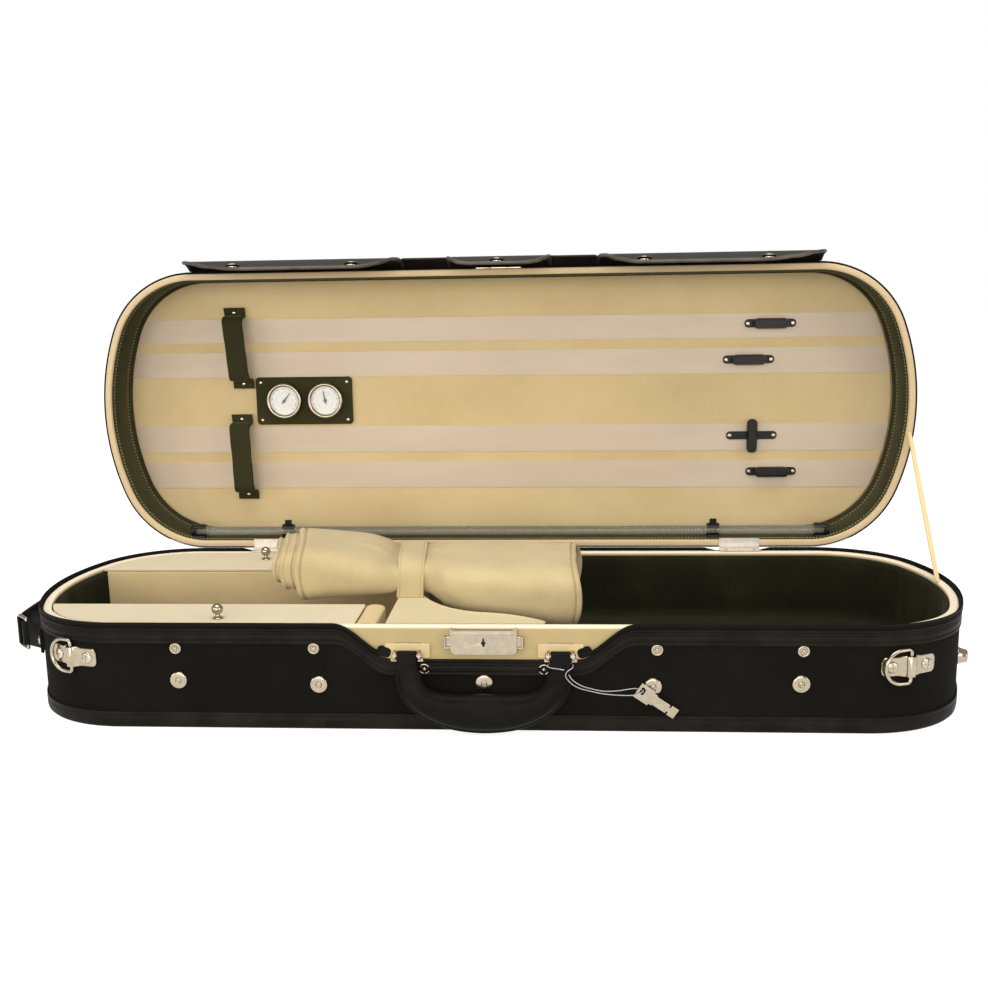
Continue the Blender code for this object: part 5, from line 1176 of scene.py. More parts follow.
def make_bracket(name, side):
    parts = [refined("handle_bracket_" + name, "plate", NICKEL, 0.0004, 2)]
    y, z = PIN
    for edge in (-1, 1):
        inner = side * SPOT + edge * 0.0088
        outer = side * SPOT + edge * 0.0112
        nose = [(y + 0.0034 * math.cos(a), z + 0.0034 * math.sin(a)) for a in [math.radians(90 + 18 * i) for i in range(11)]]
        shape = [(FRONT - 0.0012, z + 0.0040)] + nose + [(FRONT - 0.0012, z - 0.0040)]
        rows = [[(x, u, v) for u, v in shape] for x in (inner, inner + edge * 0.0003, outer - edge * 0.0003, outer)]
        for k in (0, 3):
            rows[k] = [(x, u + (y - u) * 0.06, v + (z - v) * 0.06) for x, u, v in rows[k]]
        parts.append(rows_mesh("ear", rows, NICKEL, smooth=50))
        head = dome("head", 0.0026, 0.0011, NICKEL, 0.0006)
        head.data.transform(Matrix.Translation((outer, y, z)) @ Matrix.Rotation(edge * math.pi / 2, 4, "Y"))
        parts.append(head)
        lip_shape = rounded_corners([(outer - edge * 0.0024, z - 0.0050), (outer + edge * 0.0020, z - 0.0050), (outer + edge * 0.0020, z - 0.0024), (outer - edge * 0.0024, z - 0.0024)], 0.0006)
        parts.append(prism("foot", lip_shape, FRONT - 0.0056, FRONT - 0.0010, NICKEL))
    stand_for(joined("bracket_" + name, parts), "base", "nickel", "handle_bracket_" + name)
    pad_shape = rounded_corners([(side * SPOT - 0.0185, 0.0622), (side * SPOT + 0.0185, 0.0622), (side * SPOT + 0.0185, 0.0742), (side * SPOT - 0.0185, 0.0742)], 0.0012)
    pad = prism("velour_pad_" + name, pad_shape, FRONT - 0.0020, FRONT + 0.0002, VELOUR)
    stand_for(softened(pad, 0.0006, 3), "base", "tan_velour")
    x = side * (ZIP_END - 0.0042)
    tab_shape = rounded_corners([(-0.0060, -0.0044), (0.0060, -0.0044), (0.0060, 0.0044), (-0.0060, 0.0044)], 0.0044, 6)
    tab = prism("zipper_end_tab_" + name, tab_shape, -0.0012, 0.0012, LEATHER)
    tab = softened(tab, 0.0008, 3)
    tab.data.transform(Matrix.Translation((x, FRONT - 0.0012, 0.0676)) @ Matrix.Rotation(-side * math.radians(18), 4, "Y"))
    stand_for(tab, "base", "black_leather")


for name, side in (("left", -1), ("right", 1)):
    make_bracket(name, side)


# %% Handle
def glide(keys, steps):
    """Rows of numbers along a smooth curve through the rows given."""
    knots = [tuple(2 * a - b for a, b in zip(keys[0], keys[1]))] + list(keys)
    knots.append(tuple(2 * a - b for a, b in zip(keys[-1], keys[-2])))
    fine = []
    for a, b, c, d in zip(knots, knots[1:], knots[2:], knots[3:]):
        for i in range(steps):
            t = i / steps
            fine.append(tuple(0.5 * (2 * q + (r - p) * t + (2 * p - 5 * q + 4 * r - s) * t * t + (3 * q - p - 3 * r + s) * t**3) for p, q, r, s in zip(a, b, c, d)))
    return fine + [keys[-1]]


def handle_keys():
    """Stations of the grip: place, half width and half thickness, from one strap to the other."""
    y, z = PIN
    grip_y = -HALF - 0.0105
    half = [(SPOT, y - 0.0016, z - 0.0035, 0.0078, 0.0022), (SPOT - 0.0004, y - 0.0035, z - 0.0095, 0.0086, 0.0034)]
    half += [(x, grip_y + off, z - drop, wide, thick) for x, off, drop, wide, thick in (
        (0.0612, 0.0025, 0.0165, 0.0106, 0.0062), (0.0590, 0.0006, 0.0243, 0.0110, 0.0080), (0.0545, 0.0, 0.0316, 0.0113, 0.0088),
        (0.0470, 0.0, 0.0377, 0.0121, 0.0090), (0.0358, 0.0, 0.0425, 0.0136, 0.0092), (0.0210, 0.0, 0.0454, 0.0156, 0.0093))]
    left = [(-k[0],) + k[1:] for k in half]
    return left + [(0.0, grip_y, z - 0.0465, 0.0165, 0.0093)] + half[::-1]


def handle_section(w, t):
    welt = min(1.0, w / 0.0110) ** 2
    half, middle = w - 0.0013 * welt, -0.0013 * welt
    points = []
    for i in range(25):
        a = math.radians(180 - 152) + math.radians(2 * 152) * i / 24
        c, s = math.cos(a), math.sin(a)
        points.append((middle + half * math.copysign(abs(c) ** 0.86, c), t * math.copysign(abs(s) ** 0.86, s)))
    flange = [(w - 0.0024, -0.0019), (w - 0.0006, -0.0015), (w, -0.0007), (w, 0.0007), (w - 0.0006, 0.0015), (w - 0.0024, 0.0019)]
    return points + [(u, v * min(1.0, t / 0.006)) for u, v in flange]


def make_handle():
    fine = glide(handle_keys(), 10)
    path = [Vector(k[:3]) for k in fine]
    grip = section_tube("leather_grip", path, lambda i: handle_section(fine[i][3], fine[i][4]), LEATHER, up=(0, -1, 0), smooth=75)
    y, z = PIN
    parts = [grip]
    for side in (-1, 1):
        fold = [(y + 0.0042 * math.cos(a), z + 0.0042 * math.sin(a)) for a in [math.radians(18 * i) for i in range(11)]]
        shape = fold + [(y - 0.0043, z - 0.0030), (y - 0.0049, z - 0.0070), (y - 0.0058, z - 0.0112), (y - 0.0030, z - 0.0122), (y + 0.0010, z - 0.0112), (y + 0.0038, z - 0.0060)]
        rows = []
        for x in (-0.0079, -0.0077, -0.0070, 0.0070, 0.0077, 0.0079):
            shrink = 0.06 if abs(x) > 0.0078 else 0.015 if abs(x) > 0.0072 else 0.0
            rows.append([(side * SPOT + x, u + (y - u) * shrink, v + (z - 0.003 - v) * shrink) for u, v in shape])
        parts.append(rows_mesh("tab", rows, LEATHER, smooth=60))
    made = joined("carry_handle_leather", parts)
    stand_for(made, "handle", "black_leather", "carry_handle")
    points, outs = [], []
    for i in range(12, len(path) - 12):
        ahead = (path[i + 1] - path[i - 1]).normalized()
        outward = ahead.cross(Vector((0, -1, 0))).normalized()
        front = outward.cross(ahead)
        points.append(path[i] + outward * (fine[i][3] - 0.0016) + front * 0.0017)
        outs.append(tuple(front))
    stitches = row("handle_stitches", points, outs, THREAD_BLACK, 0.0036, (0.0026, 0.0008, 0.0007))
    stand_for(stitches, "handle", "black_leather")


make_handle()
stand_for(refined("key", "case_key", NICKEL, 0.0003, 2), "handle", "nickel", "key")

# %% [markdown]
# ## Rings for a shoulder strap
# At each front corner a nickel strap is screwed down over the upright bar of a D ring.
# The strap is narrower at its ends and bulges over the bar.

# %% Ring plates and rings
PLATES = (("left", -1, math.radians(24.5), 0.0605), ("right", 1, math.radians(20.0), 0.0565))
PLATE_THICK, RING_WIRE, RING_PLAY = 0.0015, 0.0016, 0.0008


def on_corner(radius, angle, side):
    return side * (CORNER_X + radius * math.sin(angle)), -ACROSS - radius * math.cos(angle)


def corner_out(angle, side):
    return side * math.sin(angle), -math.cos(angle), 0.0


def make_ring_plate(name, side, middle, height):
    inner = CORNER_RADIUS - 0.0020 + FIT
    hollow = RING_WIRE + RING_PLAY
    axis = inner + hollow
    steps, half = 72, 0.0240
    rows = []
    for i in range(steps + 1):
        s = -half + 2 * half * i / steps
        a = middle + s / inner
        over, under = 0.0, 0.0
        wide = hollow + PLATE_THICK
        if abs(s) < wide:
            over = hollow + math.sqrt(wide**2 - s * s)
        if abs(s) < hollow:
            under = hollow + math.sqrt(hollow**2 - s * s)
        foot = PLATE_THICK + 0.0012 * math.exp(-((abs(s) - wide) / 0.0016) ** 2) * (abs(s) >= wide)
        top = max(over, foot)
        end = half - abs(s)
        tall = 0.0086 if abs(s) < 0.0065 else 0.0086 - 0.0008 * min(1.0, (abs(s) - 0.0065) / 0.003)
        if end < 0.0040:
            tall = min(tall, tall - 0.0040 + math.sqrt(max(1e-9, 0.0040**2 - (0.0040 - end) ** 2)))
        lip = 0.0005
        ring = [(tall - lip * 0.3, under), (tall, under + lip), (tall, top - lip), (tall - lip, top), (-tall + lip, top), (-tall, top - lip), (-tall, under + lip), (-tall + lip * 0.3, under)]
        rows.append([(*on_corner(inner + r, a, side), height + h) for h, r in ring])
    plate = rows_mesh("strap_plate_" + name, rows, NICKEL, smooth=40)
    stand_for(plate, "base", "nickel", "ring_plate_" + name)
    spots = []
    for s in (-0.0155, 0.0155):
        a = middle + s / inner
        spots.append(((*on_corner(inner + PLATE_THICK, a, side), height), corner_out(a, side), (0.3 * s, 0.1, 1)))
    screws = set_out("strap_screws_" + name, dome("screw", 0.0050, 0.0019, OLD_NICKEL, 0.0010), OLD_NICKEL, spots)
    stand_for(screws, "base", "nickel")
    return axis


def make_ring(name, side, angle, height, axis):
    x, y = on_corner(axis, angle, side)
    slope = side * angle
    along = Vector((-math.cos(slope), -math.sin(slope), 0))
    out = Vector((math.sin(slope), -math.cos(slope), 0))
    half = 0.031 / 2 - RING_WIRE
    reach = 0.0255 - 2 * RING_WIRE
    corner = 0.0030
    flat = [(0.0, half - corner - (2 * half - 2 * corner) * i / 6) for i in range(7)]
    flat += [(corner * (1 - math.cos(a)), -half + corner * (1 - math.sin(a))) for a in [math.pi / 2 * i / 6 for i in range(1, 7)]]
    straight = reach - half
    if straight > corner:
        flat.append(((corner + straight) / 2, -half))
    for i in range(25):
        a = -math.pi / 2 + math.pi * i / 24
        flat.append((max(straight, corner + 0.0005) + half * math.cos(a) * (reach - max(straight, corner + 0.0005)) / half, half * math.sin(a)))
    flat += [(corner * (1 - math.cos(a)), half - corner * (1 - math.sin(a))) for a in [math.pi / 2 * (6 - i) / 6 for i in range(6)]]
    centre = Vector((x, y, height))
    path = [centre + along * u + Vector((0, 0, v)) for u, v in flat]
    made = section_tube("d_ring_" + name, path, circle(RING_WIRE, 12), NICKEL, up=tuple(out), closed=True, smooth=60)
    stand_for(made, name + "_ring", "nickel", "ring_" + name)


for name, side, angle, height in PLATES:
    make_ring(name, side, angle, height, make_ring_plate(name, side, angle, height))

# %% [markdown]
# ## The two ends
# The left end has a leather handle: a strap between two nickel rings, each held by a
# leather tab that is riveted to the case. The right end has a round metal foot.

# %% End foot
EYE_OUT, STRAP_OUT, STRAP_Z, EYE_Y = LENGTH / 2 + 0.0065, LENGTH / 2 + 0.0175, 0.0585, 0.0625
END_WIRE = 0.0015


def on_end(out, y):
    return END_X + math.sqrt((END_RADIUS + out) ** 2 - y * y)


def make_foot():
    profile = [(0.0078, FIT), (0.0080, 0.0007), (0.0078, 0.0014), (0.0070, 0.0026), (0.0060, 0.0060), (0.0057, 0.0076), (0.0052, 0.0085), (0.0044, 0.0089), (0.0030, 0.0090), (0.00002, 0.0090)]
    foot = turned("round_foot", profile, NICKEL)
    place = Matrix.Translation((on_end(-0.0020, -0.045), -0.045, 0.037)) @ Matrix.Rotation(math.asin(-0.045 / (END_RADIUS - 0.0020)), 4, "Z") @ Matrix.Rotation(math.pi / 2, 4, "Y")
    foot.data.transform(place)
    stand_for(foot, "base", "nickel", "end_foot")


make_foot()


# %% End handle
def strap_x(y):
    return -STRAP_OUT - 0.0030 * math.cos(math.pi / 2 * y / EYE_Y)


def make_anchor(name, side):
    tall, high = 0.022, STRAP_Z + 0.031 / 2 - 2 * END_WIRE - FIT
    low = high - tall
    out, thick = -0.0020 + FIT, 0.0028
    bend, far = EYE_Y + 0.0125, EYE_Y + 0.030
    rows = []
    for i in range(25):
        t = i / 24
        y = far + (bend - far) * min(1.0, t / 0.6)
        base = Vector((-on_end(out, y), side * y, 0))
        if t > 0.6:
            u = (t - 0.6) / 0.4
            start = Vector((-on_end(out, bend), side * bend, 0))
            end = Vector((-EYE_OUT + thick / 2, side * (EYE_Y + 0.0012), 0))
            base = start.lerp(end, u * u * (3 - 2 * u) * 0.35 + u * 0.65)
        turn = Vector((-1, 0, 0)) if t > 0.9 else Vector((-math.cos(math.asin(min(1.0, y / END_RADIUS))), side * y / END_RADIUS, 0)).normalized()
        end_round = min(1.0, math.sqrt(max(0.0, 1 - (1 - min(1.0, (1 - t) * 0 + t * 6)) ** 2)) + 0.02)
        grow = tall / 2 * (0.55 + 0.45 * end_round)
        mid = (low + high) / 2
        section = [(grow - 0.0006, 0.0), (grow, 0.0008), (grow, thick - 0.0010), (grow - 0.0009, thick), (-grow + 0.0009, thick), (-grow, thick - 0.0010), (-grow, 0.0008), (-grow + 0.0006, 0.0)]
        rows.append([base + turn * r + Vector((0, 0, mid + h)) for h, r in section])
    tab = rows_mesh("anchor", rows, LEATHER, smooth=50)
    eye = [(r, z) for r, z in ((END_WIRE + 0.0007, low), (END_WIRE + 0.0024, low + 0.0003), (END_WIRE + 0.0028, low + 0.0012), (END_WIRE + 0.0028, high - 0.0012), (END_WIRE + 0.0024, high - 0.0003), (END_WIRE + 0.0007, high))]
    ring = [[(r * math.cos(math.tau * i / 24) - EYE_OUT, r * math.sin(math.tau * i / 24) + side * EYE_Y, z) for i in range(24)] for r, z in eye]
    loop = rows_mesh("eye", ring, LEATHER, closed_rows=True, smooth=50)
    stand_for(joined("end_tab_" + name, [tab, loop]), "base", "black_leather", "end_anchor_" + name)
    y = EYE_Y + 0.0225
    spot = (-on_end(out + thick, y), side * y, (low + high) / 2)
    facing_out = (-math.sqrt(1 - (y / END_RADIUS) ** 2), side * y / END_RADIUS, 0)
    rivet = set_out("end_rivet_" + name, dome("rivet", 0.0040, 0.0017, NICKEL), NICKEL, [(spot, facing_out, (0, 0, 1))])
    stand_for(rivet, "base", "nickel")


def make_end_handle():
    half, thick, tall = 0.052, 0.0040, 0.027
    parts = []
    rows, steps = [], 60
    for i in range(steps + 1):
        y = -half + 2 * half * i / steps
        end = half - abs(y)
        plump = 1.0 + 0.28 * math.exp(-((end - 0.0035) / 0.0028) ** 2) - 0.35 * math.exp(-((end - 0.0095) / 0.0018) ** 2)
        close = math.sqrt(max(0.02, 1 - (1 - min(1.0, end / 0.0022)) ** 2))
        t, h = thick / 2 * plump * close, tall / 2 * (0.94 + 0.06 * min(1.0, end / 0.006))
        section = rounded_corners([(-t, -h), (t, -h), (t, h), (-t, h)], 0.0013)
        slope = math.atan2(strap_x(y + 0.0005) - strap_x(y - 0.0005), 0.001)
        rows.append([(strap_x(y) + u * math.cos(slope), y - u * math.sin(slope), STRAP_Z + v) for u, v in section])
    parts.append(rows_mesh("strap", rows, LEATHER, smooth=60))
    for side in (-1, 1):
        start = Vector((-EYE_OUT, side * EYE_Y, STRAP_Z))
        end = Vector((strap_x(side * (half - 0.002)), side * (half - 0.002), STRAP_Z))
        along = (end - start).normalized()
        reach, tall_half = (end - start).length, 0.031 / 2 - END_WIRE
        corners = rounded_corners([(0, -tall_half), (0, tall_half), (reach, tall_half), (reach, -tall_half)], 0.0022, 5)
        path = [start + along * u + Vector((0, 0, v)) for u, v in corners]
        facing_out = along.cross(Vector((0, 0, 1)))
        parts.append(section_tube("link", path, circle(END_WIRE, 12), NICKEL, up=tuple(facing_out), closed=True))
    stand_for(joined("end_handle_strap", parts), "side_handle", "black_leather", "end_handle")
    for face in (-1, 1):
        for edge in (-1, 1):
            ys = [-half + 0.012 + (2 * half - 0.024) * i / 40 for i in range(41)]
            points = [(strap_x(y) + face * (thick / 2), y, STRAP_Z + edge * (tall / 2 - 0.0026)) for y in ys]
            stitches = row("strap_stitches", points, [(face, 0, 0)] * 41, THREAD_BLACK, 0.0036, (0.0026, 0.0007, 0.0006))
            stand_for(stitches, "side_handle", "black_leather")


for name, side in (("front", -1), ("rear", 1)):
    make_anchor(name, side)
make_end_handle()

# %% [markdown]
# ## Snaps along the front
# The flaps snap down on the front. A row of sockets sits near the seam, with round caps
# below them. Each is a turned piece pressed through the cloth.

# %% Sockets and caps
def make_front_snaps():
    face = -HALF + 0.0020
    sockets = [(side * x, face, z) for x, z in ((0.256, 0.0695), (0.140, 0.0700), (0.049, 0.0530)) for side in (-1, 1)]
    caps = [(-0.255, face, 0.042), (0.255, face, 0.042), (-0.137, face, 0.039), (0.137, face, 0.039), (0.0, face, 0.041)]
    socket = [(0.0044, -0.0004), (0.0049, 0.0002), (0.0048, 0.0008), (0.0043, 0.0012), (0.0036, 0.0012), (0.0031, 0.0008), (0.0028, 0.0002), (0.0018, 0.0002), (0.0016, 0.0010), (0.0012, 0.0015), (0.0006, 0.0017), (0.00002, 0.0017)]
    cap = [(0.0069, -0.0004), (0.0073, 0.0001), (0.0072, 0.0009), (0.0067, 0.0014), (0.0058, 0.0016), (0.0040, 0.0017), (0.0027, 0.0017), (0.0025, 0.0013), (0.0022, 0.0012), (0.0020, 0.0017), (0.0016, 0.0020), (0.0010, 0.0019), (0.0008, 0.0012), (0.00002, 0.0011)]
    for name, profile, spots in (("snap_sockets", socket, sockets), ("snap_caps", cap, caps)):
        made = set_out(name, turned("snap", profile, NICKEL, 36), NICKEL, [(p, (0, -1, 0), (1, 0, 0)) for p in spots])
        stand_for(made, "base", "nickel")


make_front_snaps()

# %% [markdown]
# ## The blanket
# A cream blanket is rolled flat, drawn in at its waist by a ribbon and laid over the
# neck rest. Its outer wrap is one body: a soft cone at the left, a flat bundle at the
# right, each ended by a rounded hem. Inside both ends the inner wraps show as nested
# lips, each a little smaller and, at the left, pushed out a little further.

# %% Body of the blanket
REST_TOP = 0.0880
KEYS = (
    (-0.172, -0.0660, 0.0400, 0.0835, 0.1400), (-0.152, -0.0660, 0.0420, 0.0850, 0.1378),
    (-0.132, -0.0640, 0.0450, 0.0865, 0.1345), (-0.113, -0.0605, 0.0480, 0.0880, 0.1298),
    (-0.099, -0.0560, 0.0500, 0.0890, 0.1240), (-0.090, -0.0510, 0.0495, 0.0887, 0.1185),
    (-0.083, -0.0455, 0.0485, 0.0884, 0.1178), (-0.070, -0.0440, 0.0480, 0.0884, 0.1198),
    (-0.057, -0.0440, 0.0480, 0.0880, 0.1215), (-0.050, -0.0490, 0.0500, 0.0850, 0.1222),
    (-0.038, -0.0590, 0.0550, 0.0775, 0.1226), (-0.015, -0.0680, 0.0590, 0.0712, 0.1226),
    (0.020, -0.0740, 0.0600, 0.0668, 0.1226), (0.055, -0.0775, 0.0620, 0.0618, 0.1222),
    (0.080, -0.0765, 0.0600, 0.0618, 0.1218),
)
AROUND = 112
LEFT_EDGE, RIGHT_EDGE = -0.1630, 0.0745
SLANT = 0.20


def eased(x):
    """The blanket's section at x: a smooth curve through the keys."""
    x = min(max(x, KEYS[0][0]), KEYS[-1][0])
    for i in range(len(KEYS) - 1):
        one, two = KEYS[i], KEYS[i + 1]
        if x <= two[0]:
            break
    before, after = KEYS[max(0, i - 1)], KEYS[min(len(KEYS) - 1, i + 2)]
    span = two[0] - one[0]
    t = (x - one[0]) / span
    values = []
    for k in range(1, 5):
        slope_one = (two[k] - before[k]) / (two[0] - before[0]) * span
        slope_two = (after[k] - one[k]) / (after[0] - one[0]) * span
        h = (2 * t**3 - 3 * t**2 + 1, t**3 - 2 * t**2 + t, -2 * t**3 + 3 * t**2, t**3 - t**2)
        values.append(h[0] * one[k] + h[1] * slope_one + h[2] * two[k] + h[3] * slope_two)
    return values


def even_loop(points, count):
    """The same closed line with its points at an even spacing."""
    walked = [0.0]
    for a, b in zip(points, points[1:] + points[:1]):
        walked.append(walked[-1] + math.dist(a, b))
    spots, j = [], 0
    for i in range(count):
        want = walked[-1] * i / count
        while walked[j + 1] < want:
            j += 1
        t = (want - walked[j]) / (walked[j + 1] - walked[j])
        a, b = points[j], points[(j + 1) % len(points)]
        spots.append((a[0] + (b[0] - a[0]) * t, a[1] + (b[1] - a[1]) * t))
    return spots


def wrap_shape(x, inset, tuck=0.0):
    """Points (y, z) of the section at x, each side moved in by its own inset."""
    front, back, low, high = eased(x)
    front += inset[0] + tuck
    back -= inset[0] + tuck
    high -= inset[1] + tuck
    low += inset[2] + tuck
    power = 0.55
    loop = []
    for k in range(240):
        a = math.tau * k / 240
        c, s = math.cos(a), math.sin(a)
        loop.append(((front + back) / 2 + (back - front) / 2 * math.copysign(abs(c) ** power, c),
                     (low + high) / 2 + (high - low) / 2 * math.copysign(abs(s) ** power, s)))
    return even_loop(loop, AROUND), (low, high)


def folds(x, y, z):
    """Soft folds that run out of the waist on both sides, and the cloth's slack."""
    from_waist = abs(x + 0.070)
    near = math.exp(-((from_waist - 0.030) / 0.022) ** 2)
    far = min(1.0, max(0.0, (from_waist - 0.014) / 0.02))
    lean = (z - 0.11) * 1.1 * (1 if x < -0.07 else -1)
    ribs = noise.noise(Vector(((y + lean * 0.4) * 62, (z * 62), from_waist * 9)))
    waves = noise.noise(Vector((x * 21 + z * 16, y * 17, z * 24 + 3.7)))
    return near * ribs * 0.0036 + far * waves * 0.0022


HEM = ((0.0060, 0.0042), (0.0034, 0.0042), (0.0014, 0.0037), (0.0003, 0.0029), (0.0, 0.0020), (0.0003, 0.0011),
       (0.0012, 0.0004), (0.0022, 0.0), (0.0032, 0.0001), (0.0039, 0.0008), (0.0044, 0.0014), (0.0049, 0.0008), (0.0058, 0.0001))
STITCH_AT = 0.0044


def left_lean(u):
    """How far the outer wrap's left edge moves along X with its height, 0 low to 1 high."""
    return -0.0072 * math.sin(math.pi * (0.08 + 0.84 * u))


def right_lean(u):
    return 0.0075 * math.sin(math.pi * min(1.0, max(0.0, u * 0.97 + 0.02))) ** 0.8 - 0.0030 * (1 - u)


def wrap_ring(x, inset, tuck, edge, lean, stiff):
    """One ring of a wrap; lean fades away from the edge it belongs to."""
    loop, (low, high) = wrap_shape(x, inset, tuck)
    ring = []
    for y, z in loop:
        u = min(1.0, max(0.0, (z - low) / (high - low)))
        share = max(0.0, 1 - abs(x - edge) / 0.045)
        shift = lean(u) * share**1.5
        if edge == LEFT_EDGE:
            shift -= SLANT * (y - eased(x)[0]) * share
        wobble = 0.0006 * noise.noise(Vector((y * 46, z * 46, edge * 77))) * share
        point = Vector((x + shift + wobble, y, z))
        middle = Vector((x, (loop[0][0] + loop[AROUND // 2][0]) / 2, (low + high) / 2))
        away = (point - middle)
        away.x = 0
        ring.append(point + away.normalized() * folds(x, y, z) * stiff)
    return ring


def make_body():
    rows = []
    left = [(LEFT_EDGE + 0.0110, 0.0042)] + [(LEFT_EDGE + a, o) for a, o in HEM]
    right = [(RIGHT_EDGE - a, o) for a, o in reversed(HEM)] + [(RIGHT_EDGE - 0.0110, 0.0042)]
    for x, tuck in left:
        rows.append(wrap_ring(x, (0, 0, 0), tuck, LEFT_EDGE, left_lean, 0.6))
    start, end = left[-1][0] + 0.0010, right[0][0] - 0.0010
    count = 118
    for i in range(count + 1):
        x = start + (end - start) * i / count
        edge, lean = (LEFT_EDGE, left_lean) if x < -0.07 else (RIGHT_EDGE, right_lean)
        near = min(x - LEFT_EDGE, RIGHT_EDGE - x)
        rows.append(wrap_ring(x, (0, 0, 0), 0.0, edge, lean, 0.6 + 0.4 * min(1.0, near / 0.02)))
    for x, tuck in right:
        rows.append(wrap_ring(x, (0, 0, 0), tuck, RIGHT_EDGE, right_lean, 0.6))
    return rows_mesh("blanket_body", rows, BLANKET, smooth=75)


def make_lip(x, edge_side, inset, lean_share, depth=0.016):
    """An inner wrap: a tube with a round lip, its other end hidden in the body."""
    base = LEFT_EDGE if edge_side < 0 else RIGHT_EDGE
    lean = (lambda u: left_lean(u) * lean_share) if edge_side < 0 else (lambda u: right_lean(u) * lean_share)
    rows = []
    profile = [(depth, 0.0032), (0.0034, 0.0032), (0.0012, 0.0028), (0.0002, 0.0021), (0.0, 0.0015), (0.0003, 0.0008),
               (0.0011, 0.0002), (0.0020, 0.0), (0.0028, 0.0002), (0.0034, 0.0010), (0.0040, 0.0014), (0.0047, 0.0010), (0.0056, 0.0008), (depth, 0.0014)]
    for a, o in profile:
        ring = wrap_ring(base + 0.004, inset, o, base, lean, 0.5)
        moved = x - edge_side * a - (base + 0.004)
        rows.append([p + Vector((moved, 0, 0)) for p in ring])
    return rows_mesh("lip", rows, BLANKET, closed_rows=True, smooth=75)


def make_core(x, edge_side, inset):
    """The innermost wrap, closed by a soft round face."""
    base = LEFT_EDGE if edge_side < 0 else RIGHT_EDGE
    rows = []
    steps = 9
    for i in range(steps + 1):
        a = math.pi / 2 * i / steps
        tuck = 0.0080 * (1 - math.sin(a))
        shift = 0.0040 * (1 - math.cos(a)) + (0.010 if i == steps else 0)
        ring = wrap_ring(base + 0.004, inset, tuck, base, lambda u: 0.0, 0.4)
        rows.append([p + Vector((x - edge_side * shift - base - 0.004, 0, 0)) for p in ring])
    return rows_mesh("core", rows, BLANKET, smooth=75)


LEFT_LIPS = ((-0.1702, (0.0046, 0.0044, 0.0094), 0.9), (-0.1776, (0.0052, 0.0040, 0.0090), 0.9), (-0.1846, (0.0092, 0.0080, 0.0152), 0.9))
LEFT_INNER = ((-0.1836, (0.0150, 0.0134, 0.0206)), (-0.1824, (0.0200, 0.0182, 0.0254)))
RIGHT_LIPS = ((0.0722, (0.0050, 0.0050, 0.0050), 1.0), (0.0706, (0.0100, 0.0100, 0.0100), 0.9), (0.0694, (0.0150, 0.0148, 0.0148), 0.8), (0.0686, (0.0205, 0.0198, 0.0198), 0.7))


def make_blanket():
    parts = [make_body()]
    for x, inset, share in LEFT_LIPS:
        parts.append(make_lip(x, -1, inset, share, 0.018))
    for x, inset in LEFT_INNER:
        parts.append(make_lip(x, -1, inset, 0.0))
    parts.append(make_core(-0.1812, -1, (0.0262, 0.0230, 0.0300)))
    for x, inset, share in RIGHT_LIPS:
        parts.append(make_lip(x, 1, inset, share))
    parts.append(make_core(0.0680, 1, (0.0262, 0.0250, 0.0250)))
    blanket = joined("folded_blanket", parts)
    stand_for(blanket, "base", "cream_blanket", "blanket")
    seams = []
    for name, x, edge, lean in (("left", LEFT_EDGE + STITCH_AT, LEFT_EDGE, left_lean), ("right", RIGHT_EDGE - STITCH_AT, RIGHT_EDGE, right_lean)):
        ring = wrap_ring(x, (0, 0, 0), 0.0005, edge, lean, 0.6)
        middle = sum(ring, Vector()) / len(ring)
        outs = [tuple((p - middle).normalized()) for p in ring]
        seams.append(row("hem_stitches_" + name, ring, outs, THREAD_TAN, 0.0034, (0.0024, 0.0007, 0.0006), True))
        stand_for(seams[-1], "base", "cream_blanket")
    return [blanket] + seams


# %% Ribbon round the waist
def make_ribbon_tie():
    x0, x1, thick = -0.0815, -0.0575, 0.0012
    front, back, top, low = -0.0465, 0.0500, 0.1248, REST_TOP + FIT
    half, middle = (back - front) / 2, (back + front) / 2
    edge = [(0.0, 0.0), (0.0002, 0.0006), (0.0010, 0.0011), (0.0020, 0.0010), (0.0024, 0.0006), (0.0028, 0.0010), (0.0050, 0.0011)]
    across = [(x0 + a, b) for a, b in edge] + [(x1 - a, b) for a, b in reversed(edge)]
    count = 90
    rows = []
    for i in range(count + 1):
        a = math.pi * i / count
        c, s = math.cos(a), math.sin(a)
        flat_y, flat_z = math.copysign(abs(c) ** 0.5, c), abs(s) ** 0.5
        ring = []
        for x, rise in across + [(x1, 0.0), (x0, 0.0)]:
            waist = 0.0012 * math.cos((x - (x0 + x1) / 2) / 0.012 * math.pi / 2)
            reach = half - thick + rise - waist * abs(flat_y)
            high = top - thick + rise - waist
            lean = -0.0022 * (1 - flat_z) - 0.070 * (middle + reach * flat_y - front) + 0.0007 * noise.noise(Vector((i * 0.19, x * 90, 4.0)))
            ring.append((x + lean, middle + reach * flat_y, low + (high - low) * flat_z))
        rows.append(ring)
    made = rows_mesh("waist_ribbon", rows, BLANKET, smooth=60)
    stand_for(made, "base", "cream_blanket", "neck_strap")
    made_rows = [made]
    for column in (4, len(across) - 5):
        points = [Vector(r[column]) for r in rows]
        outs = [(0, p.y, max(0.0, p.z - 0.10) * 2) for p in points]
        outs = [tuple(Vector(o).normalized()) for o in outs]
        stitches = row("ribbon_stitches", points, outs, THREAD_TAN, 0.0032, (0.0022, 0.0006, 0.0005))
        stand_for(stitches, "base", "cream_blanket")
        made_rows.append(stitches)
    return made_rows


soft = make_blanket() + make_ribbon_tie()
for made in soft:
    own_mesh(made)

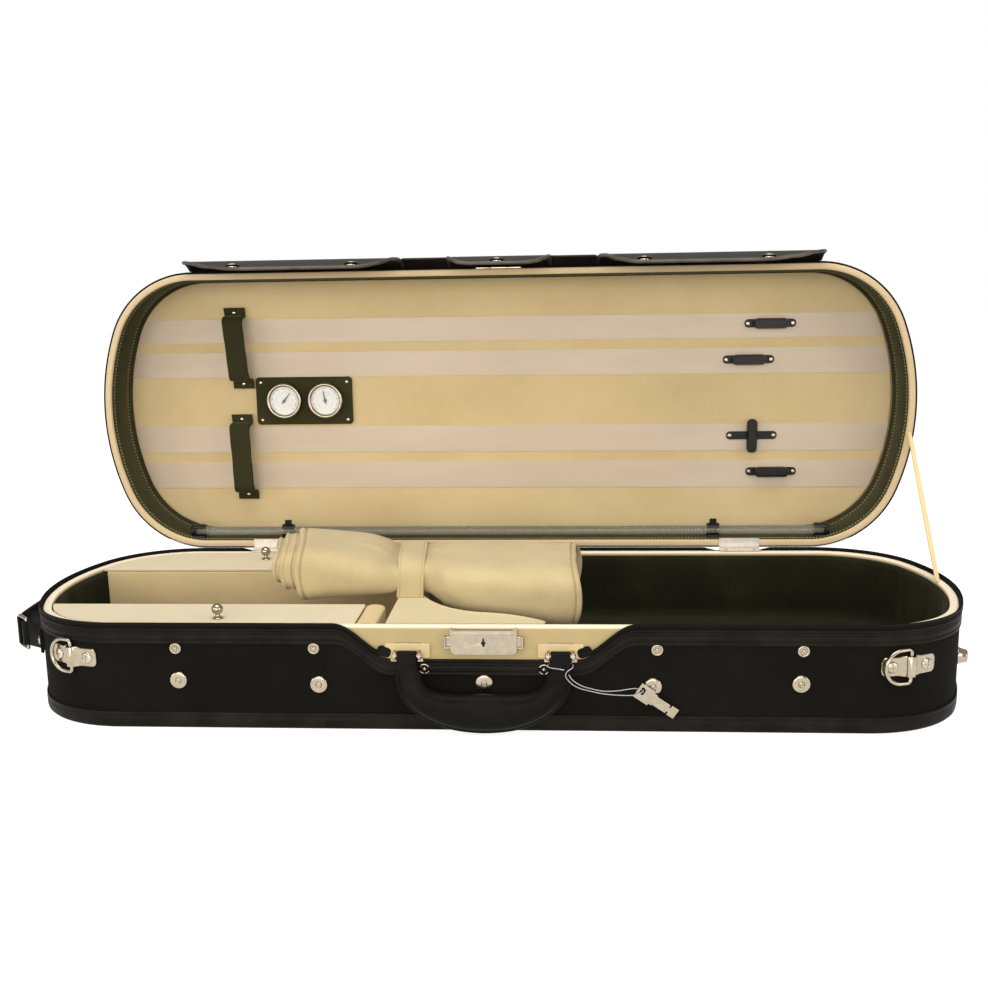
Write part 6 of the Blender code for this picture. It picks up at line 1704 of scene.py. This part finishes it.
# %% [markdown]
# ## The lid's shell
# The lid is drawn as it lies on the shut case, and a helper stands it up round the
# hinges. Outside it has the same cloth, a binding with two rows of stitches above the
# zipper and a piped seam round its top. Inside the rim a padded velvet band runs round
# the wall, with pairs of olive stitches along both edges.

# %% Cloth, bindings and zipper of the lid
LID_RIM_LOW, LID_WALL_LOW, LID_ZIP_TOP = 0.0915, 0.0958, 0.0980
CEILING, PANEL_FACE = 0.1530, 0.1495


def tray(name, look, section, smooth=60):
    """A tray: a section of (inset, height) points round the case, closed at both ends."""
    rows = [[(*at(p, inset), z) for inset, z in (section(p) if callable(section) else section)] for p in PLACES]
    made = rows_mesh(name, rows, look, closed_row=False, closed_rows=True, smooth=smooth)
    bm = bmesh.new()
    bm.from_mesh(made.data)
    uv = bm.loops.layers.uv["size"]
    bm.verts.ensure_lookup_table()
    count = len(rows[0])
    for column in (0, count - 1):
        ring = [bm.verts[i * count + column] for i in range(len(rows))]
        for loop in bm.faces.new(ring).loops:
            loop[uv].uv = loop.vert.co.xy
    bmesh.ops.recalc_face_normals(bm, faces=bm.faces)
    bm.to_mesh(made.data)
    bm.free()
    made.data.shade_smooth()
    made.data.set_sharp_from_angle(angle=math.radians(smooth))
    return made


def quarter(inset, top, radius, steps=8):
    """The rounded edge between a wall and the lid's top."""
    turns = [math.pi / 2 * i / steps for i in range(steps + 1)]
    return [(inset + radius * (1 - math.cos(a)), top - radius * (1 - math.sin(a))) for a in turns]


def on_back(place):
    return place[1] > HALF - 0.009


def make_lid_cover():
    def section(place):
        dipped = place[4] and abs(place[0]) <= DIP_INNER + FIT
        low = LID_WALL_LOW if dipped else LID_ZIP_TOP + FIT
        inside = [(0.0032, low)] + quarter(0.0032, 0.1558, 0.0108)
        return inside[::-1] + [(0.0020, low)] + quarter(0.0020, 0.1570, 0.0120)

    in_lid(tray("lid_cloth", WEAVE, section), "woven_cover", "lid_cover")
    edge, wide = LID_ZIP_TOP + 0.0006, 0.0118
    binding = [
        (0.0023, edge), (0.0013, edge), (0.0006, edge + 0.0005), (0.0004, edge + 0.0014), (0.0008, edge + 0.0021),
        (0.0014, edge + 0.0025), (0.0012, edge + 0.0030), (0.0010, edge + 0.0040), (0.0010, edge + wide - 0.0012),
        (0.0012, edge + wide - 0.0003), (0.0018, edge + wide), (0.0023, edge + wide),
    ]
    in_lid(band("lid_binding", BINDING, lambda p: binding, smooth=60), "black_leather")
    for index, rise in enumerate((0.0056, 0.0096)):
        points, outs = round_line(0.0010, edge + rise)
        stitches = row("lid_binding_stitches_" + str(index + 1), points, outs, THREAD_BLACK, 0.0034, (0.0023, 0.0007, 0.0005), True)
        in_lid(stitches, "black_leather")
    piping = [(0.0056 + u, 0.1532 + v) for u, v in circle(0.0015, 10)]
    in_lid(band("lid_piping", BINDING, lambda p: piping, smooth=80), "black_leather")


def make_lid_zipper():
    def tape(place):
        low = LID_WALL_LOW if on_back(place) else 0.0926
        return [(0.0019, low), (0.0019, LID_ZIP_TOP), (0.0006, LID_ZIP_TOP), (0.0003, LID_ZIP_TOP - 0.0010), (0.0004, low + 0.0008), (0.0008, low)]

    in_lid(band("lid_zipper_tape", TAPE, tape, zipped(), 60), "woven_cover", "lid_zipper")
    places = [p for p in zipped() if not on_back(p) or abs(p[0]) > CORNER_X]
    points, outs = round_line(0.0009, 0.0935, zipped())
    teeth = row("lid_zipper_teeth", points, outs, BLACK_PLASTIC, 0.00125, (0.0007, 0.0024, 0.0012), uneven=0.0)
    in_lid(teeth, "woven_cover")


make_lid_cover()
make_lid_zipper()


# %% Rim and padded band of the lid
def make_lid_rim():
    corners = [(0.0022, LID_RIM_LOW), (0.0084, LID_RIM_LOW), (0.0084, 0.0955), (0.0022, 0.0955)]
    section = rounded_corners(corners, (0.0016, 0.0018, 0.0006, 0.0004), 4)
    in_lid(band("lid_velour_rim", LID_RIM, lambda p: section, smooth=60), "beige_rim", "lid_rim")


def make_side_band():
    outer, inner, top = 0.0063, 0.0085, PANEL_FACE - FIT
    face = [(inner - 0.0012, LID_WALL_LOW), (inner + 0.0002, LID_WALL_LOW + 0.0006), (inner + 0.0004, LID_WALL_LOW + 0.0022)]
    face += [(inner - 0.0001, LID_WALL_LOW + 0.0040), (inner + 0.0001, LID_WALL_LOW + 0.0052), (inner - 0.0001, LID_WALL_LOW + 0.0064)]
    steps = 8
    start, end = LID_WALL_LOW + 0.0075, top - 0.0110
    for i in range(steps + 1):
        t = i / steps
        face.append((inner + 0.0022 * math.sin(math.pi * t) ** 0.7, start + (end - start) * t))
    face += [(inner - 0.0001, top - 0.0095), (inner + 0.0002, top - 0.0082), (inner - 0.0001, top - 0.0068)]
    face += [(inner + 0.0010, top - 0.0052), (inner + 0.0030, top - 0.0034), (inner + 0.0034, top - 0.0018), (inner + 0.0026, top - 0.0004)]
    section = face + [(inner, top), (outer, top), (outer, LID_WALL_LOW)]
    in_lid(band("padded_side_band", VELVET, lambda p: section, smooth=70), "green_velvet", "lid_side_band")
    heights = (LID_WALL_LOW + 0.0040, LID_WALL_LOW + 0.0064, top - 0.0095, top - 0.0068)
    for index, height in enumerate(heights):
        points = [(*at(p, inner + 0.0001), height) for p in PLACES]
        outs = [(p[2], p[3], 0) for p in PLACES]
        stitches = row("band_stitches_" + str(index + 1), points, outs, THREAD_GREEN, 0.0034, (0.0023, 0.0009, 0.0008), True)
        in_lid(stitches, "green_velvet")


make_lid_rim()
make_side_band()
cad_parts["lid_shell"].data.materials.clear()
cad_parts["lid_shell"].data.materials.append(VELOUR)

# %% [markdown]
# ## The panel and its ribbons
# A velour panel fills the lid. Four satin ribbons cross it in pairs, pulled flat and
# turned round its ends; the bows lie on them. The panel's edge is rounded like a
# cushion's, and at the right it stops short of the band, which leaves a shaded gap.

# %% Panel and ribbons
PANEL_INSET, PANEL_SHIFT = 0.0100, 0.0020
STAND = HINGE_Y + HINGE_Z


def half_length(y, inset):
    """How far the outline reaches along X at a place across the case."""
    turn = math.atan2(ACROSS, CORNER_X - END_X)
    if abs(y) <= (END_RADIUS - inset) * math.sin(turn):
        return END_X + math.sqrt((END_RADIUS - inset) ** 2 - y * y)
    return CORNER_X + math.sqrt(max(0.0, (CORNER_RADIUS - inset) ** 2 - (abs(y) - ACROSS) ** 2))


def panel_shift(x):
    return PANEL_SHIFT * min(1.0, max(0.0, (x - 0.2) / (CORNER_X - 0.2)))


def make_panel():
    rings = ((0.0020, 0.1527), (0.0, 0.1524), (0.0, 0.1508), (0.0004, 0.1501), (0.0012, 0.1496), (0.0026, PANEL_FACE), (0.010, PANEL_FACE))
    rows = []
    for place in PLACES:
        ring = []
        for inset, z in rings:
            x, y = at(place, PANEL_INSET + inset)
            ring.append((x - panel_shift(x), y, z))
        rows.append(ring)
    made = rows_mesh("velour_panel", rows, VELOUR, closed_row=False, closed_rows=True, smooth=60)
    bm = bmesh.new()
    bm.from_mesh(made.data)
    uv = bm.loops.layers.uv["size"]
    bm.verts.ensure_lookup_table()
    for column in (0, len(rings) - 1):
        ring = [bm.verts[i * len(rings) + column] for i in range(len(rows))]
        for loop in bm.faces.new(ring).loops:
            loop[uv].uv = loop.vert.co.xy
    bmesh.ops.recalc_face_normals(bm, faces=bm.faces)
    bm.to_mesh(made.data)
    bm.free()
    in_lid(made, "tan_velour", "lid_panel")


RIBBONS = ((0.3223, 0.2980), (0.2877, 0.2618), (0.2094, 0.1817), (0.1711, 0.1431))


def make_ribbon(name, high, low):
    rows = []
    steps = 90
    for i in range(steps + 1):
        t = i / steps
        section = []
        for edge, z_off in ((high, 0.0), (low, 0.0), (low, 0.0005), (high, 0.0005)):
            y = STAND - edge - 0.0010 + 0.0022 * i / steps
            left = -half_length(y, PANEL_INSET) + 0.0006
            right = half_length(y, PANEL_INSET)
            right -= panel_shift(right) + 0.0006
            x = left + (right - left) * t
            end = min(x - left, right - x)
            drop = 0.0004 * max(0.0, 1 - end / 0.0020) ** 2
            slack = 0.00012 * noise.noise(Vector((x * 9, edge * 30, 1.3)))
            section.append((x, y, PANEL_FACE - 0.0006 + z_off + drop - slack))
        rows.append(section)
    made = rows_mesh(name, rows, SATIN, smooth=60)
    in_lid(made, "tan_velour")


make_panel()
for index, (high, low) in enumerate(RIBBONS):
    make_ribbon("satin_ribbon_" + str(index + 1), high, low)

# %% [markdown]
# ## Bow holders
# At the right each pair of bows is held by turning toggles on plates, each plate fixed
# with two screws. At the left the tips slip under velvet sleeves: arched bands whose
# ends are pinned to the panel and stand up a little at their corners.

# %% Screws, pins and toggles
DOWN = (0, 0, -1)


def on_panel(x, height, off=0.0):
    """A place on the panel's face, in the shut lid, from how high it stands when open."""
    return x, STAND - height, PANEL_FACE - off


TOGGLES = ((0.273, 0.2244), (0.252, 0.1880), (0.257, 0.1096), (0.278, 0.0717))


def make_toggles():
    screws = []
    for index, (x, reach) in enumerate(TOGGLES):
        name = str(index + 1)
        in_place = refined("toggle_plate_" + name, "holder_plate_" + name, BLACK_PLASTIC, 0.0003, 2, 30)
        stand_for(in_place, "lid", "black_plastic", "toggle_plate_" + name)
        bar = refined("toggle_" + name, "holder_toggle_" + name, BLACK_PLASTIC, 0.0012, 4, 40)
        stand_for(bar, "turn_" + name, "black_plastic", "toggle_" + name)
        for side in (-1, 1):
            screws.append(((x + side * 0.0225, HINGE_Y - reach, PANEL_FACE - 0.0019), DOWN, (1, 0.4 * side, 0)))
    heads = set_out("holder_screws", dome("screw", 0.0023, 0.0009, NICKEL, 0.0005), NICKEL, screws)
    in_lid(heads, "nickel")


make_toggles()


# %% Bow sleeves
SLEEVES = ((-0.2785, 0.2062, 0.084, -0.0032), (-0.2782, 0.0910, 0.091, -0.0014))


def make_sleeve(index, x, reach, length, lean):
    y0 = HINGE_Y - reach - length / 2
    top = PANEL_FACE - FIT
    wide, tall, thick, foot = 0.0225, 0.0185, 0.0026, 0.0100
    arch = [(0.0, 0.0010), (foot * 0.5, 0.0014), (foot * 0.9, 0.0022), (foot + 0.0006, 0.0070), (foot + 0.0010, tall * 0.70)]
    arch += [(foot + 0.0030, tall * 0.93), (foot + 0.0080, tall), (length * 0.35, tall * 1.0), (length * 0.5, tall * 0.985)]
    arch += [(length - u, v) for u, v in reversed(arch[:-1])]
    fine = smooth_route([(0, u, v) for u, v in arch], 0.0016)
    rows = []
    for k, point in enumerate(fine):
        t = point.y / length
        before, after = fine[max(0, k - 1)], fine[min(len(fine) - 1, k + 1)]
        ahead = (after - before).normalized()
        normal = Vector((0, -ahead.z, ahead.y))
        middle = x + lean * (1 - 2 * t) * 1.0
        narrow = 1.0 - 0.06 * math.sin(math.pi * t) + 0.012 * math.sin(23 * t)
        half = wide / 2 * narrow
        ring = []
        for u, v in ((-1, 0.35), (-0.96, 0.85), (-0.8, 1.0), (-0.4, 1.06), (0, 1.08), (0.4, 1.06), (0.8, 1.0), (0.96, 0.85), (1, 0.35), (0.97, 0.0), (0, 0.0), (-0.97, 0.0)):
            curl = 0.0018 * abs(u) ** 6 * max(0.0, 1 - min(t, 1 - t) / 0.10)
            off = point + normal * (thick * v)
            ring.append((middle + half * u, y0 + off.y, top - off.z - curl))
        rows.append(ring)
    made = rows_mesh("velvet_sleeve_" + str(index), rows, VELVET, smooth=70)
    in_lid(made, "green_velvet", "bow_sleeve_" + str(index))
    return [((x + lean, y0 + foot * 0.5, top - 0.0044), DOWN, (1, 0, 0)), ((x - lean, y0 + length - foot * 0.5, top - 0.0044), DOWN, (1, 0, 0))]


pins = []
for index, sizes in enumerate(SLEEVES):
    pins += make_sleeve(index + 1, *sizes)

# %% [markdown]
# ## The gauges
# A velvet covered strip carries a thermometer and a hygrometer. Each has a bright
# bezel, a white dial with a ring of fine marks, and a needle on a pin.
# The marks are generic: ticks only, longer at every fifth.

# %% Gauge panel and dials
GAUGES = ((-0.2324, "1"), (-0.1885, "2"))
NEEDLE_ANGLES = {"1": -52, "2": -101}
GAUGE_Y = HINGE_Y - 0.1508


def ticks(name, x, radius, count, size):
    points, outs, aheads = [], [], []
    for i in range(count):
        a = math.radians(-225) + math.radians(270) * i / (count - 1)
        points.append((x + radius * math.cos(a), GAUGE_Y + radius * math.sin(a), 0.1430))
        aheads.append((math.cos(a), math.sin(a), 0))
    bm = bmesh.new()
    bmesh.ops.create_cube(bm, size=1.0)
    bmesh.ops.scale(bm, vec=size, verts=bm.verts)
    mark = from_bmesh(name + "_mark", bm, MARK_BLACK)
    return set_out(name, mark, MARK_BLACK, [(p, DOWN, a) for p, a in zip(points, aheads)])


def make_gauge(x, index):
    low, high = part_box("gauge_" + index)
    face = STAND_UP_FACE
    bezel = [(0.0187, face + 0.0055), (0.0188, face + 0.0022), (0.0185, face + 0.0010), (0.0178, face + 0.0002), (0.0170, face), (0.0162, face + 0.0002),
             (0.0155, face + 0.0008), (0.0150, face + 0.0017), (0.0147, face + 0.0026), (0.0147, face + 0.0055)]
    rows = [[(x + r * math.cos(math.tau * i / 64), GAUGE_Y + r * math.sin(math.tau * i / 64), z) for i in range(64)] for r, z in bezel]
    ring = rows_mesh("bezel_" + index, rows, NICKEL, closed_rows=True, smooth=60)
    in_lid(ring, "nickel", "gauge_" + index)
    dial = [(0.00002, face + 0.0026), (0.0154, face + 0.0026), (0.0154, face + 0.0034), (0.00002, face + 0.0034)]
    plate = turned("dial_" + index, dial, DIAL_WHITE, 48)
    plate.data.transform(Matrix.Translation((x, GAUGE_Y, 0)))
    in_lid(plate, "white_dial")
    marks = joined("dial_marks_" + index, [
        ticks("fine_ticks", x, 0.0133, 51, (0.0012, 0.00016, 0.0002)),
        ticks("long_ticks", x, 0.0128, 11, (0.0022, 0.00030, 0.0002)),
        ticks("inner_ticks", x, 0.0088, 31, (0.0008, 0.00014, 0.0002)),
    ])
    for vertex in marks.data.vertices:
        vertex.co.z += face + 0.0025 - 0.1430
    in_lid(marks, "white_dial")
    pin = turned("dial_pin_" + index, [(0.0009, face + 0.0027), (0.0009, face + 0.0010), (0.0007, face + 0.0007), (0.00002, face + 0.0006)], NICKEL, 20)
    pin.data.transform(Matrix.Translation((x, GAUGE_Y, 0)))
    in_lid(pin, "nickel")
    hub = turned("hub", [(0.0010, face + 0.0020), (0.0016, face + 0.0020), (0.0016, face + 0.0014), (0.0010, face + 0.0014)], NEEDLE_STEEL, 20)
    a = math.radians(NEEDLE_ANGLES[index])
    shape = [(-0.0036, 0.0005), (-0.0012, 0.0004), (0.0012, 0.0006), (0.0112, 0.00014)]
    shape += [(u, -v) for u, v in reversed(shape)]
    rows = [[(u * math.cos(a) - v * math.sin(a), u * math.sin(a) + v * math.cos(a), z) for u, v in shape] for z in (face + 0.0015, face + 0.0019)]
    needle = joined("dial_needle_" + index, [hub, rows_mesh("pointer", rows, NEEDLE_STEEL)])
    needle.data.transform(Matrix.Translation((x, GAUGE_Y, 0)))
    in_lid(needle, "black_plastic", "needle_" + index, body="pointer_" + index)


STAND_UP_FACE = PANEL_FACE - FIT - 0.003 - FIT - 0.006
for x, index in GAUGES:
    make_gauge(x, index)
strip = refined("gauge_panel", "gauge_strip", VELVET, 0.0008, 3, 30)
stand_for(strip, "lid", "green_velvet", "gauge_panel")
for x in (-0.2575, -0.1655):
    for height in (0.2570, 0.2170):
        pins.append((on_panel(x, height, 0.0031), DOWN, (1, 0, 0)))
heads = set_out("pins", dome("pin", 0.0021, 0.0011, NICKEL), NICKEL, pins)
in_lid(heads, "nickel")
print("pins", len(pins))

# %% [markdown]
# ## The string tube
# A clear tube for spare strings lies along the band near the hinges, held by black
# plastic clips. The two end clips also close the tube's ends.

# %% Tube and clips
TUBE_ENDS, TUBE_RADIUS = (-0.328, 0.330), 0.0052
TUBE_Y, TUBE_Z = HINGE_Y - 0.0186, HINGE_Z + 0.0190
CLIPS = ((-0.321, True), (-0.226, False), (0.215, False), (0.323, True))


def make_tube():
    rows = []
    profile = [(TUBE_RADIUS - 0.0010, TUBE_ENDS[0]), (TUBE_RADIUS, TUBE_ENDS[0]), (TUBE_RADIUS, TUBE_ENDS[1]), (TUBE_RADIUS - 0.0010, TUBE_ENDS[1])]
    for r, x in profile:
        rows.append([(x, TUBE_Y + r * math.cos(math.tau * i / 32), TUBE_Z + r * math.sin(math.tau * i / 32)) for i in range(32)])
    in_lid(rows_mesh("clear_string_tube", rows, CLEAR_TUBE, closed_rows=True, smooth=40), "clear_plastic", "string_tube")


def make_clip(index, x, at_end):
    outer, wide = TUBE_RADIUS + 0.0016, 0.0120
    inner = TUBE_RADIUS + 0.0002
    section = []
    for i in range(25):
        a = math.radians(-60) + math.radians(300) * i / 24
        section.append((outer * math.cos(a), outer * math.sin(a)))
    for i in range(25):
        a = math.radians(240) - math.radians(300) * i / 24
        section.append((inner * math.cos(a), inner * math.sin(a)))
    rows = [[(px, TUBE_Y - u, TUBE_Z + v) for u, v in section] for px in (x - wide / 2, x - wide / 2 + 0.0008, x + wide / 2 - 0.0008, x + wide / 2)]
    clip = rows_mesh("clip", rows, BLACK_PLASTIC, smooth=40)
    parts = [clip]
    foot_to = HALF - 0.0085 - (CORNER_RADIUS - 0.0085 - math.sqrt((CORNER_RADIUS - 0.0085) ** 2 - max(0.0, abs(x) + wide / 2 - CORNER_X) ** 2))
    foot = [(TUBE_Y + inner * 0.86, TUBE_Z - 0.0048), (foot_to, TUBE_Z - 0.0060), (foot_to, TUBE_Z + 0.0060), (TUBE_Y + inner * 0.86, TUBE_Z + 0.0048)]
    rows = [[(px, y, z) for y, z in foot] for px in (x - wide / 2, x + wide / 2)]
    parts.append(rows_mesh("foot", rows, BLACK_PLASTIC))
    if at_end:
        side = 1 if x > 0 else -1
        end = TUBE_ENDS[1] if x > 0 else TUBE_ENDS[0]
        cap = turned("cap", [(0.00002, 0.0016), (TUBE_RADIUS + 0.0008, 0.0014), (TUBE_RADIUS + 0.0014, 0.0006), (TUBE_RADIUS + 0.0014, -0.0040), (TUBE_RADIUS + 0.0001, -0.0040), (TUBE_RADIUS + 0.0001, 0.0002), (0.00002, 0.0002)], BLACK_PLASTIC)
        cap.data.transform(Matrix.Translation((end, TUBE_Y, TUBE_Z)) @ Matrix.Rotation(side * math.pi / 2, 4, "Y"))
        parts.append(cap)
    else:
        tab = [(-0.0035, 0.0002), (0.0035, 0.0002), (0.0035, 0.0046), (0.0028, 0.0052), (-0.0028, 0.0052), (-0.0035, 0.0046)]
        y = TUBE_Y - outer
        rows = [[(x + u, y - v + 0.0008, z) for u, v in tab] for z in (TUBE_Z - 0.0010, TUBE_Z + 0.0010)]
        parts.append(rows_mesh("tab", rows, BLACK_PLASTIC))
    in_lid(joined("tube_clip_" + str(index), parts), "black_plastic")


make_tube()
for index, (x, at_end) in enumerate(CLIPS):
    make_clip(index + 1, x, at_end)

# %% [markdown]
# ## The weather flap
# Three stiff flaps hang from the lid's front edge. On the shut case they cover the
# zipper and snap down. Each is cloth over card, arched away from the case, with a
# rolled leather edge all along its free side. The snaps sit inside, near that edge.

# %% Flaps
FLAP_ROOT, FLAP_THICK = 0.110, 0.0020
ARCH = ((0, 0.0013), (0.008, 0.0062), (0.018, 0.0102), (0.030, 0.0112), (0.042, 0.0095), (0.054, 0.0062), (0.063, 0.0038))
COVER_Y = -HALF + 0.0020


def arch_out(down):
    for one, two in zip(ARCH, ARCH[1:]):
        if down <= two[0]:
            t = (down - one[0]) / (two[0] - one[0])
            return one[1] + (two[1] - one[1]) * t
    return ARCH[-1][1]


def soft_arch(down):
    near = [arch_out(max(0.0, min(0.063, down + d))) for d in (-0.004, -0.002, 0, 0.002, 0.004)]
    return sum(near) / 5 if down > 0.002 else arch_out(down)


OUTER_END = ((0.0, 0.42), (0.012, 0.60), (0.036, 0.84), (0.072, 1.0))
INNER_END = ((0.0, 0.22), (0.008, 0.50), (0.022, 0.82), (0.044, 1.0))
MIDDLE_END = ((0.0, 0.40), (0.006, 0.74), (0.016, 0.94), (0.026, 1.0))
FLAPS = (
    ("left", -0.313, -0.097, 0.063, OUTER_END, INNER_END),
    ("middle", -0.050, 0.050, 0.057, MIDDLE_END, MIDDLE_END),
    ("right", 0.097, 0.313, 0.063, INNER_END, OUTER_END),
)


def keep_share(away, table):
    for one, two in zip(table, table[1:]):
        if away <= two[0]:
            t = (away - one[0]) / (two[0] - one[0])
            return one[1] + (two[1] - one[1]) * (1 - (1 - t) ** 2)
    return table[-1][1]


def flap_point(x, down, lift=0.0):
    out = soft_arch(down)
    slope = (soft_arch(down + 0.001) - soft_arch(max(0.0, down - 0.001))) / 0.002
    normal = Vector((0, -1, -slope)).normalized()
    return Vector((x, COVER_Y - out, FLAP_ROOT - down)) + normal * lift


def make_flap(name, x0, x1, chord, left, right):
    steps, ups = 64, 16
    rows, edge = [], []
    for i in range(steps + 1):
        t = i / steps
        x = x0 + (x1 - x0) * (t - 0.12 * math.sin(math.tau * t) / math.tau * 2)
        keep = min(keep_share(x - x0, left), keep_share(x1 - x, right))
        reach = chord * keep
        outside = [flap_point(x, reach * k / ups, FLAP_THICK / 2) for k in range(ups + 1)]
        inside = [flap_point(x, reach * k / ups, -FLAP_THICK / 2) for k in range(ups + 1)]
        rows.append(outside + inside[::-1])
        edge.append(flap_point(x, reach))
    # The flap's cloth takes the paler copy of the black leather: painted light on its underside.
    cloth = rows_mesh("flap_" + name, rows, FLAP_LEATHER_PAINTED_LIGHT, smooth=60)
    start = [flap_point(x0, 0.003 + (chord * left[0][1] - 0.003) * k / 8) for k in range(8)]
    end = [flap_point(x1, 0.003 + (chord * right[0][1] - 0.003) * k / 8) for k in range(8)]
    line = smooth_route(start + edge + end[::-1], 0.0030)
    # The rolled edge takes the paler leather: a painted highlight along the piping.
    rope = section_tube("flap_edge_" + name, line, circle(0.0020, 10, 0.9), PIPING_PAINTED_HIGHLIGHT, up=(0, -1, 0), smooth=80)
    for part, slot in ((cloth, "woven_cover"), (rope, "black_leather")):
        in_lid(part, slot, body="flap")
    points = [flap_point(p.x, max(0.004, FLAP_ROOT - p.z - 0.0045), -FLAP_THICK / 2) for p in edge]
    stitches = row("flap_stitches_" + name, points, [(0, 1, 0)] * len(points), THREAD_BLACK, 0.0034, (0.0024, 0.0007, 0.0006))
    in_lid(stitches, "black_leather", body="flap")
    return cloth


flap_parts = [make_flap(*sizes) for sizes in FLAPS]
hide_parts("weather_flap")


def make_flap_root():
    """The strip that joins the three flaps and is sewn to the lid."""
    rows = []
    for i in range(61):
        x = -0.313 + 0.626 * i / 60
        far = 0.026 if 0.052 < abs(x) < 0.095 else 0.0085
        outside = [flap_point(x, far * k / 6, FLAP_THICK * 0.35) for k in range(7)]
        inside = [flap_point(x, far * k / 6, -FLAP_THICK * 0.35) for k in range(7)]
        rows.append(outside + inside[::-1])
    in_lid(rows_mesh("flap_root_strip", rows, FLAP_LEATHER_PAINTED_LIGHT, smooth=60), "woven_cover", body="flap")


make_flap_root()


# %% Snaps of the flaps
def snap_profile(radius):
    return [(radius * 0.9, -0.0004), (radius, 0.0), (radius * 0.98, 0.0006), (radius * 0.84, 0.0010), (radius * 0.66, 0.0009), (radius * 0.60, 0.0004),
            (radius * 0.42, 0.0004), (radius * 0.36, 0.0014), (radius * 0.20, 0.0017), (0.00002, 0.0018)]


def make_flap_snaps():
    inside, caps = [], []
    for x in (-0.2560, -0.1400, 0.1400, 0.2560, 0.0):
        down = 0.0545 if x else 0.0505
        slope = (soft_arch(down + 0.001) - soft_arch(down - 0.001)) / 0.002
        inside.append((flap_point(x, down, -FLAP_THICK / 2), (0, 1, slope), (1, 0, 0)))
        caps.append((flap_point(x, down, FLAP_THICK / 2), (0, -1, -slope), (1, 0, 0)))
    cap = [(0.0066, -0.0004), (0.0070, 0.0001), (0.0069, 0.0005), (0.0061, 0.0009), (0.0040, 0.0012), (0.00002, 0.0013)]
    heads = set_out("flap_snaps", turned("snap", snap_profile(0.0062), NICKEL), NICKEL, inside)
    in_lid(heads, "nickel", body="flap")
    in_lid(set_out("flap_snap_caps", turned("cap", cap, NICKEL), NICKEL, caps), "nickel", body="flap")


make_flap_snaps()

# %% [markdown]
# ## Hinges, striker and stay
# The solids of these have the right shapes. They get rounded edges and screws, and the
# stay is a narrow ribbon drawn straight from base to lid, turning as it goes.

# %% Hinges, striker and stay
def make_hinges():
    for side, x in (("left", -0.240), ("right", 0.240)):
        # The leaves take the whiter nickel: painted reflection.
        stand_for(refined("hinge_base_" + side, "hinge_leaf_base_" + side, HINGE_PAINTED_REFLECTION, 0.0002, 2), "base", "nickel", "hinge_base_" + side)
        stand_for(refined("hinge_lid_" + side, "hinge_leaf_lid_" + side, HINGE_PAINTED_REFLECTION, 0.0002, 2), "lid", "nickel", "hinge_lid_" + side)
        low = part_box("hinge_base_" + side)
        spots = [((x + d, HALF - 0.0050, low[1].z), (0, 0, 1), (1, d * 30, 0)) for d in (-0.014, 0.014)]
        heads = set_out("hinge_screws_" + side, dome("screw", 0.0019, 0.0003, NICKEL), NICKEL, spots)
        stand_for(heads, "base", "nickel")


def make_stay():
    low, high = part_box("lid_stay")
    foot = Vector(((low.x + high.x) / 2 - 0.0020, low.y + 0.0030, low.z + 0.0006))
    head = Vector(((low.x + high.x) / 2 + 0.0016, high.y - 0.0034, high.z - 0.0006))
    rows = []
    for i in range(41):
        t = i / 40
        point = foot.lerp(head, t)
        turn = math.radians(58 + 26 * math.sin(math.pi * t))
        across = Vector((math.sin(turn), math.cos(turn) * 0.65, -math.cos(turn) * 0.76)) * 0.0023
        thick = Vector((math.cos(turn), -math.sin(turn) * 0.65, math.sin(turn) * 0.76)) * 0.0005
        rows.append([point + across * u + thick * v for u, v in ((-1, -1), (1, -1), (1, 1), (-1, 1))])
    made = rows_mesh("stay_ribbon", rows, STAY_CLOTH, smooth=40)
    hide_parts("lid_stay")
    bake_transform(made)


make_hinges()
striker = refined("lock_striker", "striker_plate", NICKEL, 0.0003, 2)
striker.data.transform(OPENED.inverted())
for vertex in striker.data.vertices:
    vertex.co.x *= LOCK_NARROWER
    vertex.co.y += 0.0002
    vertex.co.z = LOCK_TOP - (LOCK_TOP - vertex.co.z) * LOCK_SHORTER
in_lid(striker, "nickel", "lock_striker")
make_stay()

# %% [markdown]
# ## A table of looks by slot name

# %% Slots
SLOT_LOOKS = {
    "woven_cover": WEAVE, "black_leather": LEATHER, "beige_rim": RIM_CLOTH, "tan_velour": VELOUR,
    "green_velvet": VELVET, "cream_blanket": BLANKET, "fibreglass": MOULDING, "nickel": NICKEL,
    "black_plastic": BLACK_PLASTIC, "clear_plastic": CLEAR_TUBE, "white_dial": DIAL_WHITE,
    "stay_ribbon": STAY_CLOTH, "white_cord": CORD_LOOK,
}
print({name: [m.name for m in made.data.materials] for name, made in list(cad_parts.items())[:3]})
